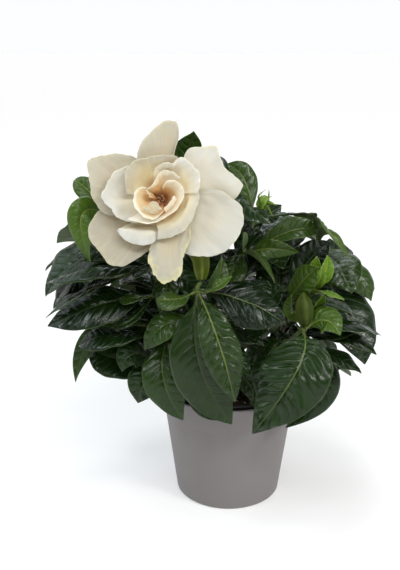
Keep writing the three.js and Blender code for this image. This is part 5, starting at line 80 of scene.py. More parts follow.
# whorl: name, point, stem direction, stem radius, leaves. A leaf is (midrib Bezier,
# half width, normal at base and tip, fold, cup, wave, waves, phase, shape, youth (a lighter young colour, partly
# painted glow standing in for backlight), tone (leaf-to-leaf darkness, partly painted shade on leaves deep in the
# bush), how light its midrib is, depth of the quilting, detail)
WHORLS = [
    ("leaves_a1", [-13.75, -37.38, 135.84], [-0.1337, -0.4639, 0.8758], 2.1, [
        ([-14.96, -39.87, 134.33, -29.32, -53.01, 115.07, -25.73, -58.39, 101.41, -7.07, -61.93, 89.76], 11, [-0.085, -0.793, 0.604], [0.046, -0.933, 0.358], 15, 0.28, 0.05, 2.2, 0, 1, 0, 0.36, 0.27, 1, 1),
        ([-11.16, -39.1, 135.32, 14.43, -41.63, 116.55, 21.4, -44.9, 104.69, 15.39, -52.65, 98.64], 9.12, [0.447, -0.574, 0.686], [0.312, -0.724, 0.616], 20.3, 0.387, 0.05, 2.2, 0, 1, 0, 0.45, 0.34, 1, 1),
        ([-11.94, -35.23, 137.25, -6.11, -31.56, 152.31, 0.1, -27.65, 162.44, 9.57, -21.68, 173.36], 13.1, [-0.881, -0.251, 0.402], [-0.708, -0.142, 0.692], 11.6, 0.281, 0.054, 2.18, 0.8, 0.94, 0.12, 0.42, 0.01, 0.75, 0),
    ]),
    ("leaves_a15", [-17.37, -45.51, 153.71], [-0.2225, -0.4253, 0.8773], 2, [
        ([-19.54, -47.18, 152.36, -35.85, -62.94, 160.48, -40.9, -67.94, 156.51, -40.03, -66.27, 137.12], 10, [0.537, -0.125, 0.834], [-0.231, -0.968, -0.094], 15, 0.28, 0.05, 2.2, 0, 1, 0, 0.28, 0.34, 1, 1),
        ([-15.53, -47.85, 153.05, -5.31, -64.61, 151.12, 1.37, -67.16, 144.46, 14.18, -67.77, 129.57], 11.94, [-0.14, -0.197, 0.97], [0.553, -0.665, 0.503], 12.9, 0.254, 0.05, 2.2, 0, 1, 0, 0.37, 0.32, 1, 1),
        ([-17.67, -42.75, 154.98, -20.78, -29.59, 167.77, -23.83, -16.67, 174.36, -27.79, 0.09, 177.89], 14, [-0.191, -0.707, 0.681], [-0.296, -0.264, 0.918], 17.3, 0.344, 0.086, 2.68, 0.7, 1.02, 0.05, 0.11, 0.31, 0.75, 0),
    ]),
    ("leaves_a2", [-21.58, -54.98, 170.65], [-0.2003, -0.4528, 0.8688], 1.9, [
        ([-24.22, -55.8, 169.61, -44.41, -67.26, 175.19, -55.56, -70.53, 169.38, -64.39, -67.7, 149.56], 12.5, [0.363, -0.197, 0.91], [-0.696, -0.686, 0.212], 14, 0.3, 0.05, 2.2, 0, 1, 0.1, 0.55, 0.12, 1, 1),
        ([-18.77, -55.85, 170.84, 1.66, -53.46, 160.57, 11.25, -53.85, 153.48, 23.7, -61.26, 150.51], 12.51, [0.459, -0.178, 0.871], [0.152, -0.137, 0.979], 24.4, 0.499, 0.05, 2.2, 0, 1, 0, 0.2, 0.26, 1, 1),
        ([-21.36, -52.39, 172.05, -21.07, -29.27, 196.76, -20.69, 1.77, 206.14, -20.31, 33.23, 200.53], 24.4, [0.185, -0.719, 0.67], [0.196, 0.17, 0.966], 18.6, 0.325, 0.093, 2.53, 0.1, 1.04, 0, 0.25, 0.33, 0.75, 0),
    ]),
    ("leaves_a3", [-25.95, -65.58, 194.12], [0.0016, -0.2813, 0.9596], 1.8, [
        ([-24.71, -68.04, 193.39, -13.38, -92.85, 177.46, -5.77, -97.02, 152.66, 1.4, -87.04, 117.09], 14.6, [0.007, -0.538, 0.843], [0.233, -0.947, -0.219], 17, 0.32, 0.14, 1.9, 0.1, 0.92, 0.06, 0.5, 0.95, 1.9, 2),
        ([-25.81, -68.31, 193.32, -32.31, -89.34, 161.89, -24.12, -87.01, 130.88, -0.33, -78.56, 95.21], 22.13, [-0.335, -0.749, 0.571], [0.23, -0.97, -0.076], 12.5, 0.359, 0.05, 2.2, 0, 0.95, 0.05, 0.34, 0.1, 0.4, 2),
        ([-23.17, -66.16, 193.94, 0.99, -72, 194.01, 17.69, -73.29, 186.61, 37.67, -72.26, 171.07], 19.53, [-0.157, -0.64, 0.752], [0.452, -0.715, 0.533], 15.3, 0.478, 0.1, 1.8, 0.3, 1.06, 0, 0, 0.38, 1.25, 2),
        ([-28.08, -67.39, 193.59, -37.89, -81.53, 192.29, -44.85, -82.43, 191.92, -54.57, -74.86, 191.1], 9.2, [0.043, -0.121, 0.992], [-0.527, -0.613, 0.588], 10, 0.3, 0.03, 2.2, 0, 1.15, 0.24, 0.05, 0.5, 0.6, 1),
        ([-23.1, -65.67, 194.08, -9.95, -71.55, 197.74, -8.79, -69.73, 206.18, -8.49, -60.58, 219.26], 6.59, [-0.457, -0.842, 0.288], [0.698, -0.594, 0.4], 26.2, 0.112, 0.05, 2.2, 0, 1, 0.2, 0.15, 0.08, 1, 1),
        ([-23.71, -67.26, 193.62, -17.15, -78.71, 196.6, -11.66, -79.46, 201.76, -1.33, -73.95, 207.79], 5.2, [-0.176, 0.152, 0.972], [-0.002, -0.736, 0.677], 20, 0.1, 0.05, 2.2, 0, 1, 0.3, 0.54, 0.31, 1, 1),
    ]),
    ("leaves_b1", [-42.9, -22.94, 121.51], [-0.3891, -0.3921, 0.8336], 1.92, [
        ([-45.6, -22.88, 120.28, -79.36, -34.41, 123.87, -96.97, -34.96, 130.46, -111.53, -24.2, 134.1], 18.15, [0.272, -0.55, 0.79], [-0.322, -0.664, 0.675], 14.4, 0.212, 0.05, 2.2, 0, 1, 0, 0.4, 0.35, 1, 1),
        ([-44.87, -24.46, 119.88, -70.42, -47.54, 141.68, -80.53, -56.42, 146.32, -82.44, -56.69, 127.8], 10.94, [0.714, -0.144, 0.685], [-0.391, -0.919, 0.054], 12.7, 0.349, 0.05, 2.2, 0, 1, 0, 0.55, 0.2, 1, 1),
        ([-44.18, -25.09, 119.9, -59.97, -49.99, 126.53, -67.87, -58.56, 121.78, -71.1, -56.21, 101.61], 15.5, [0.429, -0.032, 0.903], [-0.336, -0.94, -0.055], 15, 0.28, 0.05, 2.2, 0, 1, 0, 0.6, 0.45, 1, 1),
        ([-43.99, -20.28, 122.25, -52.11, 6.78, 124.77, -58.63, 28.53, 118.58, -65.08, 50.02, 103.95], 18.9, [-0.018, -0.098, 0.995], [-0.2, 0.509, 0.837], 10.5, 0.275, 0.048, 2.13, 0.4, 0.93, 0.05, 0.4, 0.11, 0.75, 0),
        ([-45.09, -20.94, 121.42, -65.26, -2.72, 120.86, -80.84, 11.36, 112.42, -95.43, 24.54, 95.92], 19.1, [0.123, 0.167, 0.978], [-0.328, 0.575, 0.75], 12.9, 0.262, 0.061, 2.03, 0.2, 0.96, 0, 0.23, 0.34, 0.75, 0),
    ]),
    ("leaves_b2", [-45.27, -37.11, 153.83], [-0.1867, -0.2764, 0.9427], 1.74, [
        ([-45.98, -39.66, 152.95, -56.77, -67.4, 141.24, -53.05, -72.81, 121.24, -36.71, -62.72, 90.58], 16.5, [-0.209, -0.31, 0.927], [0.137, -0.96, -0.243], 13, 0.32, 0.08, 1.9, 0, 0.95, 0.05, 0.8, 0.42, 0.6, 2),
        ([-47.87, -37.82, 153.11, -81.31, -54.33, 159.36, -101.52, -56.83, 157.2, -115.51, -47.23, 144.67], 14.5, [0.261, -0.17, 0.95], [-0.745, -0.328, 0.581], 12, 0.35, 0.05, 2.2, 0, 1, 0, 0.15, 0.08, 0.7, 1),
        ([-48.01, -36.87, 153.36, -94.97, -30.74, 162.14, -116.58, -33.08, 149.19, -120.2, -43.24, 113.25], 9.5, [0.035, -0.722, 0.691], [-0.375, -0.881, 0.287], 16, 0.1, 0.05, 2.2, 0, 1, 0.12, 0.35, 0.25, 1, 1),
        ([-47.5, -35.43, 153.89, -70.89, -25.02, 170.64, -98.38, -12.78, 171.45, -121.93, -2.29, 158.37], 21.4, [0.423, -0.376, 0.824], [-0.477, 0.024, 0.879], 15.3, 0.249, 0.075, 1.93, 0, 0.99, 0, 0.08, 0.29, 0.75, 0),
        ([-43.01, -35.72, 154.69, -34.56, -32.47, 170.25, -25.75, -29.09, 180.3, -12.85, -24.14, 190.19], 11.5, [-0.408, -0.824, 0.394], [-0.202, -0.744, 0.636], 11.6, 0.281, 0.054, 2.18, 0.8, 0.94, 0, 0.29, 0.07, 0.75, 0),
        ([-45.85, -34.46, 154.5, -50.16, -31.46, 170.2, -61.41, -23.61, 180.49, -74.17, -14.7, 182.02], 13.1, [0.319, -0.911, 0.262], [-0.257, -0.509, 0.821], 18.2, 0.294, 0.091, 2.28, 0, 1.03, 0, 0.29, 0.02, 0.75, 0),
    ]),
    ("leaves_b3", [-56.87, -40.7, 183.15], [-0.0734, 0.1111, 0.9911], 1.56, [
        ([-59.35, -41.51, 183.06, -84.05, -55.14, 185.64, -107.87, -57.73, 178.78, -137.49, -51.44, 162.22], 18.25, [0.321, -0.421, 0.848], [-0.482, -0.607, 0.632], 12.4, 0.328, 0.06, 2.2, 0, 1, 0, 0.1, 0.1, 0.8, 2),
        ([-58.66, -42.59, 183.23, -69.33, -62.63, 173.31, -77.63, -65.97, 166.79, -88.72, -58.08, 163.93], 5.6, [-0.151, -0.373, 0.915], [-0.486, -0.4, 0.777], 18, 0.28, 0.05, 2.2, 0, 1, 0, 0.15, 0.3, 1, 1),
        ([-58.25, -42.91, 183.3, -65.52, -62, 188.92, -72.46, -64.66, 188.96, -83.04, -57.22, 183.83], 9.5, [-0.002, 0.283, 0.959], [-0.597, -0.351, 0.721], 15, 0.28, 0.05, 2.2, 0, 1, 0.12, 0.06, 0.28, 1, 1),
        ([-54.5, -41.74, 183.44, -40.53, -47.77, 186.76, -35.15, -50.61, 181.82, -31.23, -53.41, 169.52], 9.06, [-0.352, -0.335, 0.874], [0.537, -0.769, 0.346], 17.3, 0.279, 0.05, 2.2, 0, 1, 0, 0.23, 0.21, 1, 1),
        ([-57.76, -38.27, 182.81, -65.7, -17.79, 193.29, -74.67, 5.34, 189.4, -81.04, 21.75, 174.62], 18, [-0.018, -0.461, 0.887], [-0.4, 0.523, 0.753], 11.4, 0.224, 0.053, 1.73, 0.7, 0.94, 0, 0.05, 0.25, 0.75, 0),
        ([-57.62, -38.22, 182.82, -61.47, -27.29, 194.65, -67.22, -10.97, 197.59, -72, 2.62, 191.51], 12.4, [0.021, -0.731, 0.682], [-0.337, 0.284, 0.898], 14.9, 0.357, 0.072, 2.78, 0.9, 0.99, 0, 0.36, 0.04, 0.75, 0),
    ]),
    ("leaves_b4", [-53.81, -36.16, 201.39], [0.2572, 0.3011, 0.9183], 1.38, [
        ([-55.84, -37.15, 202.29, -80.74, -63.47, 215.73, -108.44, -64.96, 212.4, -138.96, -41.63, 192.3], 14.77, [0.312, 0.182, 0.933], [-0.481, 0.119, 0.869], 3, 0.537, 0.05, 2.2, 0, 1, 0, 0.17, 0.3, 1, 1),
        ([-56.03, -36.74, 202.21, -82.34, -50.8, 204.84, -107.02, -56.44, 193.3, -137.74, -55.66, 170.38], 9.96, [0.024, 0.141, 0.99], [-0.594, -0.141, 0.792], 14.5, 0.274, 0.05, 2.2, 0, 1, 0, 0.28, 0.18, 1, 1),
        ([-54.69, -38.23, 202.32, -56.46, -57.3, 209.52, -64.13, -58.89, 205.99, -79.14, -46.42, 193.27], 7.13, [-0.333, 0.36, 0.872], [-0.589, 0.107, 0.801], 15.4, 0.317, 0.05, 2.2, 0, 1, 0, 0.5, 0.09, 1, 1),
        ([-52.62, -38.25, 201.75, -46.12, -51.39, 200.04, -47.41, -57.99, 191.45, -52.8, -64.52, 177.06], 10, [-0.062, -0.159, 0.985], [-0.223, -0.854, 0.471], 15, 0.28, 0.05, 2.2, 0, 1, 0.05, 0.28, 0.21, 1, 1),
        ([-56.16, -36.07, 202.02, -81.27, -32.67, 219.73, -102.53, -32.35, 220.64, -127.43, -34.82, 206.77], 13.51, [0.408, -0.594, 0.693], [-0.428, -0.355, 0.831], 18, 0.413, 0.05, 2.2, 0, 1, 0, 0.44, 0.13, 1, 1),
        ([-56.09, -35.42, 201.79, -67.43, -29.34, 207.22, -73.92, -28.47, 207.62, -83.96, -30.05, 204.43], 9.09, [0.006, -0.66, 0.751], [-0.1, -0.731, 0.675], 13.2, 0.227, 0.05, 2.2, 0, 1, 0, 0.2, 0.16, 1, 1),
        ([-51.63, -37.19, 201.12, -36.5, -43.87, 200.25, -24.37, -49.22, 191.78, -17, -52.47, 178.38], 12.1, [-0.103, -0.354, 0.93], [0.583, -0.656, 0.48], 11.6, 0.281, 0.054, 2.18, 0.8, 0.94, 0, 0.54, 0.12, 0.75, 0),
    ]),
    ("leaves_c1", [25.07, -28.05, 125.33], [0.4324, -0.5002, 0.7502], 2.03, [
        ([27.66, -26.45, 124.9, 57.98, -11.46, 123.96, 81.16, -0.01, 114.19, 103.92, 11.24, 94.78], 23.1, [-0.029, 0.122, 0.992], [0.486, 0.376, 0.788], 10.5, 0.275, 0.048, 2.13, 0.4, 0.93, 0, 0.36, 0.12, 0.75, 0),
        ([27.84, -27.41, 124.15, 48.16, -24.09, 117.62, 62, -21.82, 103.79, 69.34, -20.62, 84.8], 16.6, [0.317, -0.08, 0.945], [0.932, 0.02, 0.362], 16.2, 0.338, 0.08, 2.63, 0.3, 1, 0.12, 0.51, 0.03, 0.75, 0),
    ]),
    ("leaves_c2", [42.8, -40.96, 144.67], [0.552, -0.4859, 0.6776], 1.85, [
        ([41.33, -43.4, 144.11, 29.25, -53.9, 142.45, 22.51, -56.05, 130.8, 18.76, -53.74, 108.28], 9.29, [-0.096, -0.047, 0.994], [-0.444, -0.896, -0.018], 17.4, 0.148, 0.05, 2.2, 0, 1, 0, 0.39, 0.11, 1, 1),
        ([44.67, -41.73, 142.59, 79.73, -51.49, 131.52, 77.97, -56.85, 112.27, 41.82, -58.85, 82.1], 14.71, [0.037, -0.688, 0.725], [-0.168, -0.95, 0.264], 17, 0.48, 0.05, 2.2, 0, 1, 0, 0.45, 0.23, 1, 1),
        ([44.82, -38.89, 144.49, 67.83, -31.68, 153.76, 88.7, -22.78, 152.59, 108.32, -12.25, 142.62], 16.76, [-0.274, -0.301, 0.914], [0.449, 0.009, 0.893], 20.6, 0.286, 0.083, 2.22, 0.5, 1.01, 0, 0.41, 0.36, 0.75, 0),
        ([44.98, -41.13, 142.76, 64.69, -49.82, 144.35, 80.26, -56.69, 139.89, 96.23, -63.73, 129.32], 16.4, [-0.054, 0.058, 0.997], [0.486, -0.18, 0.855], 15.3, 0.249, 0.075, 1.93, 0, 0.99, 0, 0.13, 0.03, 0.75, 0),
        ([40.49, -41.13, 146.42, 25.97, -34.66, 141.8, 15.89, -30.17, 132.67, 8.81, -27.02, 119.08], 12.1, [-0.418, -0.336, 0.844], [-0.891, -0.125, 0.435], 15.8, 0.307, 0.077, 2.38, 0.2, 1, 0.05, 0.35, 0.01, 0.75, 0),
    ]),
    ("leaves_c3", [52.96, -52.87, 160.44], [0.4384, -0.537, 0.7207], 1.68, [
        ([52.47, -55.15, 159.04, 55.91, -86.17, 157.42, 43.88, -92.1, 134.98, 15.06, -79.24, 87.85], 26.5, [0.241, -0.024, 0.97], [-0.362, -0.932, -0.033], 13, 0.34, 0.085, 2.6, 0.2, 0.92, 0, 0.6, 0.72, 1.6, 2),
        ([55.29, -51.52, 160.03, 67.78, -49.76, 170.6, 71.95, -55.53, 170.88, 79.29, -62.17, 158.84], 11.83, [-0.238, -0.873, 0.427], [0.302, -0.745, 0.595], 16.2, 0.341, 0.05, 2.2, 0, 1, 0.4, 0.18, 0.23, 1, 1),
        ([52.06, -51.1, 162.31, 45.53, -35.99, 167.3, 44.9, -38.28, 170.81, 44.23, -46.3, 185.17], 6.3, [-0.647, -0.476, 0.595], [-0.854, -0.436, -0.283], 24.8, -0.26, 0.05, 2.2, 0, 1, 0.55, 0.12, 0.35, 1, 1),
        ([53.86, -50.57, 161.6, 60.85, -34.11, 167.79, 63.66, -40.73, 175.64, 66.42, -60, 190.44], 6.88, [0.446, -0.474, 0.759], [0.379, -0.529, -0.759], 22.5, 0.03, 0.05, 2.2, 0, 1, 0.6, 0.37, 0.29, 1, 1),
        ([55.22, -51.37, 160.18, 78.33, -43.55, 164.48, 97.95, -36.91, 159.75, 116.53, -30.62, 147.01], 17.2, [-0.161, -0.067, 0.985], [0.52, 0.163, 0.839], 10.5, 0.275, 0.048, 2.13, 0.4, 0.93, 0, 0.22, 0.05, 0.75, 0),
    ]),
    ("leaves_g1", [40.47, -11.03, 139.94], [0.3018, -0.3177, 0.8989], 1.8, [
        ([38.33, -12.92, 139.99, 26.29, -37.61, 163.08, 18.97, -45.84, 165.04, 11.88, -41.56, 145.98], 11.29, [0.486, 0.459, 0.744], [-0.67, -0.738, 0.083], 17.9, 0.255, 0.05, 2.2, 0, 1, 0, 0.42, 0.34, 1, 1),
        ([40.51, -13.72, 138.98, 45.26, -28.95, 150.43, 45.41, -30.34, 148.87, 41, -19.85, 133.61], 11.08, [-0.243, 0.533, 0.81], [-0.61, -0.724, -0.321], 14.6, 0.162, 0.05, 2.2, 0, 1, 0, 0.37, 0.28, 1, 1),
        ([39.3, -8.73, 141.15, 47.73, -8.69, 175.78, 48.85, -14.25, 189.7, 39.93, -20.07, 185.74], 10.48, [0.027, -1, -0.005], [0.267, -0.788, 0.555], 16, 0.277, 0.05, 2.2, 0, 1, 0, 0.1, 0.16, 1, 1),
        ([43.13, -11.31, 138.95, 66.87, -19.75, 151.2, 92.32, -29.71, 148.59, 112.59, -38.37, 133.94], 17.55, [-0.412, 0.146, 0.899], [0.509, -0.218, 0.833], 12.5, 0.223, 0.051, 1.72, 0.6, 0.94, 0.05, 0.12, 0.11, 0.75, 0),
        ([41.57, -8.46, 140.48, 52.99, 11.32, 151.13, 63.96, 30.31, 151.55, 75.14, 49.68, 143.41], 17, [-0.211, -0.366, 0.906], [0.171, 0.296, 0.94], 14.5, 0.299, 0.07, 2.32, 0.7, 0.98, 0.12, 0.28, 0.31, 0.75, 0),
        ([39.7, -8.54, 141.08, 40.41, 2.74, 167.84, 41.52, 20.42, 185.25, 43.08, 45.32, 196.67], 21.84, [0.27, -0.89, 0.368], [0.3, -0.413, 0.86], 15.3, 0.249, 0.075, 1.93, 0, 0.99, 0.05, 0.54, 0.35, 0.75, 0),
        ([38.63, -9.25, 141.19, 22.46, 6.76, 139.04, 9.57, 19.51, 123.84, 4.63, 24.4, 103.4], 15.2, [0.173, 0.301, 0.938], [-0.398, 0.866, 0.304], 18.2, 0.294, 0.091, 2.28, 0, 1.03, 0, 0.39, 0.17, 0.75, 0),
    ]),
    ("leaves_g2", [45.86, -31.56, 175.41], [0.5816, -0.4344, 0.6878], 1.6, [
        ([43.71, -32.61, 176.56, 47.52, -40, 188.23, 54.19, -47.56, 198.87, 61.57, -56.34, 209.65], 11.26, [-0.807, -0.582, -0.105], [-0.687, -0.717, -0.114], 16.9, 0.433, 0.08, 2.2, 0, 1.02, 0.34, 0.2, 0.15, 1, 1),
        ([45.54, -29.46, 177, 52.34, -24.5, 201.03, 62.51, -27.29, 212.7, 74.33, -26.34, 220.72], 12.75, [-0.149, -0.959, 0.24], [-0.185, -0.907, 0.379], 8.8, 0.211, 0.05, 2.2, 0, 1, 0, 0.12, 0.14, 1, 1),
        ([47.94, -30.19, 174.52, 69.69, -25.45, 176.17, 88.04, -21.66, 168.42, 102.37, -18.91, 153.2], 15.57, [-0.041, -0.156, 0.987], [0.729, -0.006, 0.685], 18.4, 0.236, 0.088, 1.82, 0.8, 1.02, 0, 0.54, 0.23, 0.75, 0),
    ]),
    ("leaves_g3", [62.31, -37.18, 184.41], [0.9269, -0.1812, 0.3288], 1.4, [
        ([61.45, -37.46, 186.68, 60.13, -39.92, 199.59, 62.01, -40.68, 204.55, 62.63, -41.24, 213.32], 5.43, [-0.19, -0.961, -0.202], [-0.107, -0.993, -0.056], 24.8, -0.032, 0.05, 2.2, 0, 1, 1, 0.3, 0.12, 1, 1),
        ([61.4, -38.03, 186.51, 67.56, -45.65, 197.02, 71.38, -45.97, 204.19, 70.05, -41.58, 214.46], 5.8, [-0.106, -0.833, -0.542], [0.173, -0.898, 0.406], 24, 0, 0.05, 2.2, 0, 1, 1, 0.09, 0.1, 1, 1),
        ([61.84, -39.58, 184.42, 63.74, -51.47, 189.97, 71.62, -50.84, 188.57, 84.13, -44.57, 180.26], 7.09, [0.122, 0.436, 0.892], [0.626, -0.286, 0.726], 23.8, 0.389, 0.05, 2.2, 0, 1, 0.8, 0.44, 0.31, 1, 1),
        ([61.42, -38.79, 186.02, 63.42, -48.23, 193.71, 65.58, -51.06, 199.79, 65.57, -51.54, 208.5], 4.48, [-0.751, -0.505, -0.425], [-0.038, -0.998, -0.055], 14.7, 0.073, 0.05, 2.2, 0, 1, 0.95, 0.23, 0.28, 1, 1),
    ]),
    ("leaves_d1", [5.03, -9.4, 152.13], [-0.0346, -0.1138, 0.9929], 1.92, [
        ([7.73, -10.64, 152.08, 21.17, -21.04, 168.28, 30.83, -24.78, 178.37, 41.38, -24.01, 182.29], 12.93, [-0.817, -0.382, 0.433], [-0.156, -0.801, 0.578], 15.6, 0.239, 0.05, 2.2, 0, 1, 0, 0.44, 0.25, 1, 1),
        ([6.03, -6.62, 152.48, 13.09, 12.77, 166.94, 20.12, 32.09, 171.95, 28.23, 54.37, 169.88], 18, [-0.196, -0.539, 0.819], [0.03, 0.082, 0.996], 12.7, 0.26, 0.06, 2.02, 0.1, 0.96, 0, 0.38, 0.13, 0.75, 0),
    ]),
    ("leaves_d15", [7.58, -13.63, 182.74], [0.0785, -0.1721, 0.9819], 1.74, [
        ([8.78, -16.1, 182.21, 14.4, -31.4, 194.09, 19.91, -39, 193.03, 28.55, -45.52, 177.63], 12, [-0.2, 0.554, 0.808], [0.335, -0.785, 0.52], 15, 0.28, 0.05, 2.2, 0, 1, 0, 0.4, 0.1, 1, 1),
        ([9.29, -11.45, 182.98, 21.03, -3.05, 207.99, 43.96, 13.37, 220.37, 65.84, 29.04, 216.01], 18.8, [-0.579, -0.651, 0.491], [0.24, -0.065, 0.969], 14.7, 0.301, 0.071, 2.34, 0.8, 0.98, 0, 0.29, 0.34, 0.75, 0),
        ([7.13, -10.93, 183.25, 4.29, 9.05, 195.86, 1.43, 29.16, 198.95, -1.67, 50.93, 194.32], 15.7, [0.063, -0.526, 0.848], [-0.041, 0.202, 0.978], 10.1, 0.243, 0.045, 1.88, 0.3, 0.92, 0, 0.22, 0.21, 0.75, 0),
    ]),
    ("leaves_d2", [9.22, -18.66, 210.77], [0.2011, -0.0461, 0.9785], 1.56, [
        ([10.04, -21.12, 210.49, 14.73, -42.48, 217.82, 20.98, -50.55, 213.31, 31.15, -52.41, 196.13], 6.8, [0.255, 0.364, 0.896], [0.803, -0.31, 0.509], 25, 0, 0.05, 2.2, 0, 1, 0.2, 0.06, 0.2, 1, 1),
        ([11.23, -20.26, 210.29, 20.57, -33.14, 217.5, 31.03, -34.56, 219.27, 50.85, -31.12, 213.58], 7.6, [-0.721, -0.143, 0.678], [0.064, -0.937, -0.343], 18.6, 0.212, 0.05, 2.2, 0, 1, 0.22, 0.18, 0.24, 1, 1),
        ([11.77, -18.82, 210.24, 39.86, -23.59, 229.18, 55.62, -22.69, 234.39, 66.17, -16.56, 224.4], 10.78, [-0.522, -0.577, 0.628], [0.717, -0.56, 0.415], 28.8, 0.14, 0.05, 2.2, 0, 1, 0.16, 0.28, 0.29, 1, 1),
        ([8.45, -21.15, 210.82, 2.97, -35.82, 208.1, -0.65, -43.15, 200.89, -4.62, -50.31, 189.32], 11, [0.097, -0.216, 0.972], [-0.137, -0.821, 0.555], 15, 0.28, 0.05, 2.2, 0, 1, 0.08, 0.37, 0.29, 1, 1),
        ([8.25, -21.08, 210.86, 8.38, -30.09, 222.09, 8.54, -31.25, 230.77, 5.91, -31.51, 237.13], 9, [0.188, -0.765, -0.616], [0.209, -0.977, 0.046], 15, 0.28, 0.05, 2.2, 0, 1, 0, 0.22, 0.23, 1, 1),
        ([8.68, -21.21, 210.77, 7.65, -47.48, 228.2, 6.3, -50.77, 228.8, 3.91, -34.49, 212.56], 8.59, [-0.276, 0.539, 0.796], [-0.709, -0.548, -0.445], 9.3, 0.064, 0.05, 2.2, 0, 1, 0, 0.42, 0.3, 1, 1),
        ([8.81, -16.09, 210.98, 11.1, -11.55, 226.74, 17.52, 1.16, 237.09, 24.56, 15.1, 237.99], 10.4, [-0.165, -0.941, 0.295], [0.223, -0.174, 0.959], 16.7, 0.256, 0.082, 1.98, 0.5, 1.01, 0, 0.23, 0.31, 0.75, 0),
    ]),
    ("leaves_d3", [18.78, -16.46, 238.47], [0.3653, 0.0958, 0.9259], 1.38, [
        ([18.04, -18.72, 239, 9.37, -34.49, 250.35, 13.31, -38.86, 249.22, 27.57, -38.8, 237.24], 13, [0.877, -0.155, 0.455], [0.489, -0.653, 0.578], 12, 0.4, 0.05, 2.2, 0, 1, 0, 0.4, 0.35, 0.5, 1),
        ([16.98, -14.93, 239.02, 14.3, -1.69, 258.21, 10.26, 2.02, 269.54, -2.79, 2.76, 275.38], 11.3, [0.408, -0.724, 0.556], [0.028, -0.982, 0.186], 14.5, 0.359, 0.05, 2.2, 0, 1.1, 0.18, 0.5, 0.19, 1, 1),
        ([20.97, -15.92, 237.55, 49.39, -10.15, 239.25, 58.42, -6.49, 239.15, 64.24, -0.9, 230.45], 12.66, [-0.055, -0.022, 0.998], [0.391, 0.633, 0.668], 9.4, 0.091, 0.05, 2.2, 0, 1, 0.05, 0.31, 0.06, 1, 1),
        ([19.84, -14.37, 237.83, 24.66, -1.48, 233.54, 31.6, 6.64, 234.87, 40.68, 9.99, 241.84], 8.71, [0.755, -0.064, 0.653], [0.276, -0.956, 0.1], 25.5, 0.237, 0.05, 2.2, 0, 1, 0, 0.47, 0.34, 1, 1),
        ([16.54, -16.7, 239.38, -4.03, -18.5, 253.63, -28.31, -20.62, 255.16, -49.84, -22.5, 245.44], 18.2, [0.569, -0.207, 0.796], [-0.373, -0.289, 0.882], 16.2, 0.338, 0.08, 2.63, 0.3, 1, 0, 0.29, 0.26, 0.75, 0),
        ([16.88, -17.69, 239.35, -2.76, -29.62, 243.36, -21.58, -41.07, 233.03, -31.89, -47.33, 214.59], 16.6, [0.196, 0.007, 0.981], [-0.662, -0.515, 0.545], 11.4, 0.224, 0.053, 1.73, 0.7, 0.94, 0, 0.42, 0.22, 0.75, 0),
    ]),
    ("leaves_e1", [-30.29, 0.05, 155.66], [-0.3703, 0.0476, 0.9277], 1.92, [
        ([-32.79, -1.25, 154.73, -51.41, -7.44, 163.15, -72.61, -13.23, 158.41, -86.76, -16.14, 144.34], 18.9, [0.472, -0.28, 0.836], [-0.538, -0.534, 0.652], 17.9, 0.273, 0.046, 2.12, 0.3, 0.92, 0.12, 0.52, 0.24, 0.75, 0),
        ([-32.95, 0.79, 154.56, -48.61, 4.64, 158.31, -60.3, 7.51, 159.75, -75.49, 11.24, 160.13], 10.7, [0.034, -0.624, 0.781], [-0.124, -0.585, 0.802], 11.6, 0.281, 0.054, 2.18, 0.8, 0.94, 0.12, 0.26, 0.2, 0.75, 0),
    ]),
    ("leaves_e15", [-46.15, -1.01, 186.39], [-0.5227, -0.0999, 0.8467], 1.74, [
        ([-48.12, 0.68, 185.37, -68.71, 14.93, 181.72, -84.13, 25.61, 169.14, -94.97, 33.12, 149.21], 18.9, [0.014, 0.268, 0.963], [-0.537, 0.65, 0.537], 16.2, 0.338, 0.08, 2.63, 0.3, 1, 0, 0.48, 0.26, 0.75, 0),
        ([-43.82, -1.72, 187.75, -27.54, -4.68, 188.36, -14.23, -7.1, 182.54, -3.48, -9.06, 171.35], 13.1, [0.067, 0.541, 0.838], [0.688, 0.429, 0.586], 14.9, 0.357, 0.072, 2.78, 0.9, 0.99, 0, 0.06, 0.21, 0.75, 0),
    ]),
    ("leaves_e2", [-62.83, -6.23, 217.21], [-0.0372, -0.1912, 0.9808], 1.56, [
        ([-65.39, -6.7, 217.02, -94.35, -21.83, 238.33, -113.12, -21.37, 245.54, -126.08, -6.11, 238.31], 13.81, [0.577, -0.784, 0.227], [-0.792, -0.573, 0.21], 13.4, 0.187, 0.05, 2.2, 0, 1, 0, 0.36, 0.07, 1, 1),
        ([-65.05, -7.57, 216.86, -108.13, -36.97, 260.61, -119.53, -48.82, 257.97, -103.8, -45.88, 208.23], 11.63, [0.761, -0.191, 0.62], [-0.402, -0.898, -0.18], 17.9, 0.408, 0.05, 2.2, 0, 1.1, 0.52, 0.43, 0.5, 1, 1),
        ([-65.38, -5.67, 217.22, -100.75, -5.43, 247.73, -116.79, -3.58, 262.97, -120.82, 1.49, 262.99], 10, [0.312, -0.876, 0.369], [-0.446, -0.358, 0.821], 15, 0.28, 0.05, 2.2, 0, 1, 0.3, 0.41, 0.36, 1, 1),
        ([-65.43, -6.45, 217.07, -93.65, -12.6, 237.99, -105.86, -15.16, 242.54, -109.53, -14.77, 230.31], 10, [0.433, -0.835, 0.339], [-0.529, -0.838, 0.132], 15, 0.28, 0.05, 2.2, 0, 1, 0, 0.54, 0.06, 1, 1),
        ([-65.41, -6.59, 217.04, -98.81, -11.88, 218.34, -127.41, -16.41, 202.08, -144.33, -19.09, 175.09], 26.1, [0.083, -0.29, 0.954], [-0.749, -0.421, 0.511], 17.8, 0.236, 0.088, 1.82, 0.8, 1.02, 0, 0.5, 0.11, 0.75, 0),
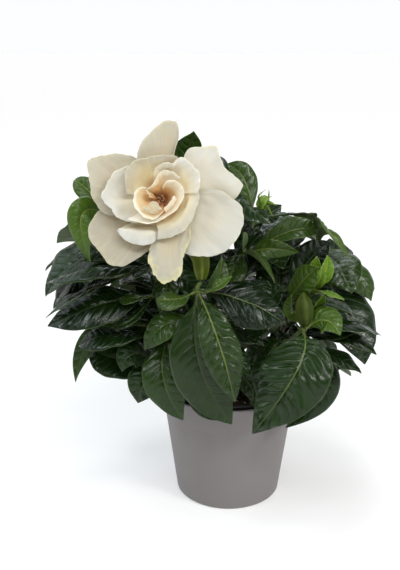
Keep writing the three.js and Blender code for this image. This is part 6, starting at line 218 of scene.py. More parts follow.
        ([-65.44, -6.35, 217.09, -99.07, -7.46, 213.55, -125.36, -8.34, 193.65, -138.86, -8.78, 164.68], 24.6, [-0.086, -0.353, 0.932], [-0.837, -0.378, 0.396], 18.6, 0.325, 0.093, 2.53, 0.1, 1.04, 0, 0.14, 0.2, 0.75, 0),
    ]),
    ("leaves_e3", [-44.95, -14.65, 258.09], [0.419, -0.1596, 0.8939], 1.38, [
        ([-45.03, -12.27, 258.55, -37.58, -4.16, 275.04, -31.99, -6.86, 289.2, -28.44, -15.68, 301.93], 11.66, [0.202, -0.912, 0.357], [0.11, -0.802, -0.586], 19.8, 0.361, 0.05, 2.2, 0, 1.15, 0.16, 0.5, 0.13, 1, 1),
        ([-44.12, -12.36, 258.11, -32.25, 10.84, 264.89, -21.9, 33.55, 257.89, -15.09, 50.96, 240.64], 17.41, [0.19, -0.364, 0.912], [0.545, 0.473, 0.692], 12.4, 0.223, 0.051, 1.72, 0.6, 0.94, 0, 0.38, 0.21, 0.75, 0),
        ([-46.83, -13.56, 259.16, -67.18, -1.81, 270.12, -88.28, 10.37, 268.39, -106.64, 20.97, 256.15], 17, [0.366, -0.211, 0.906], [-0.433, 0.25, 0.866], 14.5, 0.299, 0.07, 2.32, 0.7, 0.98, 0, 0.17, 0, 0.75, 0),
        ([-46.64, -16.32, 258.58, -66.5, -34.45, 261.74, -83.73, -50.19, 252.7, -96.85, -62.17, 234.3], 19.7, [0.189, -0.037, 0.981], [-0.42, -0.593, 0.686], 13.8, 0.351, 0.066, 2.73, 0.5, 0.97, 0, 0.25, 0.31, 0.75, 0),
        ([-46.88, -15.97, 258.75, -62.52, -28.87, 269.08, -78.85, -42.33, 268.6, -93.69, -54.57, 259.02], 15.4, [0.479, 0.116, 0.87], [-0.2, -0.443, 0.874], 17.1, 0.288, 0.085, 2.23, 0.6, 1.02, 0.12, 0.48, 0.13, 0.75, 0),
        ([-43.7, -16.52, 257.17, -29.14, -29.59, 268.92, -11.58, -45.34, 267.43, 1.57, -57.14, 255.1], 15.4, [-0.53, 0.159, 0.833], [0.257, -0.546, 0.797], 18.6, 0.325, 0.093, 2.53, 0.1, 1.04, 0.12, 0.07, 0.11, 0.75, 0),
    ]),
    ("leaves_f1", [-44, 32, 138], [-0.55, 0.1674, 0.8182], 1.88, [
        ([-45.88, 29.93, 137.16, -71.58, 16.1, 145.59, -92.51, 4.69, 145.82, -116.97, -8.82, 139.36], 20.13, [0.19, 0.229, 0.955], [-0.25, -0.011, 0.968], 12.5, 0.236, 0.088, 1.82, 0.8, 1.02, 0.12, 0.2, 0.12, 0.75, 0),
        ([-45.28, 34.27, 136.67, -65.33, 52.13, 146.24, -85.68, 71.58, 139.25, -99.07, 85.5, 120.5], 19.45, [0.364, -0.088, 0.927], [-0.349, 0.616, 0.706], 10.6, 0.312, 0.056, 2.43, 0.9, 0.95, 0, 0.34, 0.29, 0.75, 0),
        ([-46.4, 32.23, 136.34, -73.78, 37.06, 140.25, -97.51, 41.24, 132.19, -116.92, 44.67, 114.45], 18, [0.137, -0.024, 0.99], [-0.659, 0.116, 0.743], 12.7, 0.26, 0.06, 2.02, 0.1, 0.96, 0.12, 0.26, 0.23, 0.75, 0),
        ([-42.4, 34.38, 138.59, -26.91, 53.1, 139.82, -12.99, 69.93, 124.72, -7.69, 76.34, 103.29], 16.2, [-0.184, 0.088, 0.979], [0.43, 0.83, 0.354], 12, 0.312, 0.056, 2.43, 0.9, 0.95, 0, 0.23, 0.06, 0.75, 0),
        ([-42.22, 34.2, 138.75, -30.08, 53.78, 149.49, -15.02, 78.07, 141, -7.69, 89.89, 121.43], 18.1, [-0.342, -0.28, 0.897], [0.304, 0.761, 0.573], 15.3, 0.249, 0.075, 1.93, 0, 0.99, 0.05, 0.24, 0.34, 0.75, 0),
        ([-41.79, 31.07, 139.68, -20.08, 22.12, 152.32, 0.73, 13.54, 154.78, 23.41, 4.2, 149.02], 20.4, [-0.434, 0.19, 0.88], [0.215, -0.077, 0.974], 16.2, 0.338, 0.08, 2.63, 0.3, 1, 0.12, 0.53, 0.03, 0.75, 0),
        ([-45.72, 29.74, 137.31, -61.95, 13.11, 136.29, -73.69, 1.07, 133.8, -88.61, -14.22, 128.68], 15.9, [0.068, -0.127, 0.99], [-0.063, -0.261, 0.963], 15.8, 0.307, 0.077, 2.38, 0.2, 1, 0, 0.46, 0.14, 0.75, 0),
    ]),
    ("leaves_f2", [-66, 38, 182], [-0.3744, 0.0073, 0.9272], 1.65, [
        ([-68.34, 37.04, 181.06, -94.75, 29.96, 195.6, -124.57, 21.98, 193.09, -147.98, 15.7, 176.74], 20, [0.453, 0.122, 0.883], [-0.54, -0.145, 0.829], 16, 0.337, 0.078, 2.62, 0.2, 1, 0.12, 0.21, 0.19, 0.75, 0),
        ([-66.26, 40.68, 181.87, -75.01, 64.71, 196.63, -84.93, 91.97, 195.81, -93.19, 114.66, 181.87], 18, [0.171, -0.47, 0.866], [-0.171, 0.47, 0.866], 10.3, 0.273, 0.046, 2.12, 0.3, 0.92, 0.12, 0.21, 0.14, 0.75, 0),
        ([-65.09, 40.52, 182.35, -56.96, 68.88, 191.48, -48.1, 99.78, 178.58, -43.78, 114.85, 153.97], 22.1, [-0.316, -0.207, 0.926], [-0.012, 0.854, 0.521], 10.5, 0.275, 0.048, 2.13, 0.4, 0.93, 0, 0.27, 0.18, 0.75, 0),
        ([-68.07, 36.48, 181.17, -95.62, 21.4, 189.71, -122.39, 6.74, 180.98, -141.82, -3.89, 159.67], 21, [0.231, 0.124, 0.965], [-0.607, -0.335, 0.721], 16.2, 0.338, 0.08, 2.63, 0.3, 1, 0.05, 0.29, 0.14, 0.75, 0),
        ([-65.29, 40.59, 182.27, -66.32, 65.17, 203.8, -67.64, 96.51, 209.38, -68.87, 125.87, 199.94], 21.5, [0.221, -0.637, 0.738], [0.182, 0.308, 0.934], 10.5, 0.275, 0.048, 2.13, 0.4, 0.93, 0, 0.48, 0.21, 0.75, 0),
        ([-68.34, 38.94, 181.05, -82.71, 44.72, 175.17, -92.41, 48.62, 167.45, -101.74, 52.37, 155.47], 12.3, [-0.129, 0.531, 0.837], [-0.471, 0.668, 0.576], 17.3, 0.344, 0.086, 2.68, 0.7, 1.02, 0, 0.18, 0.18, 0.75, 0),
    ]),
    ("leaves_f3", [-78, 34, 218], [-0.2892, -0.1251, 0.9491], 1.43, [
        ([-79.84, 35.61, 217.65, -97.32, 44.13, 232.33, -120.95, 55.89, 232.27, -137.99, 64.51, 219.43], 15.9, [0.577, -0.187, 0.795], [-0.458, 0.327, 0.827], 16.1, 0.286, 0.083, 2.22, 0.5, 1.01, 0, 0.26, 0.34, 0.75, 0),
        ([-76.12, 35.41, 218.76, -63.94, 45.63, 236.42, -47.71, 59.24, 243.68, -30.65, 73.56, 240.95], 16, [-0.569, -0.478, 0.669], [0.093, 0.078, 0.993], 11.2, 0.223, 0.051, 1.72, 0.6, 0.94, 0, 0.2, 0.05, 0.75, 0),
        ([-79.41, 32.08, 217.32, -93.17, 18.32, 230.95, -108.2, 3.29, 234.13, -123.53, -12.04, 228.32], 15, [0.406, 0.406, 0.819], [-0.183, -0.183, 0.966], 14.5, 0.299, 0.07, 2.32, 0.7, 0.98, 0.12, 0.06, 0.35, 0.75, 0),
        ([-75.63, 33.89, 218.71, -42.53, 34.58, 211.73, -18.44, 35.09, 185.55, -12.62, 35.21, 154.12], 24.2, [0.207, -0.131, 0.969], [0.977, -0.115, 0.181], 14.5, 0.299, 0.07, 2.32, 0.7, 0.98, 0, 0.17, 0.28, 0.75, 0),
        ([-80.34, 33.7, 217.25, -109.79, 29.41, 214.59, -132, 26.17, 203.61, -151.91, 23.26, 183.83], 20.5, [-0.13, 0.307, 0.943], [-0.703, 0.223, 0.675], 12, 0.312, 0.056, 2.43, 0.9, 0.95, 0, 0.46, 0.17, 0.75, 0),
        ([-77.73, 36.43, 218.4, -79.07, 61.07, 236.8, -80.55, 88.49, 241.69, -82.08, 116.71, 234.91], 23.2, [0.27, -0.567, 0.779], [0.226, 0.239, 0.944], 12.9, 0.262, 0.061, 2.03, 0.2, 0.96, 0, 0.33, 0.34, 0.75, 0),
        ([-80.25, 34.86, 217.43, -106.11, 42.91, 218.56, -126.18, 49.16, 212.73, -147.12, 55.68, 199.51], 18.8, [0.231, 0.64, 0.733], [-0.16, 0.761, 0.628], 17.3, 0.344, 0.086, 2.68, 0.7, 1.02, 0, 0.44, 0.18, 0.75, 0),
    ]),
    ("leaves_h1", [-4, 58, 150], [0.0362, 0.3277, 0.9441], 1.92, [
        ([-2.9, 60.59, 149.06, 7.56, 89.33, 156.08, 16.94, 113.17, 153.09, 27.46, 138.16, 141.14], 20.25, [-0.472, -0.043, 0.88], [-0.254, 0.502, 0.827], 26.1, 0.236, 0.088, 1.82, 0.8, 1.02, 0, 0.47, 0.11, 0.75, 0),
        ([-1.23, 58.97, 149.56, 23.9, 73.28, 162.17, 51.52, 90.76, 155.04, 68.73, 103.04, 134.06], 18.91, [-0.393, -0.114, 0.912], [0.516, 0.485, 0.707], 13.1, 0.312, 0.056, 2.43, 0.9, 0.95, 0.05, 0.35, 0.19, 0.75, 0),
        ([-6.71, 59.17, 149.7, -31.52, 73.49, 156.84, -55.47, 87.32, 148.05, -72.25, 97.01, 128], 19, [0.21, -0.121, 0.97], [-0.623, 0.36, 0.695], 15.3, 0.249, 0.075, 1.93, 0, 0.99, 0, 0.48, 0.01, 0.75, 0),
        ([-6.96, 57.89, 150.15, -33.93, 61.35, 164.43, -64.65, 65.28, 161.33, -87.99, 68.27, 144.37], 20.7, [0.432, -0.229, 0.872], [-0.593, -0.097, 0.799], 12.9, 0.262, 0.061, 2.03, 0.2, 0.96, 0, 0.11, 0.19, 0.75, 0),
        ([-2.76, 55.44, 150.84, 2.67, 40.52, 146.14, 6.48, 30.03, 141.24, 11.12, 17.29, 133.45], 10.4, [0.329, -0.173, 0.928], [0.4, -0.368, 0.839], 12.5, 0.23, 0.059, 1.78, 0.1, 0.95, 0, 0.22, 0.26, 0.75, 0),
    ]),
    ("leaves_h2", [2, 62, 206], [0.1405, -0.067, 0.9878], 1.74, [
        ([2.73, 64.69, 206.08, 11.68, 89.3, 221.2, 22.02, 117.7, 219.81, 30.3, 140.46, 204.67], 19, [-0.171, -0.47, 0.866], [0.181, 0.498, 0.848], 16, 0.337, 0.078, 2.62, 0.2, 1, 0, 0.06, 0.13, 0.75, 0),
        ([4.37, 60.59, 205.57, 19.17, 52.04, 219.91, 36.18, 42.22, 224.63, 54.16, 31.84, 220.97], 16, [-0.557, 0.321, 0.766], [0.15, -0.087, 0.985], 13.6, 0.35, 0.065, 2.72, 0.4, 0.97, 0.12, 0.42, 0.05, 0.75, 0),
        ([0.08, 63.98, 206.41, -16.09, 81.81, 224.95, -39.69, 107.84, 222.96, -54.33, 123.98, 204.29], 22.3, [0.58, -0.272, 0.768], [-0.241, 0.633, 0.736], 17.8, 0.236, 0.088, 1.82, 0.8, 1.02, 0.12, 0.05, 0.16, 0.75, 0),
        ([4.04, 63.9, 205.84, 27.14, 83.01, 216.28, 50.87, 102.64, 209.07, 67.96, 116.78, 188.89], 21.2, [-0.306, -0.144, 0.941], [0.463, 0.492, 0.737], 12.9, 0.262, 0.061, 2.03, 0.2, 0.96, 0.12, 0.51, 0.07, 0.75, 0),
        ([0.71, 64.45, 206.35, -13.7, 92.73, 215.15, -27.85, 120.5, 206.05, -37.87, 140.17, 184.13], 23.7, [0.138, -0.229, 0.963], [-0.303, 0.636, 0.709], 12, 0.312, 0.056, 2.43, 0.9, 0.95, 0.05, 0.26, 0.21, 0.75, 0),
        ([4.76, 62.22, 205.62, 28.22, 63.36, 211.39, 45.92, 64.23, 213.32, 68.74, 65.35, 213.21], 15, [-0.148, -0.664, 0.733], [0.036, -0.655, 0.755], 17.3, 0.344, 0.086, 2.68, 0.7, 1.02, 0.05, 0.39, 0.31, 0.75, 0),
    ]),
    ("leaves_h25", [6, 57, 230], [0.1269, -0.2914, 0.9481], 1.56, [
        ([6.96, 54.72, 229.17, 20.13, 23.55, 228.76, 30.32, -0.58, 218.67, 40, -23.49, 198.6], 25.3, [-0.188, -0.093, 0.978], [0.046, -0.647, 0.761], 12.9, 0.262, 0.061, 2.03, 0.2, 0.96, 0.05, 0.47, 0.14, 0.75, 0),
        ([5.75, 59.47, 230.79, 2.56, 89.26, 238.88, -0.6, 118.87, 229.18, -2.69, 138.41, 207.43], 22.7, [-0.193, -0.276, 0.941], [-0.297, 0.696, 0.654], 14.5, 0.299, 0.07, 2.32, 0.7, 0.98, 0, 0.48, 0.32, 0.75, 0),
        ([4.51, 54.9, 229.56, -4.65, 33.85, 242.71, -15.97, 7.8, 239.07, -23.49, -9.49, 222.67], 18.3, [0.393, 0.358, 0.847], [-0.055, -0.674, 0.737], 13.8, 0.351, 0.066, 2.73, 0.5, 0.97, 0, 0.28, 0.11, 0.75, 0),
        ([3.44, 56.54, 230.2, -22.43, 49.26, 240.14, -48.13, 42.04, 236.03, -69.55, 36.02, 220.62], 18.4, [0.39, -0.142, 0.91], [-0.466, -0.382, 0.798], 11.4, 0.224, 0.053, 1.73, 0.7, 0.94, 0.05, 0.05, 0.21, 0.75, 0),
    ]),
    ("leaves_h3", [8, 50, 252], [0.0774, -0.3028, 0.9499], 1.38, [
        ([6.41, 51.71, 252.67, -11.57, 69.33, 267.57, -35.45, 86.43, 266.98, -56.71, 97.56, 253.28], 17.85, [0.191, -0.512, 0.837], [-0.535, 0.019, 0.845], 9.8, 0.286, 0.083, 2.22, 0.5, 1.01, 0.05, 0.37, 0.33, 0.75, 0),
        ([5.62, 49.49, 252.03, -5.75, 41.52, 268.58, -20.43, 31.25, 276.37, -37.14, 19.55, 276.37], 15, [0.628, 0.439, 0.643], [0, 0, 1], 11.2, 0.223, 0.051, 1.72, 0.6, 0.94, 0.05, 0.12, 0.25, 0.75, 0),
        ([8.02, 47.69, 251.26, 8.46, 33.65, 251.27, 10.96, 22.19, 245.38, 14.86, 14.51, 235.3], 12.67, [-0.436, -0.013, 0.9], [-0.079, -0.807, 0.585], 25.1, 0.299, 0.07, 2.32, 0.7, 0.98, 0, 0.49, 0.19, 0.75, 0),
        ([6.81, 51.99, 252.73, -7.35, 76.33, 258.21, -21.55, 100.73, 243.57, -27.87, 111.58, 219.55], 20, [0.234, -0.081, 0.969], [-0.3, 0.837, 0.457], 18.6, 0.325, 0.093, 2.53, 0.1, 1.04, 0.12, 0.26, 0.29, 0.75, 0),
        ([6.11, 48.51, 251.68, -7.58, 31.67, 264.98, -21.27, 14.82, 268.14, -36.09, -3.42, 263.06], 18.2, [0.485, 0.264, 0.834], [0.032, -0.293, 0.956], 17.1, 0.288, 0.085, 2.23, 0.6, 1.02, 0, 0.08, 0.1, 0.75, 0),
        ([6.23, 51.54, 252.63, -10.95, 63.26, 272.03, -37.91, 81.65, 273.52, -56.24, 94.15, 258.39], 19.1, [0.434, -0.548, 0.715], [-0.573, 0.139, 0.808], 14.7, 0.301, 0.071, 2.34, 0.8, 0.98, 0, 0.09, 0.24, 0.75, 0),
    ]),
    ("leaves_k1", [50, 44, 140], [0.6164, 0.2656, 0.7413], 1.88, [
        ([52.16, 42.48, 138.75, 80.15, 35.6, 142.65, 104.93, 30.24, 133.17, 123.82, 26.83, 113.52], 19.07, [-0.129, 0.04, 0.991], [0.705, -0.119, 0.699], 17.2, 0.236, 0.088, 1.82, 0.8, 1.02, 0.05, 0.06, 0.35, 0.75, 0),
        ([51.03, 46.19, 138.36, 70.61, 63.43, 147.32, 89.23, 78.05, 145.71, 108.66, 91.78, 135.11], 16.68, [-0.164, -0.302, 0.939], [0.398, 0.137, 0.907], 14.3, 0.312, 0.056, 2.43, 0.9, 0.95, 0.05, 0.55, 0.02, 0.75, 0),
        ([48.82, 46.68, 140.02, 43.99, 74.07, 147.47, 39.28, 100.79, 139.37, 35.94, 119.73, 120.14], 18, [0.045, -0.255, 0.966], [-0.123, 0.696, 0.707], 15.3, 0.249, 0.075, 1.93, 0, 0.99, 0, 0.47, 0.22, 0.75, 0),
        ([49.82, 46.79, 139.15, 52.81, 70.83, 137.8, 55.19, 89.94, 126, 56.75, 102.43, 106.85], 15.6, [0.112, 0.042, 0.993], [0.208, 0.812, 0.546], 13.8, 0.351, 0.066, 2.73, 0.5, 0.97, 0, 0.46, 0.26, 0.75, 0),
        ([52.29, 43.11, 138.42, 72.47, 38.3, 131.55, 86.18, 35.03, 118.67, 95.04, 32.92, 100.15], 16.87, [0.383, 0.537, 0.751], [0.832, 0.43, 0.349], 10.1, 0.243, 0.045, 1.88, 0.3, 0.92, 0, 0.12, 0.25, 0.75, 0),
        ([50.9, 41.23, 140.24, 48.55, 26.21, 133.66, 47.06, 16.7, 122.06, 46.4, 12.49, 107.01], 13.11, [0.027, -0.405, 0.914], [-0.06, -0.961, 0.271], 14, 0.268, 0.067, 2.07, 0.6, 0.97, 0, 0.27, 0.22, 0.75, 0),
        ([52.3, 43.38, 138.31, 63.89, 39.35, 127.18, 71.07, 36.85, 117.42, 78.32, 34.32, 103.79], 13.67, [0.714, 0.284, 0.64], [0.877, 0.227, 0.424], 14.9, 0.357, 0.072, 2.78, 0.9, 0.99, 0, 0.26, 0.02, 0.75, 0),
    ]),
    ("leaves_k2", [70, 50, 172], [0.3981, -0.1166, 0.9099], 1.65, [
        ([72.34, 51, 171.1, 95.81, 57.54, 174.91, 116.42, 64.44, 167.16, 131.67, 70.68, 150.7], 18.51, [-0.152, -0.03, 0.988], [0.649, 0.279, 0.708], 28.8, 0.325, 0.093, 2.53, 0.1, 1.04, 0.12, 0.16, 0.04, 0.75, 0),
        ([70.16, 52.68, 172.28, 75.88, 74.85, 184.68, 81.69, 99.24, 183.84, 86.3, 120.23, 171.86], 17.11, [-0.164, -0.449, 0.878], [0.059, 0.485, 0.873], 22.5, 0.273, 0.046, 2.12, 0.3, 0.92, 0, 0.24, 0.1, 0.75, 0),
        ([71.29, 47.78, 171.15, 89.95, 19.79, 167.56, 104.69, -2.31, 144.7, 110.17, -10.52, 114.3], 25.2, [-0.065, -0.169, 0.983], [0.399, -0.865, 0.306], 11.2, 0.223, 0.051, 1.72, 0.6, 0.94, 0, 0.34, 0.27, 0.75, 0),
        ([68.94, 52.36, 172.77, 56.6, 78.94, 180.24, 43.42, 107.35, 164.63, 38.11, 118.79, 139.01], 21.34, [0.261, -0.147, 0.954], [-0.213, 0.875, 0.435], 17.8, 0.236, 0.088, 1.82, 0.8, 1.02, 0, 0.49, 0, 0.75, 0),
        ([69.84, 47.32, 171.73, 70.92, 25.99, 175, 71.89, 6.83, 167.66, 72.59, -6.96, 152.64], 15.1, [-0.539, 0.101, 0.836], [-0.501, -0.649, 0.573], 13.4, 0.32, 0.064, 2.48, 0.4, 0.97, 0.12, 0.1, 0.18, 0.75, 0),
    ]),
    ("leaves_k3", [78, 42, 196], [0.2503, -0.3526, 0.9017], 1.43, [
        ([76.92, 39.84, 195.45, 60.85, -20.49, 238.72, 65.5, -43.41, 244.29, 87.62, -35.46, 210.52], 9, [0.644, 0.325, 0.693], [0.675, -0.681, 0.282], 20, 0.28, 0.05, 2.2, 0, 1, 0.35, 0.23, 0.24, 1, 1),
        ([77.7, 44.26, 196.97, 76.01, 64.73, 210.86, 64.8, 95.67, 203, 56.19, 105.32, 183.47], 13.67, [0.156, -0.546, 0.823], [-0.47, 0.692, 0.549], 24.5, 0.286, 0.083, 2.22, 0.5, 1.01, 0, 0.51, 0.25, 0.75, 0),
        ([78.2, 39.72, 195.05, 83.61, 13.82, 199.43, 88.16, -7.95, 194.37, 92.53, -28.88, 180.8], 18.5, [-0.376, 0.078, 0.923], [-0.242, -0.563, 0.79], 12, 0.312, 0.056, 2.43, 0.9, 0.95, 0.12, 0.13, 0.1, 0.75, 0),
        ([80.12, 41.13, 195.07, 99.09, 32.76, 189.01, 112.21, 26.97, 175.76, 119.74, 23.65, 157.09], 16.6, [0.1, -0.425, 0.9], [0.644, -0.665, 0.378], 17.1, 0.288, 0.085, 2.23, 0.6, 1.02, 0.12, 0.52, 0.22, 0.75, 0),
        ([76.43, 40.11, 195.7, 70.19, 21.69, 208.77, 62.57, -0.83, 208.95, 56.41, -19.05, 197.99], 15.8, [0.208, 0.518, 0.83], [-0.129, -0.479, 0.868], 17.1, 0.288, 0.085, 2.23, 0.6, 1.02, 0.12, 0.18, 0.08, 0.75, 0),
        ([75.86, 40.75, 196.11, 55.07, 24.76, 204.21, 36.61, 10.35, 201.89, 18.3, -4.17, 190.63], 18.57, [0.369, -0.009, 0.929], [-0.187, -0.444, 0.876], 18.7, 0.325, 0.093, 2.53, 0.1, 1.04, 0, 0.47, 0.19, 0.75, 0),
        ([79.91, 43.57, 196.08, 92.04, 54.76, 194.67, 100.79, 62.84, 192.02, 111.66, 72.86, 186.9], 13.2, [0.483, -0.427, 0.764], [0.619, -0.301, 0.725], 13.4, 0.32, 0.064, 2.48, 0.4, 0.97, 0, 0.12, 0.31, 0.75, 0),
    ]),
]
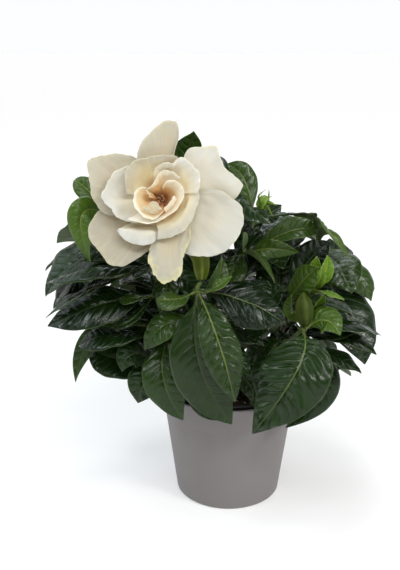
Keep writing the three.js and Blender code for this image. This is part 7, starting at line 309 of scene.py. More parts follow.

# petal: name, thickness, how yellow its margin is, ruffle height, raggedness,
# shade (painted shade: darkening that stands in for shadow and dimmer light on some petals),
# gold at the foot (partly painted glow of light scattered in the creases), tan blush, net of 4 rows by 13 points
PETALS = [
    ("petal_outer_top", 0.8, 0.2, 0.25, 0.015, 0.84, 0.3, 0, [
        [-52.99, -62.75, 264.25, -52.45, -62.79, 264.12, -51.91, -62.83, 263.98, -51.37, -62.87, 263.84, -50.82, -62.91, 263.72, -50.27, -62.94, 263.63, -49.72, -62.95, 263.58, -49.16, -62.95, 263.59, -48.6, -62.94, 263.63, -48.05, -62.92, 263.7, -47.5, -62.89, 263.78, -46.94, -62.87, 263.85, -46.39, -62.85, 263.92],
        [-57.41, -61.13, 268.75, -57.53, -60.92, 271.05, -56.99, -60.65, 273.37, -55.66, -60.34, 275.52, -53.71, -60.03, 277.34, -51.45, -59.74, 278.91, -48.99, -59.27, 280.23, -46.28, -59.06, 280.09, -45.17, -59.6, 277.84, -45.3, -60.09, 275.52, -45.66, -60.45, 273.23, -45.78, -60.73, 270.89, -45.59, -61.03, 268.5],
        [-61.74, -60.8, 273.47, -62.51, -60.35, 278.18, -61.97, -59.78, 282.93, -59.84, -59.12, 287.35, -56.51, -58.47, 291.08, -52.56, -57.87, 294.28, -48.22, -56.92, 296.97, -43.37, -56.51, 296.69, -41.71, -57.59, 292.17, -42.52, -58.58, 287.48, -43.79, -59.31, 282.87, -44.57, -59.89, 278.14, -44.75, -60.5, 273.31],
        [-65.95, -61.78, 278.38, -67.36, -61.09, 285.46, -66.81, -60.23, 292.6, -63.9, -59.25, 299.23, -59.19, -58.26, 304.84, -53.58, -57.37, 309.63, -47.39, -55.95, 313.66, -40.44, -55.31, 313.27, -38.24, -56.93, 306.53, -39.72, -58.4, 299.52, -41.88, -59.5, 292.62, -43.33, -60.35, 285.53, -43.86, -61.28, 278.3],
    ]),
    ("petal_outer_upper_left", 0.8, 0.2, 0.4, 0.03, 0.89, 0.2, 0, [
        [-59.3, -63.79, 257.76, -59.19, -63.62, 258.26, -59.1, -63.45, 258.75, -59, -63.28, 259.25, -58.87, -63.11, 259.74, -58.7, -62.95, 260.22, -58.47, -62.78, 260.67, -58.19, -62.62, 261.09, -57.87, -62.47, 261.49, -57.54, -62.32, 261.88, -57.2, -62.17, 262.26, -56.86, -62.02, 262.64, -56.54, -61.87, 263.03],
        [-63.73, -63.89, 256.61, -66.19, -64.45, 255.66, -68.85, -64.8, 255.87, -71.02, -64.68, 257.9, -72.24, -64.18, 260.73, -72.67, -63.49, 263.81, -72.98, -62.56, 266.9, -72.51, -61.32, 269.82, -69.69, -60.58, 271.03, -66.65, -59.99, 271.59, -63.59, -59.49, 271.7, -60.7, -59.19, 271.08, -58.66, -59.4, 269.15],
        [-68.08, -64.94, 255.64, -73.1, -66.26, 253.26, -78.49, -67.19, 253.21, -82.89, -67.19, 256.78, -85.41, -66.42, 261.93, -86.42, -65.26, 267.6, -87.26, -63.56, 273.3, -86.63, -61.2, 278.7, -81.35, -59.82, 280.71, -75.64, -58.75, 281.45, -69.88, -57.82, 281.29, -64.48, -57.31, 279.66, -60.73, -57.84, 275.43],
        [-72.34, -66.88, 254.85, -79.88, -68.98, 251.07, -87.96, -70.5, 250.76, -94.53, -70.65, 255.86, -98.32, -69.65, 263.31, -99.89, -68.04, 271.53, -101.25, -65.6, 279.79, -100.48, -62.1, 287.64, -92.79, -60.07, 290.45, -84.46, -58.49, 291.37, -76.06, -57.11, 290.97, -68.17, -56.35, 288.36, -62.73, -57.16, 281.83],
    ]),
    ("petal_outer_lower_left", 0.8, 0.35, 0.45, 0.02, 1.38, 0.25, 0, [
        [-52.42, -65.17, 248.13, -53.04, -65.11, 248.33, -53.67, -65.05, 248.51, -54.3, -65, 248.69, -54.91, -64.93, 248.91, -55.5, -64.84, 249.19, -56.02, -64.73, 249.56, -56.45, -64.58, 250.04, -56.81, -64.42, 250.57, -57.11, -64.25, 251.12, -57.4, -64.08, 251.69, -57.69, -63.91, 252.25, -58, -63.74, 252.8],
        [-53.42, -65.23, 243.39, -54.86, -66.38, 241.03, -57.34, -67.57, 239.59, -60.12, -68.71, 238.5, -63.02, -69.81, 237.78, -66.12, -69.88, 238.79, -68.25, -68.96, 241.2, -70.55, -67.98, 243.44, -71.84, -66.61, 246.14, -71.6, -65.03, 249.02, -70.22, -63.62, 251.46, -67.96, -62.64, 253.09, -65.31, -62.08, 253.88],
        [-54.35, -66.66, 238.94, -56.59, -69.08, 234.04, -60.92, -71.61, 231.04, -65.8, -74.04, 228.75, -70.92, -76.41, 227.16, -76.49, -76.67, 228.91, -80.22, -74.94, 233.32, -84.39, -73.08, 237.29, -86.63, -70.45, 242.11, -85.91, -67.37, 247.26, -82.9, -64.65, 251.54, -78.12, -62.79, 254.22, -72.53, -61.81, 255.25],
        [-55.2, -69.44, 234.82, -58.24, -73.14, 227.42, -64.37, -77.04, 222.91, -71.31, -80.8, 219.47, -78.58, -84.47, 217.09, -86.54, -84.94, 219.6, -91.84, -82.41, 225.94, -97.86, -79.68, 231.59, -101.07, -75.76, 238.47, -99.92, -71.16, 245.83, -95.35, -67.09, 251.92, -88.11, -64.33, 255.62, -79.6, -62.91, 256.88],
    ]),
    ("petal_outer_bottom", 0.8, 1.0, 0.8, 0.065, 0.84, 0.28, 0, [
        [-40.44, -68.49, 250.25, -40.97, -68.63, 249.92, -41.48, -68.78, 249.57, -41.99, -68.93, 249.22, -42.51, -69.07, 248.88, -43.06, -69.19, 248.58, -43.65, -69.28, 248.36, -44.28, -69.3, 248.27, -44.92, -69.26, 248.32, -45.54, -69.18, 248.45, -46.15, -69.08, 248.61, -46.75, -68.98, 248.79, -47.37, -68.9, 248.93],
        [-37.16, -71.07, 247.98, -37.25, -72.33, 245.59, -38.39, -73.39, 243.23, -39.55, -74.33, 240.82, -40.16, -75.25, 238.29, -41.18, -76.09, 235.87, -43.51, -76.61, 234.34, -46.33, -76.51, 234.56, -48.57, -75.93, 236.17, -49.97, -75.12, 238.39, -50.67, -74.14, 240.77, -50.44, -73.04, 243.03, -49.83, -71.95, 245.12],
        [-33.92, -72.63, 245.51, -33.59, -75, 241.06, -35.35, -76.97, 236.71, -37.17, -78.71, 232.26, -37.86, -80.39, 227.55, -39.36, -81.95, 223.04, -43.41, -82.9, 220.19, -48.4, -82.67, 220.73, -52.23, -81.55, 223.88, -54.42, -80.01, 228.19, -55.21, -78.17, 232.75, -54.16, -76.06, 237.08, -52.32, -73.98, 241.11],
        [-30.7, -73.17, 242.81, -29.95, -76.65, 236.3, -32.35, -79.53, 229.97, -34.82, -82.06, 223.48, -35.6, -84.51, 216.6, -37.57, -86.78, 209.99, -43.35, -88.16, 205.84, -50.51, -87.8, 206.7, -55.93, -86.15, 211.38, -58.91, -83.89, 217.76, -59.79, -81.17, 224.52, -57.93, -78.07, 230.91, -54.86, -74.99, 236.87],
    ]),
    ("petal_outer_lower_right", 0.8, 0.5, 0.5, 0.025, 0.58, 0.14, 0, [
        [-36.3, -64.46, 260.01, -36.28, -64.61, 259.33, -36.23, -64.77, 258.65, -36.17, -64.92, 257.97, -36.12, -65.07, 257.29, -36.11, -65.22, 256.61, -36.16, -65.36, 255.93, -36.32, -65.49, 255.26, -36.62, -65.6, 254.65, -37.02, -65.69, 254.09, -37.48, -65.76, 253.57, -37.96, -65.83, 253.07, -38.41, -65.91, 252.54],
        [-33.29, -64.36, 261.16, -30.27, -65.08, 261.71, -27.15, -65.49, 261.5, -24.39, -66.27, 259.35, -22.07, -67.21, 256.73, -21.77, -68.3, 253.31, -22.94, -69.14, 249.91, -24.73, -69.84, 246.77, -27.34, -69.7, 244.66, -30.69, -69.63, 243.58, -34, -69.2, 243.12, -37.23, -68.32, 243.79, -37.96, -67.13, 246.42],
        [-30.27, -64.95, 262.44, -24.28, -66.23, 264.2, -18.12, -66.91, 264.46, -12.7, -68.31, 260.85, -8.13, -70.03, 256.31, -7.55, -72.05, 250.19, -9.82, -73.58, 244.09, -13.22, -74.83, 238.48, -18.11, -74.46, 234.87, -24.38, -74.23, 233.27, -30.51, -73.31, 232.85, -36.48, -71.49, 234.68, -37.49, -69.02, 240.44],
        [-27.25, -66.22, 263.84, -18.33, -68.07, 266.81, -9.19, -69.02, 267.53, -1.14, -71.04, 262.47, 5.64, -73.53, 256.05, 6.49, -76.47, 247.25, 3.15, -78.68, 238.48, -1.85, -80.48, 230.45, -8.96, -79.87, 225.32, -18.11, -79.49, 223.19, -27.03, -78.07, 222.79, -35.72, -75.32, 225.74, -37.01, -71.6, 234.63],
    ]),
    ("petal_outer_upper_right", 0.8, 0.5, 0.4, 0.02, 0.46, 0.18, 0, [
        [-43.31, -62.08, 261.66, -42.81, -62.11, 261.44, -42.3, -62.13, 261.23, -41.79, -62.16, 261.02, -41.3, -62.2, 260.78, -40.82, -62.24, 260.51, -40.39, -62.31, 260.17, -40.01, -62.39, 259.79, -39.68, -62.49, 259.36, -39.36, -62.59, 258.92, -39.06, -62.7, 258.47, -38.76, -62.8, 258.03, -38.44, -62.9, 257.59],
        [-41.46, -59.98, 267.61, -40.18, -59.72, 270.17, -38.43, -59.83, 272.44, -35.22, -60.25, 272.7, -31.99, -60.48, 272.98, -30.46, -61.75, 270.73, -29, -62.26, 267.89, -26.73, -62.65, 265.55, -24.39, -63, 263.27, -24.99, -62.8, 260.5, -27.05, -62.44, 258.48, -29.66, -62.28, 257.37, -32.41, -62.25, 256.75],
        [-39.58, -58.82, 273.73, -37.53, -58.36, 279.06, -34.55, -58.68, 283.78, -28.68, -59.59, 284.49, -22.74, -60.07, 285.28, -20.2, -62.63, 281.07, -17.72, -63.53, 275.76, -13.56, -64.18, 271.49, -9.23, -64.74, 267.38, -10.67, -64.08, 262.28, -15.05, -63.12, 258.66, -20.54, -62.64, 256.89, -26.36, -62.46, 256.08],
        [-37.68, -58.57, 279.96, -34.87, -57.95, 288.04, -30.7, -58.55, 295.16, -22.2, -59.98, 296.29, -13.63, -60.74, 297.56, -10.11, -64.62, 291.41, -6.61, -65.88, 283.7, -0.59, -66.76, 277.54, 5.72, -67.5, 271.62, 3.51, -66.32, 264.22, -3.11, -64.7, 259.02, -11.45, -63.86, 256.59, -20.31, -63.51, 255.59],
    ]),
    ("petal_mid_left", 0.7, 0.15, 0.5, 0.05, 0.5, 0.35, 0, [
        [-60.53, -66.66, 256.92, -60.3, -66.52, 257.5, -60.1, -66.38, 258.09, -59.9, -66.23, 258.67, -59.67, -66.09, 259.25, -59.4, -65.96, 259.81, -59.07, -65.83, 260.35, -58.68, -65.72, 260.83, -58.24, -65.61, 261.28, -57.77, -65.52, 261.71, -57.29, -65.42, 262.12, -56.81, -65.33, 262.53, -56.35, -65.24, 262.96],
        [-60.52, -67.98, 252.85, -62.55, -68.16, 253.46, -64.59, -68.24, 254.22, -66.65, -68.12, 255.09, -67.83, -67.62, 257.01, -69.14, -67.1, 258.99, -70.04, -66.62, 261.14, -69.33, -65.98, 263.59, -67.95, -65.38, 265.8, -66.11, -64.83, 267.7, -63.91, -64.24, 269.06, -61.56, -63.63, 269.44, -59.84, -63.18, 268.18],
        [-60.38, -71.31, 249.21, -64.63, -71.9, 249.88, -68.88, -72.27, 250.82, -73.18, -72.21, 251.98, -75.74, -71.37, 255.22, -78.62, -70.49, 258.62, -80.73, -69.69, 262.36, -79.69, -68.56, 266.75, -77.4, -67.48, 270.71, -74.2, -66.48, 274.05, -70.31, -65.34, 276.34, -66.13, -64.06, 276.68, -63.2, -63.01, 273.72],
        [-60.12, -76.38, 245.99, -66.55, -77.43, 246.73, -72.96, -78.12, 247.86, -79.44, -78.14, 249.31, -83.36, -76.97, 253.85, -87.76, -75.75, 258.63, -91.04, -74.67, 263.93, -89.69, -73.06, 270.23, -86.49, -71.53, 275.88, -81.98, -70.08, 280.64, -76.44, -68.37, 283.83, -70.5, -66.35, 284.13, -66.4, -64.57, 279.51],
    ]),
    ("petal_mid_top_left", 0.7, 0.3, 0.42, 0.03, 0.84, 0.9, 0, [
        [-56.23, -67.42, 262.67, -55.86, -67.26, 263.19, -55.52, -67.09, 263.72, -55.17, -66.93, 264.25, -54.78, -66.78, 264.75, -54.31, -66.64, 265.19, -53.77, -66.54, 265.53, -53.17, -66.46, 265.79, -52.55, -66.4, 265.99, -51.92, -66.35, 266.15, -51.28, -66.31, 266.3, -50.65, -66.26, 266.45, -50.02, -66.2, 266.63],
        [-62.17, -67.75, 263.43, -62.41, -67.62, 265.46, -62.3, -67.35, 267.56, -61.7, -66.92, 269.65, -60.54, -66.5, 271.54, -58.75, -66.18, 272.9, -56.59, -66.04, 273.59, -54.35, -65.92, 274.06, -52.07, -65.81, 274.36, -49.79, -65.68, 274.69, -47.62, -65.56, 274.41, -45.94, -65.46, 273.32, -44.93, -65.34, 271.8],
        [-67.95, -69.84, 264.51, -68.76, -69.95, 268.07, -68.87, -69.76, 271.75, -68.01, -69.16, 275.4, -66.09, -68.55, 278.66, -63, -68.09, 280.92, -59.24, -67.93, 281.96, -55.38, -67.79, 282.64, -51.47, -67.63, 283.04, -47.58, -67.4, 283.53, -43.89, -67.12, 282.81, -41.18, -66.77, 280.48, -39.8, -66.31, 277.26],
        [-73.56, -73.34, 265.85, -74.9, -73.82, 270.93, -75.19, -73.81, 276.17, -74.07, -73.1, 281.34, -71.4, -72.35, 285.93, -67.03, -71.78, 289.07, -61.72, -71.63, 290.45, -56.28, -71.47, 291.33, -50.78, -71.25, 291.84, -45.33, -70.92, 292.47, -40.16, -70.43, 291.34, -36.45, -69.7, 287.79, -34.69, -68.76, 282.89],
    ]),
    ("petal_mid_top_right", 0.7, 0.35, 0.5, 0.05, 0.3, 0.85, 0, [
        [-52.65, -68.98, 265.74, -52.03, -68.92, 265.96, -51.43, -68.84, 266.21, -50.83, -68.77, 266.45, -50.21, -68.71, 266.65, -49.57, -68.68, 266.75, -48.92, -68.7, 266.66, -48.33, -68.79, 266.39, -47.79, -68.9, 266.04, -47.29, -69.02, 265.64, -46.79, -69.14, 265.22, -46.3, -69.27, 264.81, -45.78, -69.39, 264.43],
        [-53.57, -68.33, 267.7, -53.13, -68.46, 269.51, -52.33, -68.41, 271.31, -50.93, -68.15, 272.85, -48.79, -67.98, 273.34, -46.81, -67.89, 273.46, -44.96, -67.78, 274.31, -42.86, -68.03, 273.75, -41.17, -68.44, 272.36, -39.76, -68.83, 270.73, -38.86, -69.37, 268.84, -38.65, -69.92, 266.87, -39, -70.23, 265.05],
        [-54.36, -69.92, 270.06, -54.09, -70.55, 273.49, -53.07, -70.74, 276.84, -50.87, -70.4, 279.67, -47.25, -70.13, 280.44, -43.97, -69.95, 280.6, -40.93, -69.78, 282.36, -37.34, -70.21, 281.51, -34.52, -70.93, 279.11, -32.22, -71.52, 276.27, -30.93, -72.46, 272.93, -30.99, -73.4, 269.42, -32.2, -73.77, 266.16],
        [-55.03, -73.44, 272.73, -54.9, -74.74, 277.77, -53.67, -75.31, 282.64, -50.71, -74.95, 286.73, -45.64, -74.56, 287.76, -41.09, -74.28, 287.95, -36.9, -74.1, 290.61, -31.88, -74.74, 289.49, -27.96, -75.73, 286.11, -24.79, -76.5, 282.09, -23.13, -77.81, 277.33, -23.45, -79.12, 272.33, -25.48, -79.48, 267.66],
    ]),
    ("petal_mid_right_wrap", 0.7, 0.4, 0.32, 0.03, 0.64, 0.7, 0, [
        [-43.16, -66.03, 263.11, -42.93, -66.37, 261.98, -42.66, -66.71, 260.86, -42.46, -67.06, 259.72, -42.46, -67.41, 258.57, -42.74, -67.75, 257.46, -43.19, -68.08, 256.39, -43.8, -68.38, 255.4, -44.55, -68.66, 254.5, -45.49, -68.88, 253.78, -46.54, -69.05, 253.22, -47.62, -69.2, 252.73, -48.69, -69.36, 252.2],
        [-35.87, -66, 267.29, -35.29, -68.46, 265.25, -34.76, -70.9, 263.22, -34.85, -73.01, 261.03, -35.63, -74.61, 258.76, -36.84, -75.87, 256.52, -38.42, -76.88, 254.42, -40.41, -77.54, 252.51, -42.65, -77.91, 250.85, -45.08, -78.14, 249.45, -47.71, -78.21, 248.45, -50.43, -78.12, 247.76, -53.16, -78.04, 247.06],
        [-31.35, -67.78, 271.07, -30.61, -70.94, 268.44, -30.28, -73.95, 265.72, -30.58, -76.72, 262.92, -31.36, -79.08, 260.06, -32.64, -80.71, 257.07, -34.33, -81.8, 254.04, -36.54, -82.61, 251.27, -39.36, -83.11, 249.07, -42.5, -83.31, 247.31, -45.78, -83.3, 245.85, -49.2, -83.09, 244.72, -52.63, -82.86, 243.62],
        [-26.54, -68.27, 271.5, -24.8, -71.25, 268.1, -24.14, -73.78, 264.26, -24.89, -75.57, 260.11, -26.14, -77.02, 255.93, -27.78, -78.05, 251.81, -29.86, -79.01, 247.87, -32.23, -80.06, 244.09, -35.41, -80.94, 240.93, -39.44, -81.5, 238.8, -43.77, -81.78, 237.33, -48.28, -81.76, 236.5, -52.81, -81.69, 235.81],
    ]),
    ("petal_mid_lower_lip", 0.7, 0.2, 0.2, 0.015, 0.46, 0.5, 0, [
        [-50.9, -67.52, 248.63, -51.47, -67.51, 248.67, -52.03, -67.51, 248.69, -52.6, -67.5, 248.71, -53.17, -67.49, 248.74, -53.73, -67.47, 248.81, -54.28, -67.43, 248.93, -54.8, -67.37, 249.13, -55.3, -67.29, 249.39, -55.77, -67.2, 249.69, -56.23, -67.1, 250.01, -56.69, -67.01, 250.32, -57.16, -66.91, 250.63],
        [-53.53, -72.29, 242.61, -55.33, -72.34, 242.6, -57.12, -72.38, 242.59, -58.92, -72.42, 242.58, -60.71, -72.46, 242.61, -62.49, -72.51, 242.69, -64.27, -72.55, 242.84, -66.03, -72.6, 243.03, -67.8, -72.65, 243.23, -69.57, -72.68, 243.42, -71.34, -72.7, 243.6, -73.12, -72.71, 243.79, -74.89, -72.71, 243.97],
        [-52.48, -79.84, 241.18, -54.61, -80.34, 241.4, -56.73, -80.86, 241.63, -58.87, -81.3, 241.82, -61.07, -81.53, 241.93, -63.32, -81.56, 241.91, -65.57, -81.47, 241.81, -67.81, -81.28, 241.73, -70.05, -81.02, 241.74, -72.27, -80.66, 241.92, -74.45, -80.17, 242.25, -76.62, -79.61, 242.65, -78.79, -79.07, 243.03],
        [-53.25, -79.58, 236.56, -54.73, -80.93, 234.61, -56.71, -81.98, 233.03, -59.37, -82.35, 232.27, -62.19, -82.43, 232, -65.01, -82.43, 232.1, -67.81, -82.3, 232.51, -70.54, -82.07, 233.23, -73.11, -81.74, 234.35, -75.45, -81.31, 235.86, -77.55, -80.72, 237.66, -79.2, -79.82, 239.74, -80.56, -78.76, 241.98],
    ]),
    ("petal_inner_spiral", 0.6, 0.2, 0.28, 0.025, 0.0, 0.5, 0.06, [
        [-53.6, -72.37, 259.44, -52.83, -72.53, 258.94, -52.06, -72.69, 258.43, -51.18, -72.78, 258.13, -50.25, -72.75, 258.23, -49.38, -72.65, 258.54, -48.58, -72.51, 259.02, -47.98, -72.3, 259.7, -47.58, -72.05, 260.51, -47.44, -71.78, 261.39, -47.74, -71.52, 262.23, -48.28, -71.3, 262.96, -48.81, -71.07, 263.7],
        [-60.17, -74.24, 256, -57.89, -75.63, 255.35, -55.42, -76.23, 254.79, -52.83, -76.54, 254.71, -50.28, -76.52, 255.35, -47.93, -76.27, 256.54, -45.87, -75.85, 258.15, -44.22, -75.32, 260.16, -43.21, -74.69, 262.51, -43.41, -74, 265, -45.17, -73.58, 266.73, -47.51, -73.56, 267.32, -48.96, -73.08, 266.38],
        [-66.66, -76.9, 252.73, -62.84, -79.75, 252.01, -58.67, -80.88, 251.43, -54.4, -81.48, 251.58, -50.23, -81.51, 252.76, -46.44, -81.13, 254.82, -43.13, -80.46, 257.56, -40.47, -79.63, 260.88, -38.84, -78.65, 264.75, -39.4, -77.54, 268.81, -42.59, -77, 271.43, -46.7, -77.22, 271.87, -49.04, -76.31, 269.25],
        [-73.05, -80.19, 249.61, -67.66, -84.6, 248.88, -61.82, -86.31, 248.29, -55.89, -87.21, 248.69, -50.15, -87.31, 250.4, -44.94, -86.81, 253.33, -40.41, -85.91, 257.17, -36.75, -84.8, 261.77, -34.53, -83.47, 267.12, -35.43, -81.98, 272.73, -40.01, -81.33, 276.2, -45.85, -81.8, 276.5, -49.09, -80.39, 272.23],
    ]),
    ("petal_inner_left", 0.55, 0.2, 0.26, 0.04, 0.1, 0.6, 0.95, [
        [-49.41, -73.95, 260.44, -49.93, -74.02, 260.23, -50.43, -74.09, 260, -50.96, -74.15, 259.81, -51.52, -74.14, 259.81, -52.02, -74.07, 260.06, -52.45, -73.96, 260.41, -52.82, -73.84, 260.82, -53.11, -73.69, 261.28, -53.21, -73.53, 261.81, -53.12, -73.37, 262.34, -52.96, -73.21, 262.86, -52.82, -73.05, 263.38],
        [-48.97, -76.51, 258.76, -50.08, -77.11, 257.77, -51.42, -77.59, 257.01, -52.99, -77.85, 256.72, -54.56, -77.88, 257.05, -55.93, -77.71, 257.92, -57.04, -77.44, 259.08, -57.9, -77.11, 260.42, -58.42, -76.72, 261.91, -58.37, -76.27, 263.48, -57.72, -75.81, 264.91, -56.6, -75.41, 265.94, -55.41, -74.76, 266.11],
        [-48.51, -79.83, 257.25, -50.19, -81, 255.5, -52.35, -81.92, 254.23, -54.94, -82.39, 253.85, -57.52, -82.47, 254.51, -59.74, -82.24, 255.98, -61.51, -81.81, 257.96, -62.85, -81.3, 260.22, -63.61, -80.67, 262.72, -63.39, -79.93, 265.31, -62.21, -79.19, 267.63, -60.14, -78.54, 269.16, -57.92, -77.32, 268.97],
        [-48.02, -83.71, 255.87, -50.27, -85.47, 253.38, -53.24, -86.83, 251.62, -56.83, -87.53, 251.16, -60.38, -87.68, 252.15, -63.44, -87.37, 254.22, -65.86, -86.8, 256.99, -67.67, -86.12, 260.16, -68.65, -85.26, 263.66, -68.28, -84.25, 267.24, -66.56, -83.22, 270.43, -63.57, -82.31, 272.45, -60.36, -80.48, 271.91],
    ]),
    ("petal_inner_tooth", 0.55, 0.2, 0.25, 0.06, 0.86, 0.1, 0, [
        [-60.02, -85.23, 256.39, -59.37, -85.28, 256.11, -58.74, -85.33, 255.81, -58.1, -85.39, 255.5, -57.46, -85.44, 255.22, -56.79, -85.48, 254.98, -56.1, -85.5, 254.83, -55.39, -85.49, 254.82, -54.69, -85.45, 254.94, -54, -85.39, 255.14, -53.33, -85.32, 255.38, -52.66, -85.25, 255.62, -51.98, -85.19, 255.83],
        [-61.23, -86.73, 257.65, -60.36, -86.75, 257.85, -59.48, -86.77, 258.07, -58.62, -86.79, 258.3, -57.74, -86.82, 258.5, -56.85, -86.83, 258.64, -55.94, -86.83, 258.69, -55.05, -86.81, 258.61, -54.18, -86.78, 258.42, -53.33, -86.74, 258.17, -52.5, -86.69, 257.89, -51.66, -86.65, 257.61, -50.82, -86.61, 257.35],
        [-62.3, -87.26, 259.32, -60.84, -87.4, 259.67, -59.4, -87.53, 260.08, -58.19, -87.55, 260.94, -57.33, -87.47, 262.14, -56.26, -87.36, 263.14, -54.85, -87.25, 263.68, -53.36, -87.18, 263.77, -52.17, -87.27, 262.94, -51.37, -87.44, 261.72, -50.63, -87.56, 260.45, -49.87, -87.54, 259.21, -49.16, -87.47, 257.94],
    ]),
    ("petal_inner_upper", 0.5, 0.1, 0.15, 0.03, 0.15, 0.5, 0.25, [
        [-52.53, -71.76, 264.18, -52.08, -71.67, 264.4, -51.62, -71.58, 264.63, -51.16, -71.48, 264.84, -50.68, -71.37, 265.01, -50.2, -71.25, 265.14, -49.72, -71.12, 265.24, -49.24, -71, 265.38, -48.77, -70.88, 265.55, -48.31, -70.77, 265.76, -47.86, -70.66, 265.98, -47.41, -70.56, 266.21, -46.95, -70.45, 266.43],
        [-54.94, -73.72, 266.33, -53.98, -73.86, 267, -53.01, -73.72, 267.69, -52.21, -73.38, 268.49, -51.52, -72.92, 269.28, -50.9, -72.33, 270.03, -50.01, -71.82, 270.59, -48.93, -71.44, 270.93, -47.77, -71.24, 271.04, -46.63, -71.16, 271, -45.52, -71.16, 270.81, -44.54, -71.24, 270.44, -43.61, -71.36, 269.99],
        [-57.25, -76.93, 268.7, -55.78, -77.35, 269.8, -54.31, -77.16, 270.95, -53.18, -76.59, 272.33, -52.28, -75.75, 273.73, -51.53, -74.67, 275.09, -50.23, -73.74, 276.1, -48.57, -73.07, 276.64, -46.73, -72.79, 276.68, -44.9, -72.71, 276.4, -43.16, -72.82, 275.8, -41.66, -73.09, 274.83, -40.27, -73.43, 273.73],
        [-59.46, -81.12, 271.21, -57.48, -81.84, 272.75, -55.52, -81.63, 274.34, -54.08, -80.81, 276.29, -52.98, -79.58, 278.29, -52.09, -78, 280.25, -50.4, -76.63, 281.69, -48.16, -75.68, 282.43, -45.66, -75.29, 282.4, -43.16, -75.23, 281.88, -40.8, -75.44, 280.89, -38.78, -75.9, 279.33, -36.93, -76.45, 277.58],
    ]),
    ("petal_inner_crinkle", 0.55, 0.2, 0.3, 0.06, 0.1, 0.7, 0.8, [
        [-53.92, -76.99, 262.82, -53.88, -76.96, 262.93, -53.84, -76.92, 263.03, -53.8, -76.89, 263.14, -53.76, -76.86, 263.25, -53.71, -76.83, 263.35, -53.66, -76.8, 263.45, -53.6, -76.77, 263.55, -53.53, -76.74, 263.64, -53.46, -76.71, 263.73, -53.39, -76.68, 263.82, -53.31, -76.66, 263.9, -53.24, -76.63, 263.99],
        [-55.02, -78.46, 263.56, -55.09, -78.46, 263.82, -55.16, -78.48, 264.07, -55.23, -78.48, 264.33, -55.31, -78.48, 264.58, -55.38, -78.47, 264.83, -55.46, -78.44, 265.08, -55.54, -78.4, 265.33, -55.61, -78.35, 265.57, -55.67, -78.25, 265.81, -55.7, -78.07, 266.01, -55.5, -78, 265.92, -55.3, -77.95, 265.84],
        [-56.09, -80.35, 264.38, -56.27, -80.41, 264.78, -56.45, -80.48, 265.19, -56.63, -80.54, 265.6, -56.82, -80.58, 266, -57.01, -80.59, 266.4, -57.22, -80.57, 266.8, -57.43, -80.53, 267.19, -57.63, -80.45, 267.58, -57.83, -80.27, 267.96, -57.96, -79.93, 268.27, -57.64, -79.8, 268.02, -57.33, -79.72, 267.75],
        [-57.14, -82.52, 265.24, -57.42, -82.64, 265.8, -57.71, -82.77, 266.36, -58, -82.89, 266.91, -58.3, -82.98, 267.46, -58.61, -83.01, 268.01, -58.94, -83.01, 268.55, -59.27, -82.98, 269.09, -59.62, -82.87, 269.63, -59.95, -82.62, 270.15, -60.19, -82.11, 270.58, -59.75, -81.91, 270.15, -59.31, -81.78, 269.71],
    ]),
    ("petal_inner_fold", 0.5, 0.2, 0.1, 0.03, 0.2, 0.35, 0, [
        [-39.58, -82.17, 264.36, -40.02, -82.35, 263.52, -40.44, -82.53, 262.68, -40.86, -82.71, 261.83, -41.3, -82.89, 261, -41.79, -83.07, 260.2, -42.36, -83.25, 259.43, -43, -83.42, 258.73, -43.7, -83.58, 258.08, -44.43, -83.74, 257.46, -45.18, -83.89, 256.86, -45.93, -84.05, 256.25, -46.66, -84.21, 255.63],
        [-40.38, -84.26, 265.7, -40.87, -84.51, 264.91, -41.34, -84.77, 264.12, -41.81, -85.03, 263.32, -42.31, -85.28, 262.53, -42.83, -85.51, 261.76, -43.41, -85.7, 261.02, -44.05, -85.84, 260.34, -44.73, -85.94, 259.69, -45.45, -86.02, 259.08, -46.18, -86.08, 258.48, -46.91, -86.14, 257.88, -47.62, -86.21, 257.27],
        [-41.11, -85.89, 267.22, -41.6, -86.12, 266.48, -42.07, -86.37, 265.74, -42.55, -86.61, 264.99, -43.03, -86.85, 264.25, -43.53, -87.07, 263.51, -44.07, -87.26, 262.8, -44.65, -87.41, 262.13, -45.28, -87.51, 261.49, -45.93, -87.58, 260.88, -46.6, -87.64, 260.28, -47.27, -87.69, 259.68, -47.93, -87.75, 259.08],
    ]),
]
CALYX_LINE = [[-22.73, -65.1, 202.51], [-22.87, -63.59, 208.47], [-23.09, -61.91, 214.68], [-24.51, -59.84, 220.41]]
CALYX_RADII = [3.4, 5.6, 6.1, 7.0]
CALYX_RIBS = 6
TUBE_LINE = [[-23.37, -61.8, 215.02], [-24.8, -59.51, 222.16], [-28.79, -58.56, 230.74], [-35.83, -59.35, 241.84], [-43.49, -59.81, 251.28], [-48.62, -61.32, 257.28], [-50.98, -65.34, 259.89], [-50.99, -70.61, 261.12]]
TUBE_RADII = [2.6, 2.6, 2.7, 2.8, 3.2, 3.6, 2.6, 4.2]
BUD_LINE = [[54.05, -54.86, 164.17], [53.58, -55.66, 170.11], [52.85, -54.45, 177.49], [52.42, -53.2, 183.28], [51.99, -52.07, 188.72]]
BUD_RADII = [2.6, 5.6, 6.7, 5.2, 1.0]
SEPAL_BUD_LINE = [[21.32, -16.58, 243.9], [22.39, -16.82, 245.87], [24.54, -17.08, 250.14], [26.73, -17.07, 253.58]]
SEPAL_BUD_RADII = [2.4, 4.3, 4.6, 2.2]
SEPALS = [
  [[22.28, -17.96, 247.25], [19.72, -19.93, 254.49], [25.93, -20.38, 259.87]],
  [[23.87, -16.53, 248.5], [27.48, -16.96, 253.94], [28.32, -14.43, 258.81]],
  [[24.46, -18.51, 248.89], [28.55, -23.44, 249.86], [33.68, -24.97, 248.26]],
  [[23.71, -18.95, 247.45], [27.05, -24.75, 245.56], [30.7, -27.37, 240.41]],
  [[23.19, -15.77, 247.58], [26.72, -8.73, 250.08], [31.68, -4.1, 251.53]],
  [[21.37, -20.15, 246.92], [20.17, -24.76, 252.38], [22.17, -26.53, 256.85]],
]
THROAT = (-0.05099, -0.07061, 0.26112)  # metres, the middle of the open flower
WORLD_COLOR = (0.985, 0.992, 1.0)
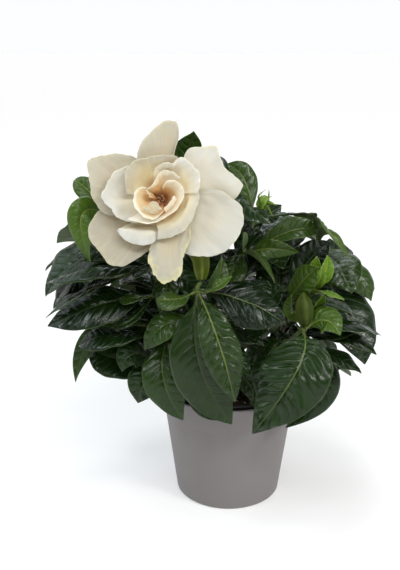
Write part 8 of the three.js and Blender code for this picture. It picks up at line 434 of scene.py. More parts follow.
WORLD_STRENGTH = 0.16
HORIZON = 0.995
WORLD_FRONT = 0.08
FLOOR_GLOW = (0.33, 0.56)  # near the pot, far away
# lamp: name, kind, position, aim, power, size, colour
LIGHTS = [
    ("key_soft", "SUN", (1.10, -0.85, 1.20), (0, 0, 0.15), 1.05, 9.0, (1.0, 0.985, 0.95)),
    ("sky_soft", "SUN", (-0.05, 0.15, 1.0), (0, 0, 0), 0.75, 16.0, (0.97, 0.985, 1.0)),
    ("front_low", "AREA", (0.05, -1.30, 0.86), (0.0, -0.04, 0.14), 2.8, (1.20, 0.040), (1.0, 1.0, 1.0)),
    ("front_box", "AREA", (0.10, -1.15, 1.50), (0.0, -0.04, 0.14), 8.5, (1.00, 0.13), (1.0, 1.0, 1.0)),
    ("front_left", "AREA", (-0.85, -0.62, 1.45), (0.0, -0.04, 0.14), 4.4, (0.10, 0.80), (0.93, 0.97, 1.0)),
    ("right_low", "AREA", (0.82, -0.42, 0.80), (0.0, -0.06, 0.15), 1.4, (0.06, 0.36), (1.0, 1.0, 0.98)),
    ("top_front", "AREA", (0.06, -0.38, 1.20), (-0.02, -0.04, 0.16), 1.2, (0.30, 0.05), (1.0, 1.0, 1.0)),
    ("top_back", "AREA", (-0.20, 0.80, 1.15), (-0.02, -0.02, 0.16), 4.6, (0.80, 0.34), (0.88, 0.94, 1.0)),
    ("left_back", "AREA", (-1.05, 0.30, 1.05), (-0.04, -0.02, 0.16), 3.6, (0.70, 0.80), (0.80, 0.91, 1.0)),
    ("strip_right", "AREA", (0.50, -0.72, 0.98), (0.02, -0.05, 0.14), 1.1, (0.36, 0.045), (1.0, 1.0, 0.98)),
    ("strip_left", "AREA", (-0.78, -0.40, 0.95), (-0.02, -0.05, 0.16), 2.0, (0.36, 0.06), (0.86, 0.93, 1.0)),
]


# ======================================================================
# small maths
# ======================================================================
def unit(v):
    v = np.asarray(v, float)
    return v / np.maximum(np.linalg.norm(v, axis=-1, keepdims=True), 1e-9)


def smooth(a, b, x):
    t = np.clip((np.asarray(x, float) - a) / (b - a), 0.0, 1.0)
    return t * t * (3 - 2 * t)


def cr_basis(x, n):
    """Catmull-Rom weights of the points x in 0..1 over n knots."""
    x = np.asarray(x, float) * (n - 1)
    i = np.clip(np.floor(x).astype(int), 0, n - 2)
    f = x - i
    w = np.zeros((len(x), n))
    c = (-0.5 * f**3 + f**2 - 0.5 * f, 1.5 * f**3 - 2.5 * f**2 + 1,
         -1.5 * f**3 + 2 * f**2 + 0.5 * f, 0.5 * f**3 - 0.5 * f**2)
    for k in range(4):
        j = i + k - 1
        for r in range(len(x)):
            if j[r] < 0:
                w[r, 0] += 2 * c[k][r]
                w[r, 1] -= c[k][r]
            elif j[r] > n - 1:
                w[r, n - 1] += 2 * c[k][r]
                w[r, n - 2] -= c[k][r]
            else:
                w[r, j[r]] += c[k][r]
    return w


def spline(points, step):
    """Catmull-Rom line through the points and each sample's parameter."""
    a = np.array(points, float).reshape(-1, 3)
    out, par = [], []
    for i in range(len(a) - 1):
        p1, p2 = a[i], a[i + 1]
        p0 = a[i - 1] if i else 2 * p1 - p2
        p3 = a[i + 2] if i + 2 < len(a) else 2 * p2 - p1
        n = max(2, int(round(np.linalg.norm(p2 - p1) / step)))
        for k in range(n):
            t = k / n
            out.append(0.5 * (2 * p1 + (p2 - p0) * t + (2 * p0 - 5 * p1 + 4 * p2 - p3) * t * t
                              + (3 * p1 - p0 - 3 * p2 + p3) * t**3))
            par.append(i + t)
    out.append(a[-1])
    par.append(len(a) - 1)
    return np.array(out), np.array(par)


def hash01(*k):
    """A repeatable number in 0..1 from small integers."""
    s = 0
    for q in k:
        s = (s * 7919 + int(q) * 104729 + 12345) % 2147483647
        s = (s * 48271) % 2147483647
    return s / 2147483647


# ======================================================================
# meshes
# ======================================================================
class Parts:
    """Gathers closed shells, with their per-point data, into one mesh."""

    def __init__(self):
        self.v, self.f, self.a, self.m, self.n = [], [], {}, [], 0

    def add(self, v, quads, tris=(), attrs=None, mat=0):
        v = np.asarray(v, float)
        for q in (np.asarray(quads, int).reshape(-1, 4), np.asarray(tris, int).reshape(-1, 3)):
            if len(q):
                self.f.append(q + self.n)
                self.m.append(np.full(len(q), mat))
        self.v.append(v)
        for k, x in (attrs or {}).items():
            self.a.setdefault(k, []).append(np.asarray(x, float).reshape(-1, 3))
        self.n += len(v)

    def object(self, name, materials):
        me = bpy.data.meshes.new(name)
        v = np.concatenate(self.v) * MM
        me.vertices.add(len(v))
        me.vertices.foreach_set("co", v.astype(np.float32).ravel())
        loops = np.concatenate([q.ravel() for q in self.f])
        sizes = np.concatenate([np.full(len(q), q.shape[1]) for q in self.f])
        me.loops.add(len(loops))
        me.loops.foreach_set("vertex_index", loops.astype(np.int32))
        me.polygons.add(len(sizes))
        me.polygons.foreach_set("loop_start", np.concatenate([[0], np.cumsum(sizes)[:-1]]).astype(np.int32))
        me.polygons.foreach_set("material_index", np.concatenate(self.m).astype(np.int32))
        me.update(calc_edges=True)
        me.validate()
        me.shade_smooth()
        for k, x in self.a.items():
            at = me.attributes.new(k, "FLOAT_VECTOR", "POINT")
            at.data.foreach_set("vector", np.concatenate(x).astype(np.float32).ravel())
        for m in materials:
            me.materials.append(m)
        ob = bpy.data.objects.new(name, me)
        bpy.context.scene.collection.objects.link(ob)
        return ob


def sheet_faces(nt, ns):
    """Faces of a closed sheet: nt x ns points on top, then as many below."""
    o = nt * ns
    i, j = np.meshgrid(np.arange(nt - 1), np.arange(ns - 1), indexing="ij")
    a = (i * ns + j).ravel()
    b, c, d = a + 1, a + ns + 1, a + ns
    top = np.stack([a, b, c, d], 1)
    low = np.stack([o + a, o + d, o + c, o + b], 1)
    ring = ([j for j in range(ns)] + [i * ns + ns - 1 for i in range(1, nt)]
            + [(nt - 1) * ns + j for j in range(ns - 2, -1, -1)] + [i * ns for i in range(nt - 2, 0, -1)])
    r = np.array(ring)
    q = np.roll(r, -1)
    return np.concatenate([top, low, np.stack([q, r, o + r, o + q], 1)])


def grid_normals(x):
    dt = np.gradient(x, axis=0)
    ds = np.gradient(x, axis=1)
    return unit(np.cross(ds, dt))


def frames(c, first=(1, 0.13, 0.07)):
    t = unit(np.gradient(c, axis=0))
    side = np.zeros_like(c)
    s = unit(np.cross(np.array(first, float), t[0]))
    for i in range(len(c)):
        s = unit(s - t[i] * (s @ t[i]))
        side[i] = s
    return t, side, np.cross(t, side)


def tube(c, radius, sides, relief=None, cap0=True, cap1=True):
    """Points and faces of a capped tube. relief(a, i) scales the radius."""
    t, s, o = frames(c)
    n = len(c)
    a = np.linspace(0, 2 * math.pi, sides, endpoint=False)
    r = np.broadcast_to(np.asarray(radius, float).reshape(n, 1), (n, sides)).copy()
    if relief is not None:
        r = r * relief(a[None, :], np.arange(n)[:, None])
    v = c[:, None, :] + s[:, None, :] * (r * np.cos(a))[..., None] + o[:, None, :] * (r * np.sin(a))[..., None]
    v = v.reshape(-1, 3)
    i, k = np.meshgrid(np.arange(n - 1), np.arange(sides), indexing="ij")
    i, k = i.ravel(), k.ravel()
    q = (k + 1) % sides
    quads = np.stack([i * sides + k, i * sides + q, (i + 1) * sides + q, (i + 1) * sides + k], 1)
    k = np.arange(sides)
    q = (k + 1) % sides
    v = np.concatenate([v, c[:1], c[-1:]])
    e0, e1 = n * sides, n * sides + 1
    tris = np.concatenate([np.stack([np.full(sides, e0), q, k], 1),
                           np.stack([np.full(sides, e1), (n - 1) * sides + k, (n - 1) * sides + q], 1)])
    return v, quads, tris


def turned(profile, segments):
    """A solid of revolution round Z; the profile starts and ends on the axis."""
    p = np.array(profile, float)
    a = np.linspace(0, 2 * math.pi, segments, endpoint=False)
    mid = p[1:-1]
    m = len(mid)
    v = np.stack([mid[None, :, 0] * np.cos(a)[:, None], mid[None, :, 0] * np.sin(a)[:, None],
                  np.broadcast_to(mid[None, :, 1], (segments, m))], -1).reshape(-1, 3)
    v = np.concatenate([v, [[0, 0, p[0, 1]], [0, 0, p[-1, 1]]]])
    k, i = np.meshgrid(np.arange(segments), np.arange(m - 1), indexing="ij")
    k, i = k.ravel(), i.ravel()
    q = (k + 1) % segments
    quads = np.stack([k * m + i, q * m + i, q * m + i + 1, k * m + i + 1], 1)
    k = np.arange(segments)
    q = (k + 1) % segments
    s, e = segments * m, segments * m + 1
    tris = np.concatenate([np.stack([np.full(segments, s), q * m, k * m], 1),
                           np.stack([np.full(segments, e), k * m + m - 1, q * m + m - 1], 1)])
    return v, quads, tris


# ======================================================================
# leaves
# ======================================================================
PET = 0.07
BLADE_T = np.array([0, .04, .12, .25, .40, .55, .70, .83, .92, .97, 1.0])
BLADE_W = np.array([.05, .13, .40, .74, .95, 1.0, .88, .60, .31, .13, .02])


def blade_width(x):
    h = np.diff(BLADE_T)
    d = np.diff(BLADE_W) / h
    m = np.zeros(len(BLADE_T))
    m[0], m[-1] = d[0], d[-1]
    for i in range(1, len(m) - 1):
        m[i] = 0 if d[i - 1] * d[i] <= 0 else 2 * d[i - 1] * d[i] / (d[i - 1] + d[i])
    i = np.clip(np.searchsorted(BLADE_T, x, side="right") - 1, 0, len(BLADE_T) - 2)
    t = (x - BLADE_T[i]) / h[i]
    return ((2 * t**3 - 3 * t**2 + 1) * BLADE_W[i] + (t**3 - 2 * t**2 + t) * h[i] * m[i]
            + (-2 * t**3 + 3 * t**2) * BLADE_W[i + 1] + (t**3 - t**2) * h[i] * m[i + 1])


def leaf_shell(leaf, seed, nt, ns, spacing=7.9):
    bez, W, N0, N1, fold, cup, wave, waves, phase, shape, youth_and_backlight, tone_and_shade, show, depth = leaf
    c = np.array(bez, float).reshape(4, 3)
    x = np.linspace(0, 1, nt)
    ts = 0.72 * x + 0.28 * (0.5 - 0.5 * np.cos(math.pi * x))
    y = np.linspace(-1, 1, ns)
    ss = np.sign(y) * (0.78 * np.abs(y) + 0.22 * y * y)
    t = ts[:, None]
    p = (1 - t)**3 * c[0] + 3 * (1 - t)**2 * t * c[1] + 3 * (1 - t) * t * t * c[2] + t**3 * c[3]
    T = unit((1 - t)**2 * (c[1] - c[0]) + 2 * (1 - t) * t * (c[2] - c[1]) + t * t * (c[3] - c[2]))
    N = np.array(N0) * (1 - t) + np.array(N1) * t
    N = unit(N - (N * T).sum(-1, keepdims=True) * T)
    S = np.cross(T, N)
    length = np.linalg.norm(np.diff(p, axis=0), axis=1).sum()
    b = np.clip((ts - PET) / (1 - PET), 0, 1)
    w = np.maximum(W * blade_width(b**shape), np.where(ts < PET, 0.9, 0.15))
    rnd = [hash01(seed, k) for k in range(12)]
    s = ss[None, :]
    a = np.abs(s) * w[:, None]
    grow = np.clip(b / 0.12, 0, 1)[:, None]
    bb = b[:, None]
    f = np.radians(fold) * grow
    lat = a * np.cos(f) * (1 - 0.25 * cup * cup * (a / W)**2)
    hgt = a * np.sin(f) - cup * grow * a * a / W
    hgt += wave * W * grow * s * s * np.sin(2 * math.pi * (waves * bb + phase + 0.37 * (s > 0))) * np.sin(math.pi * bb)
    # soft waviness of the margin
    hgt += 0.034 * W * grow * np.abs(s)**3 * np.sin(2 * math.pi * ((3.6 + 1.4 * rnd[4]) * bb + rnd[0] + 0.31 * (s > 0))) * np.sin(math.pi * bb)**0.5
    hgt += 0.055 * W * grow * s * np.sin(2 * math.pi * ((0.8 + 0.7 * rnd[5]) * bb + rnd[6])) * np.sin(math.pi * bb)
    hgt += 0.035 * W * grow * np.sin(2 * math.pi * ((1.4 + 0.6 * rnd[7]) * bb + rnd[8])) * np.sin(math.pi * bb)
    X = p[:, None, :] + S[:, None, :] * (np.sign(s) * lat)[..., None] + N[:, None, :] * hgt[..., None]
    n = grid_normals(X)
    # veins: laterals leave the midrib forwards and bend towards the tip
    laterals = max(7.0, length / spacing)
    shift = (0.50 * a + 0.34 * a * a / W) / length
    phi = laterals * (bb - shift) + 0.22 * (s > 0) + rnd[1]
    fade = smooth(0.6, 3.4, a) * (1 - smooth(0.78, 0.98, np.abs(s))) * smooth(0.0, 0.10, bb) * (1 - smooth(0.93, 1.0, bb))
    saddle = np.abs(np.sin(math.pi * phi))**0.66
    # the pillows differ in height and break up towards the margin
    uneven = 1 + 0.35 * np.sin(2 * math.pi * (0.37 * phi + 0.8 * np.abs(s) + rnd[9])) + 0.25 * np.sin(2 * math.pi * (0.83 * phi - 1.3 * np.abs(s) + rnd[10]))
    relief = (0.062 + 0.022 * rnd[2]) * W * (0.8 + 0.2 * youth_and_backlight) * depth
    quilt = relief * fade * (saddle * uneven - 0.45)
    rib = np.exp(-(a / 0.62)**2) * smooth(0.0, 0.05, bb) * (1 - 0.75 * smooth(0.6, 1.0, bb))
    top = quilt - 0.42 * rib
    low = quilt * 0.9 - 0.75 * rib
    stalk = 1 - smooth(PET * 0.6, PET * 1.6, ts)[:, None]
    half_blade = 0.21 - 0.08 * np.abs(s)**2
    half_stalk = 0.95 * np.sqrt(np.clip(1 - s * s, 0.03, 1))
    half = half_blade * (1 - stalk) + half_stalk * stalk
    up = X + n * (half + top)[..., None]
    down = X + n * (low - half)[..., None]
    o = np.ones_like(a)
    ca = np.stack([phi + 0 * a, np.abs(s) + 0 * a, bb + 0 * a], -1).reshape(-1, 3)
    side = np.concatenate([np.ones(a.size), np.zeros(a.size)])
    cb = np.stack([np.tile(a.ravel(), 2), side, np.full(2 * a.size, show)], -1)
    cc = np.stack([np.full(2 * a.size, youth_and_backlight), np.full(2 * a.size, tone_and_shade), np.tile((stalk + 0 * a).ravel(), 2)], -1)
    v = np.concatenate([up.reshape(-1, 3), down.reshape(-1, 3)])
    return v, sheet_faces(nt, ns), dict(leaf_a=np.tile(ca, (2, 1)), leaf_b=cb, leaf_c=cc)


# ======================================================================
# materials
# ======================================================================
class Mat:
    """A node material with one Principled shader and short helpers."""

    def __init__(self, name, **sockets):
        self.m = bpy.data.materials.new(name)
        self.m.use_nodes = True
        self.t = self.m.node_tree
        self.s = self.t.nodes["Principled BSDF"]
        for k, v in sockets.items():
            self.s.inputs[k.replace("_", " ")].default_value = v

    def node(self, kind, **props):
        n = self.t.nodes.new(kind)
        for k, v in props.items():
            setattr(n, k, v)
        return n

    def put(self, socket, value):
        if isinstance(value, bpy.types.NodeSocket):
            self.t.links.new(value, socket)
        elif isinstance(value, (tuple, list)) and len(value) == 3 and len(socket.default_value) == 4:
            socket.default_value = (*value, 1.0)
        else:
            socket.default_value = value

    def math(self, op, a, b=None, c=None, clamp=False):
        n = self.node("ShaderNodeMath", operation=op, use_clamp=clamp)
        for s, v in zip(n.inputs, (a, b, c)):
            if v is not None:
                self.put(s, v)
        return n.outputs[0]

    def step(self, x, lo, hi, a=0.0, b=1.0):
        n = self.node("ShaderNodeMapRange", interpolation_type="SMOOTHSTEP", clamp=True)
        for s, v in zip(n.inputs, (x, lo, hi, a, b)):
            self.put(s, v)
        return n.outputs[0]

    def mix(self, f, a, b, kind="MIX"):
        n = self.node("ShaderNodeMix", data_type="RGBA", blend_type=kind)
        self.put(n.inputs[0], f)
        self.put(n.inputs[6], a)
        self.put(n.inputs[7], b)
        return n.outputs[2]

    def attr(self, name):
        n = self.node("ShaderNodeAttribute", attribute_type="GEOMETRY", attribute_name=name)
        s = self.node("ShaderNodeSeparateXYZ")
        self.t.links.new(n.outputs["Vector"], s.inputs[0])
        return s.outputs[0], s.outputs[1], s.outputs[2]

    def place(self):
        return self.node("ShaderNodeTexCoord").outputs["Object"]

    def vec(self, x, y, z):
        n = self.node("ShaderNodeCombineXYZ")
        for s, v in zip(n.inputs, (x, y, z)):
            self.put(s, v)
        return n.outputs[0]

    def noise(self, at, scale, detail=3.0, rough=0.5, warp=0.0):
        n = self.node("ShaderNodeTexNoise")
        self.put(n.inputs["Vector"], at)
        n.inputs["Scale"].default_value = scale
        n.inputs["Detail"].default_value = detail
        n.inputs["Roughness"].default_value = rough
        n.inputs["Distortion"].default_value = warp
        return n.outputs["Fac"]

    def cells(self, at, scale, feature="F1"):
        n = self.node("ShaderNodeTexVoronoi", feature=feature)
        self.put(n.inputs["Vector"], at)
        n.inputs["Scale"].default_value = scale
        return n.outputs["Distance"]

    def bump(self, height, distance, strength=1.0):
        n = self.node("ShaderNodeBump")
        n.inputs["Strength"].default_value = strength
        n.inputs["Distance"].default_value = distance
        self.put(n.inputs["Height"], height)
        self.t.links.new(n.outputs["Normal"], self.s.inputs["Normal"])

    def color(self, c):
        self.put(self.s.inputs["Base Color"], c)
        return self

    def rough(self, r):
        self.put(self.s.inputs["Roughness"], r)
        return self


def leaf_material():
    m = Mat("leaf_tissue", Specular_IOR_Level=0.30, IOR=1.46)
    phi, edge, along = m.attr("leaf_a")
    dist, side, rnd = m.attr("leaf_b")
    youth_and_backlight, tone_and_shade, stalk = m.attr("leaf_c")
    at = m.place()
    cloud = m.noise(at, 55.0, 3.0, 0.55)
    grain = m.noise(at, 900.0, 2.0, 0.6)
    net = m.cells(at, 620.0, "DISTANCE_TO_EDGE")
    # distance to the nearest lateral vein
    f = m.math("FRACT", m.math("ADD", phi, 0.5))
    gap = m.math("MULTIPLY", m.math("ABSOLUTE", m.math("SUBTRACT", f, 0.5)), 7.9)
    vein = m.step(gap, 0.85, 0.12)
    vein = m.math("MULTIPLY", vein, m.step(dist, 0.2, 1.6))
    vein = m.math("MULTIPLY", vein, m.step(edge, 0.93, 0.72))
    rib = m.math("MULTIPLY", m.step(dist, 0.80, 0.28), m.step(along, 1.0, 0.45, 0.25, 1.0))
    rib = m.math("MAXIMUM", rib, stalk)
    margin = m.step(edge, 0.955, 0.995)
    # tissue
    # painted shade: the per-leaf tone varies from leaf to leaf and is set low on leaves deep in the bush, darkening
    # them as if shaded
    t = m.math("ADD", m.math("MULTIPLY", cloud, 0.7), m.math("MULTIPLY", tone_and_shade, 0.7))
    t = m.math("SUBTRACT", t, 0.25, clamp=True)
    old = m.mix(t, (0.0008, 0.0046, 0.0006), (0.0135, 0.0400, 0.0042))
    # young leaves are lighter yellow-green; part of this lightness is painted glow standing in for light shining
    # through backlit leaves
    fresh = m.mix(cloud, (0.050, 0.125, 0.006), (0.125, 0.225, 0.016))
    top = m.mix(youth_and_backlight, old, fresh)
    under = m.mix(cloud, (0.050, 0.078, 0.030), (0.095, 0.130, 0.055))
    under = m.mix(m.math("MULTIPLY", youth_and_backlight, 0.6), under, (0.16, 0.26, 0.05))
    body = m.mix(side, under, top)
    ribs = m.mix(youth_and_backlight, m.mix(rnd, (0.010, 0.024, 0.005), (0.125, 0.160, 0.040)), (0.240, 0.310, 0.045))
    lines = m.mix(youth_and_backlight, m.mix(rnd, (0.007, 0.020, 0.004), (0.022, 0.040, 0.012)), (0.150, 0.240, 0.030))
    lines = m.mix(side, (0.130, 0.170, 0.070), lines)
    body = m.mix(m.math("MULTIPLY", vein, 0.55), body, lines)
    edging = m.mix(youth_and_backlight, (0.040, 0.072, 0.016), (0.240, 0.310, 0.060))
    body = m.mix(m.math("MULTIPLY", margin, 0.65), body, edging)
    body = m.mix(m.math("MULTIPLY", rib, 0.9), body, ribs)
    # small corky flecks
    fleck = m.step(m.noise(at, 210.0, 2.0, 0.7), 0.74, 0.80)
    body = m.mix(m.math("MULTIPLY", fleck, 0.25), body, (0.10, 0.085, 0.04))
    m.color(body)
    r = m.math("ADD", m.math("MULTIPLY", cloud, 0.20), 0.15)
    r = m.math("ADD", r, m.math("MULTIPLY", vein, 0.10))
    r = m.math("ADD", r, m.math("MULTIPLY", m.math("SUBTRACT", 1.0, side), 0.28), clamp=True)
    m.rough(r)
    h = m.math("MULTIPLY", vein, -0.55)
    h = m.math("ADD", h, m.math("MULTIPLY", m.step(net, 0.0, 0.16), 0.035))
    h = m.math("ADD", h, m.math("MULTIPLY", grain, 0.025))
    h = m.math("ADD", h, m.math("MULTIPLY", m.noise(at, 200.0, 2.0, 0.5), 0.30))
    m.bump(h, 0.0005, 0.8)
    return m.m


def petal_material(name, inner):
    m = Mat(name, Specular_IOR_Level=0.32, IOR=1.4, Subsurface_Weight=0.35, Subsurface_Scale=1.0)
    m.s.inputs["Subsurface Radius"].default_value = (0.0042, 0.0028, 0.0016)
    along, across, rnd = m.attr("petal_a")
    rim, fold, warm = m.attr("petal_b")
    at = m.place()
    cloud = m.noise(at, 45.0, 3.0, 0.5)
    fine = m.noise(at, 260.0, 3.0, 0.6)
    streak = m.noise(m.vec(m.math("MULTIPLY", across, 34.0), m.math("MULTIPLY", along, 2.2), m.math("MULTIPLY", rnd, 40.0)), 1.0, 3.0, 0.6)
    shade, gold, blush = m.attr("petal_c")
    base = m.mix(cloud, (0.745, 0.715, 0.635), (0.825, 0.802, 0.742))
    if inner:
        base = m.mix(cloud, (0.760, 0.700, 0.580), (0.820, 0.775, 0.670))
    # painted shade: each petal is darkened towards grey-tan by its shade value, standing in for the flower's shadow
    # and the dimmer light on petals facing away
    base = m.mix(shade, base, m.mix(1.0, base, (0.38, 0.362, 0.318), "MULTIPLY"))
    base = m.mix(m.math("MULTIPLY", m.step(streak, 0.46, 0.74), 0.17), base, (0.560, 0.520, 0.405))
    # greenish cream towards the foot: partly the petal's own colour, partly a painted glow standing in for light
    # scattered in the deep creases
    base = m.mix(m.math("MULTIPLY", m.step(m.math("ADD", along, m.math("MULTIPLY", m.math("SUBTRACT", cloud, 0.5), 0.3)), 0.96, 0.30), gold), base, (0.640, 0.500, 0.240))
    base = m.mix(m.math("MULTIPLY", m.step(along, 0.985, 0.80), blush), base, (0.500, 0.315, 0.165))
    # yellow towards the margin, in patches
    y = m.math("ADD", rim, m.math("MULTIPLY", m.math("SUBTRACT", fine, 0.5), 0.22))
    reach = m.math("SUBTRACT", 1.10, m.math("MULTIPLY", m.math("POWER", warm, 3.0), 0.13))
    wide = m.step(m.math("ADD", y, m.math("MULTIPLY", m.noise(at, 130.0, 3.0, 0.65, 0.6), 0.40)), reach, m.math("ADD", reach, 0.26))
    wide = m.math("MULTIPLY", wide, warm)
    base = m.mix(m.math("MULTIPLY", wide, 0.66), base, (0.600, 0.525, 0.250))
    base = m.mix(m.math("MULTIPLY", m.step(y, 0.955, 1.01), m.math("ADD", m.math("MULTIPLY", warm, 0.40), 0.03)), base, (0.640, 0.570, 0.310))
    # the throat: cream, tan and brown deep between the inner petals
    d = m.node("ShaderNodeVectorMath", operation="DISTANCE")
    m.put(d.inputs[0], at)
    d.inputs[1].default_value = THROAT
    r = m.math("MULTIPLY", d.outputs["Value"], 1000.0)
    r = m.math("ADD", r, m.math("MULTIPLY", m.math("SUBTRACT", cloud, 0.5), 4.0))
    base = m.mix(m.step(r, 33.0, 15.0, 0.0, 0.45), base, (0.700, 0.600, 0.390))
    deep = m.step(along, 1.0, 0.66)
    base = m.mix(m.math("MULTIPLY", m.step(r, 18.5, 9.0, 0.0, 0.92), deep), base, (0.520, 0.285, 0.120))
    base = m.mix(m.math("MULTIPLY", m.step(r, 10.5, 4.5, 0.0, 0.95), m.step(along, 0.95, 0.5)), base, (0.190, 0.066, 0.022))
    m.color(base)
    m.rough(m.math("ADD", m.math("MULTIPLY", cloud, 0.16), 0.44))
    h = m.math("ADD", m.math("MULTIPLY", streak, 0.7), m.math("MULTIPLY", fine, 0.30))
    m.bump(h, 0.0005, 0.55)
    return m.m


def pot_material():
    m = Mat("pot_matte_grey", Specular_IOR_Level=0.4)
    at = m.place()
    big = m.noise(at, 16.0, 3.0, 0.5)
    grain = m.noise(at, 1500.0, 3.0, 0.7)
    speck = m.noise(at, 620.0, 2.0, 0.5)
    c = m.mix(big, (0.158, 0.144, 0.142), (0.192, 0.176, 0.174))
    c = m.mix(m.step(speck, 0.60, 0.74, 0.0, 0.30), c, (0.160, 0.142, 0.140))
    z = m.node("ShaderNodeSeparateXYZ")
    m.put(z.inputs[0], at)
    wear = m.math("MULTIPLY", m.step(z.outputs[2], 0.0925, 0.0940), m.step(m.noise(at, 90.0, 2.0, 0.5), 0.45, 0.62))
    c = m.mix(m.math("MULTIPLY", wear, 0.35), c, (0.40, 0.37, 0.36))
    m.color(c)
    m.rough(m.math("ADD", m.math("MULTIPLY", speck, 0.16), 0.50))
    m.bump(m.math("ADD", m.math("MULTIPLY", grain, 0.5), m.math("MULTIPLY", big, 0.8)), 0.0002, 0.5)
    return m.m


def plastic_material():
    m = Mat("nursery_black", Specular_IOR_Level=0.45)
    at = m.place()
    n = m.noise(at, 130.0, 3.0, 0.6)
    fine = m.noise(at, 1400.0, 2.0, 0.6)
    m.color(m.mix(n, (0.006, 0.006, 0.0065), (0.016, 0.0155, 0.015)))
    m.rough(m.math("ADD", m.math("MULTIPLY", n, 0.22), 0.34))
    m.bump(m.math("ADD", fine, m.math("MULTIPLY", n, 0.6)), 0.0002, 0.5)
    return m.m


def soil_material():
    m = Mat("potting_mix_fibres", Specular_IOR_Level=0.2)
    at = m.place()
    kind, shade, _ = m.attr("soil_a")
    n = m.noise(at, 320.0, 4.0, 0.65)
    big = m.noise(at, 70.0, 2.0, 0.5)
    peat = m.mix(n, (0.0085, 0.0050, 0.0030), (0.050, 0.030, 0.018))
    bark = m.mix(m.math("ADD", m.math("MULTIPLY", n, 0.4), m.math("MULTIPLY", shade, 0.6)), (0.020, 0.010, 0.006), (0.130, 0.072, 0.036))
    stone = m.mix(n, (0.42, 0.40, 0.36), (0.66, 0.64, 0.60))
    c = m.mix(m.step(kind, 0.2, 0.3), peat, bark)
    c = m.mix(m.step(kind, 0.7, 0.8), c, stone)
    m.color(m.mix(m.math("MULTIPLY", big, 0.35), c, (0.012, 0.008, 0.006)))
    m.rough(m.math("ADD", m.math("MULTIPLY", n, 0.2), 0.74))
    m.bump(n, 0.0007, 0.9)
    return m.m


def stem_material():
    m = Mat("stem_bark", Specular_IOR_Level=0.35)
    at = m.place()
    age, around, _ = m.attr("stem_a")
    n = m.noise(at, 120.0, 4.0, 0.6)
    fine = m.noise(m.vec(m.math("MULTIPLY", around, 9.0), m.math("MULTIPLY", age, 30.0), 0.0), 2.0, 4.0, 0.7)
    green = m.mix(n, (0.045, 0.080, 0.016), (0.090, 0.135, 0.030))
    wood = m.mix(n, (0.060, 0.044, 0.026), (0.150, 0.118, 0.076))
    old = m.step(m.math("ADD", age, m.math("MULTIPLY", m.math("SUBTRACT", n, 0.5), 0.5)), 0.72, 0.35)
    c = m.mix(old, green, wood)
    c = m.mix(m.math("MULTIPLY", m.step(m.noise(at, 500.0, 2.0, 0.5), 0.66, 0.74), 0.6), c, (0.24, 0.20, 0.14))
    m.color(c)
    m.rough(m.math("ADD", m.math("MULTIPLY", n, 0.25), 0.48))
    m.bump(m.math("ADD", m.math("MULTIPLY", fine, 0.8), m.math("MULTIPLY", n, 0.6)), 0.0006, 0.7)
    return m.m


def green_material(name, dark, light, rib_colour, rib_share, rough):
    """Calyx, sepals and buds: ribbed fresh green tissue."""
    m = Mat(name, Specular_IOR_Level=0.14, Subsurface_Weight=0.12, Subsurface_Scale=1.0)
    m.s.inputs["Subsurface Radius"].default_value = (0.0012, 0.0018, 0.0004)
    at = m.place()
    along, rib, _ = m.attr("green_a")
    n = m.noise(at, 140.0, 3.0, 0.55)
    fine = m.noise(at, 900.0, 2.0, 0.6)
    c = m.mix(m.math("ADD", m.math("MULTIPLY", n, 0.6), m.math("MULTIPLY", along, 0.4)), dark, light)
    c = m.mix(m.math("MULTIPLY", rib, rib_share), c, rib_colour)
    m.color(c)
    m.rough(m.math("ADD", m.math("MULTIPLY", n, 0.18), rough))
    m.bump(m.math("ADD", m.math("MULTIPLY", fine, 0.4), m.math("MULTIPLY", n, 0.6)), 0.0003, 0.6)
    return m.m


def tube_material():
    m = Mat("corolla_tube_cream", Specular_IOR_Level=0.35, Subsurface_Weight=0.25, Subsurface_Scale=1.0)
    m.s.inputs["Subsurface Radius"].default_value = (0.003, 0.002, 0.001)
    at = m.place()
    along, around, fold = m.attr("tube_a")
    n = m.noise(at, 160.0, 3.0, 0.6)
    s = m.noise(m.vec(m.math("MULTIPLY", around, 14.0), m.math("MULTIPLY", along, 4.0), 0.0), 1.5, 3.0, 0.6)
    c = m.mix(m.step(along, 0.05, 0.6), (0.36, 0.44, 0.15), (0.76, 0.70, 0.48))
    mouth = m.mix(m.step(fold, 0.15, 0.85), (0.060, 0.020, 0.008), (0.420, 0.205, 0.085))
    c = m.mix(m.step(along, 0.86, 0.95), c, mouth)
    c = m.mix(m.math("MULTIPLY", n, 0.15), c, (0.40, 0.24, 0.12))
    m.color(c)
    m.rough(m.math("ADD", m.math("MULTIPLY", n, 0.2), 0.45))
    m.bump(m.math("ADD", s, m.math("MULTIPLY", n, 0.5)), 0.0005, 0.7)
    return m.m


# ======================================================================
# pieces
# ======================================================================
M_LEAF = leaf_material()
M_PETAL = petal_material("petal_ivory", False)
M_INNER = petal_material("petal_inner_cream", True)
M_POT = pot_material()
M_PLASTIC = plastic_material()
M_SOIL = soil_material()
M_STEM = stem_material()
M_CALYX = green_material("calyx_green", (0.028, 0.043, 0.0022), (0.076, 0.102, 0.0070), (0.150, 0.185, 0.026), 0.6, 0.34)
M_BUD = green_material("bud_green", (0.013, 0.024, 0.0012), (0.034, 0.050, 0.0035), (0.062, 0.088, 0.009), 0.5, 0.36)
M_SEPAL = green_material("sepal_green", (0.040, 0.085, 0.006), (0.130, 0.220, 0.030), (0.240, 0.340, 0.070), 0.5, 0.38)
M_TUBE = tube_material()


def piece(parts, name, nodes, slot, *materials):
    ob = parts.object(name, materials)
    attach(ob, "root")
    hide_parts(*nodes)
    return ob


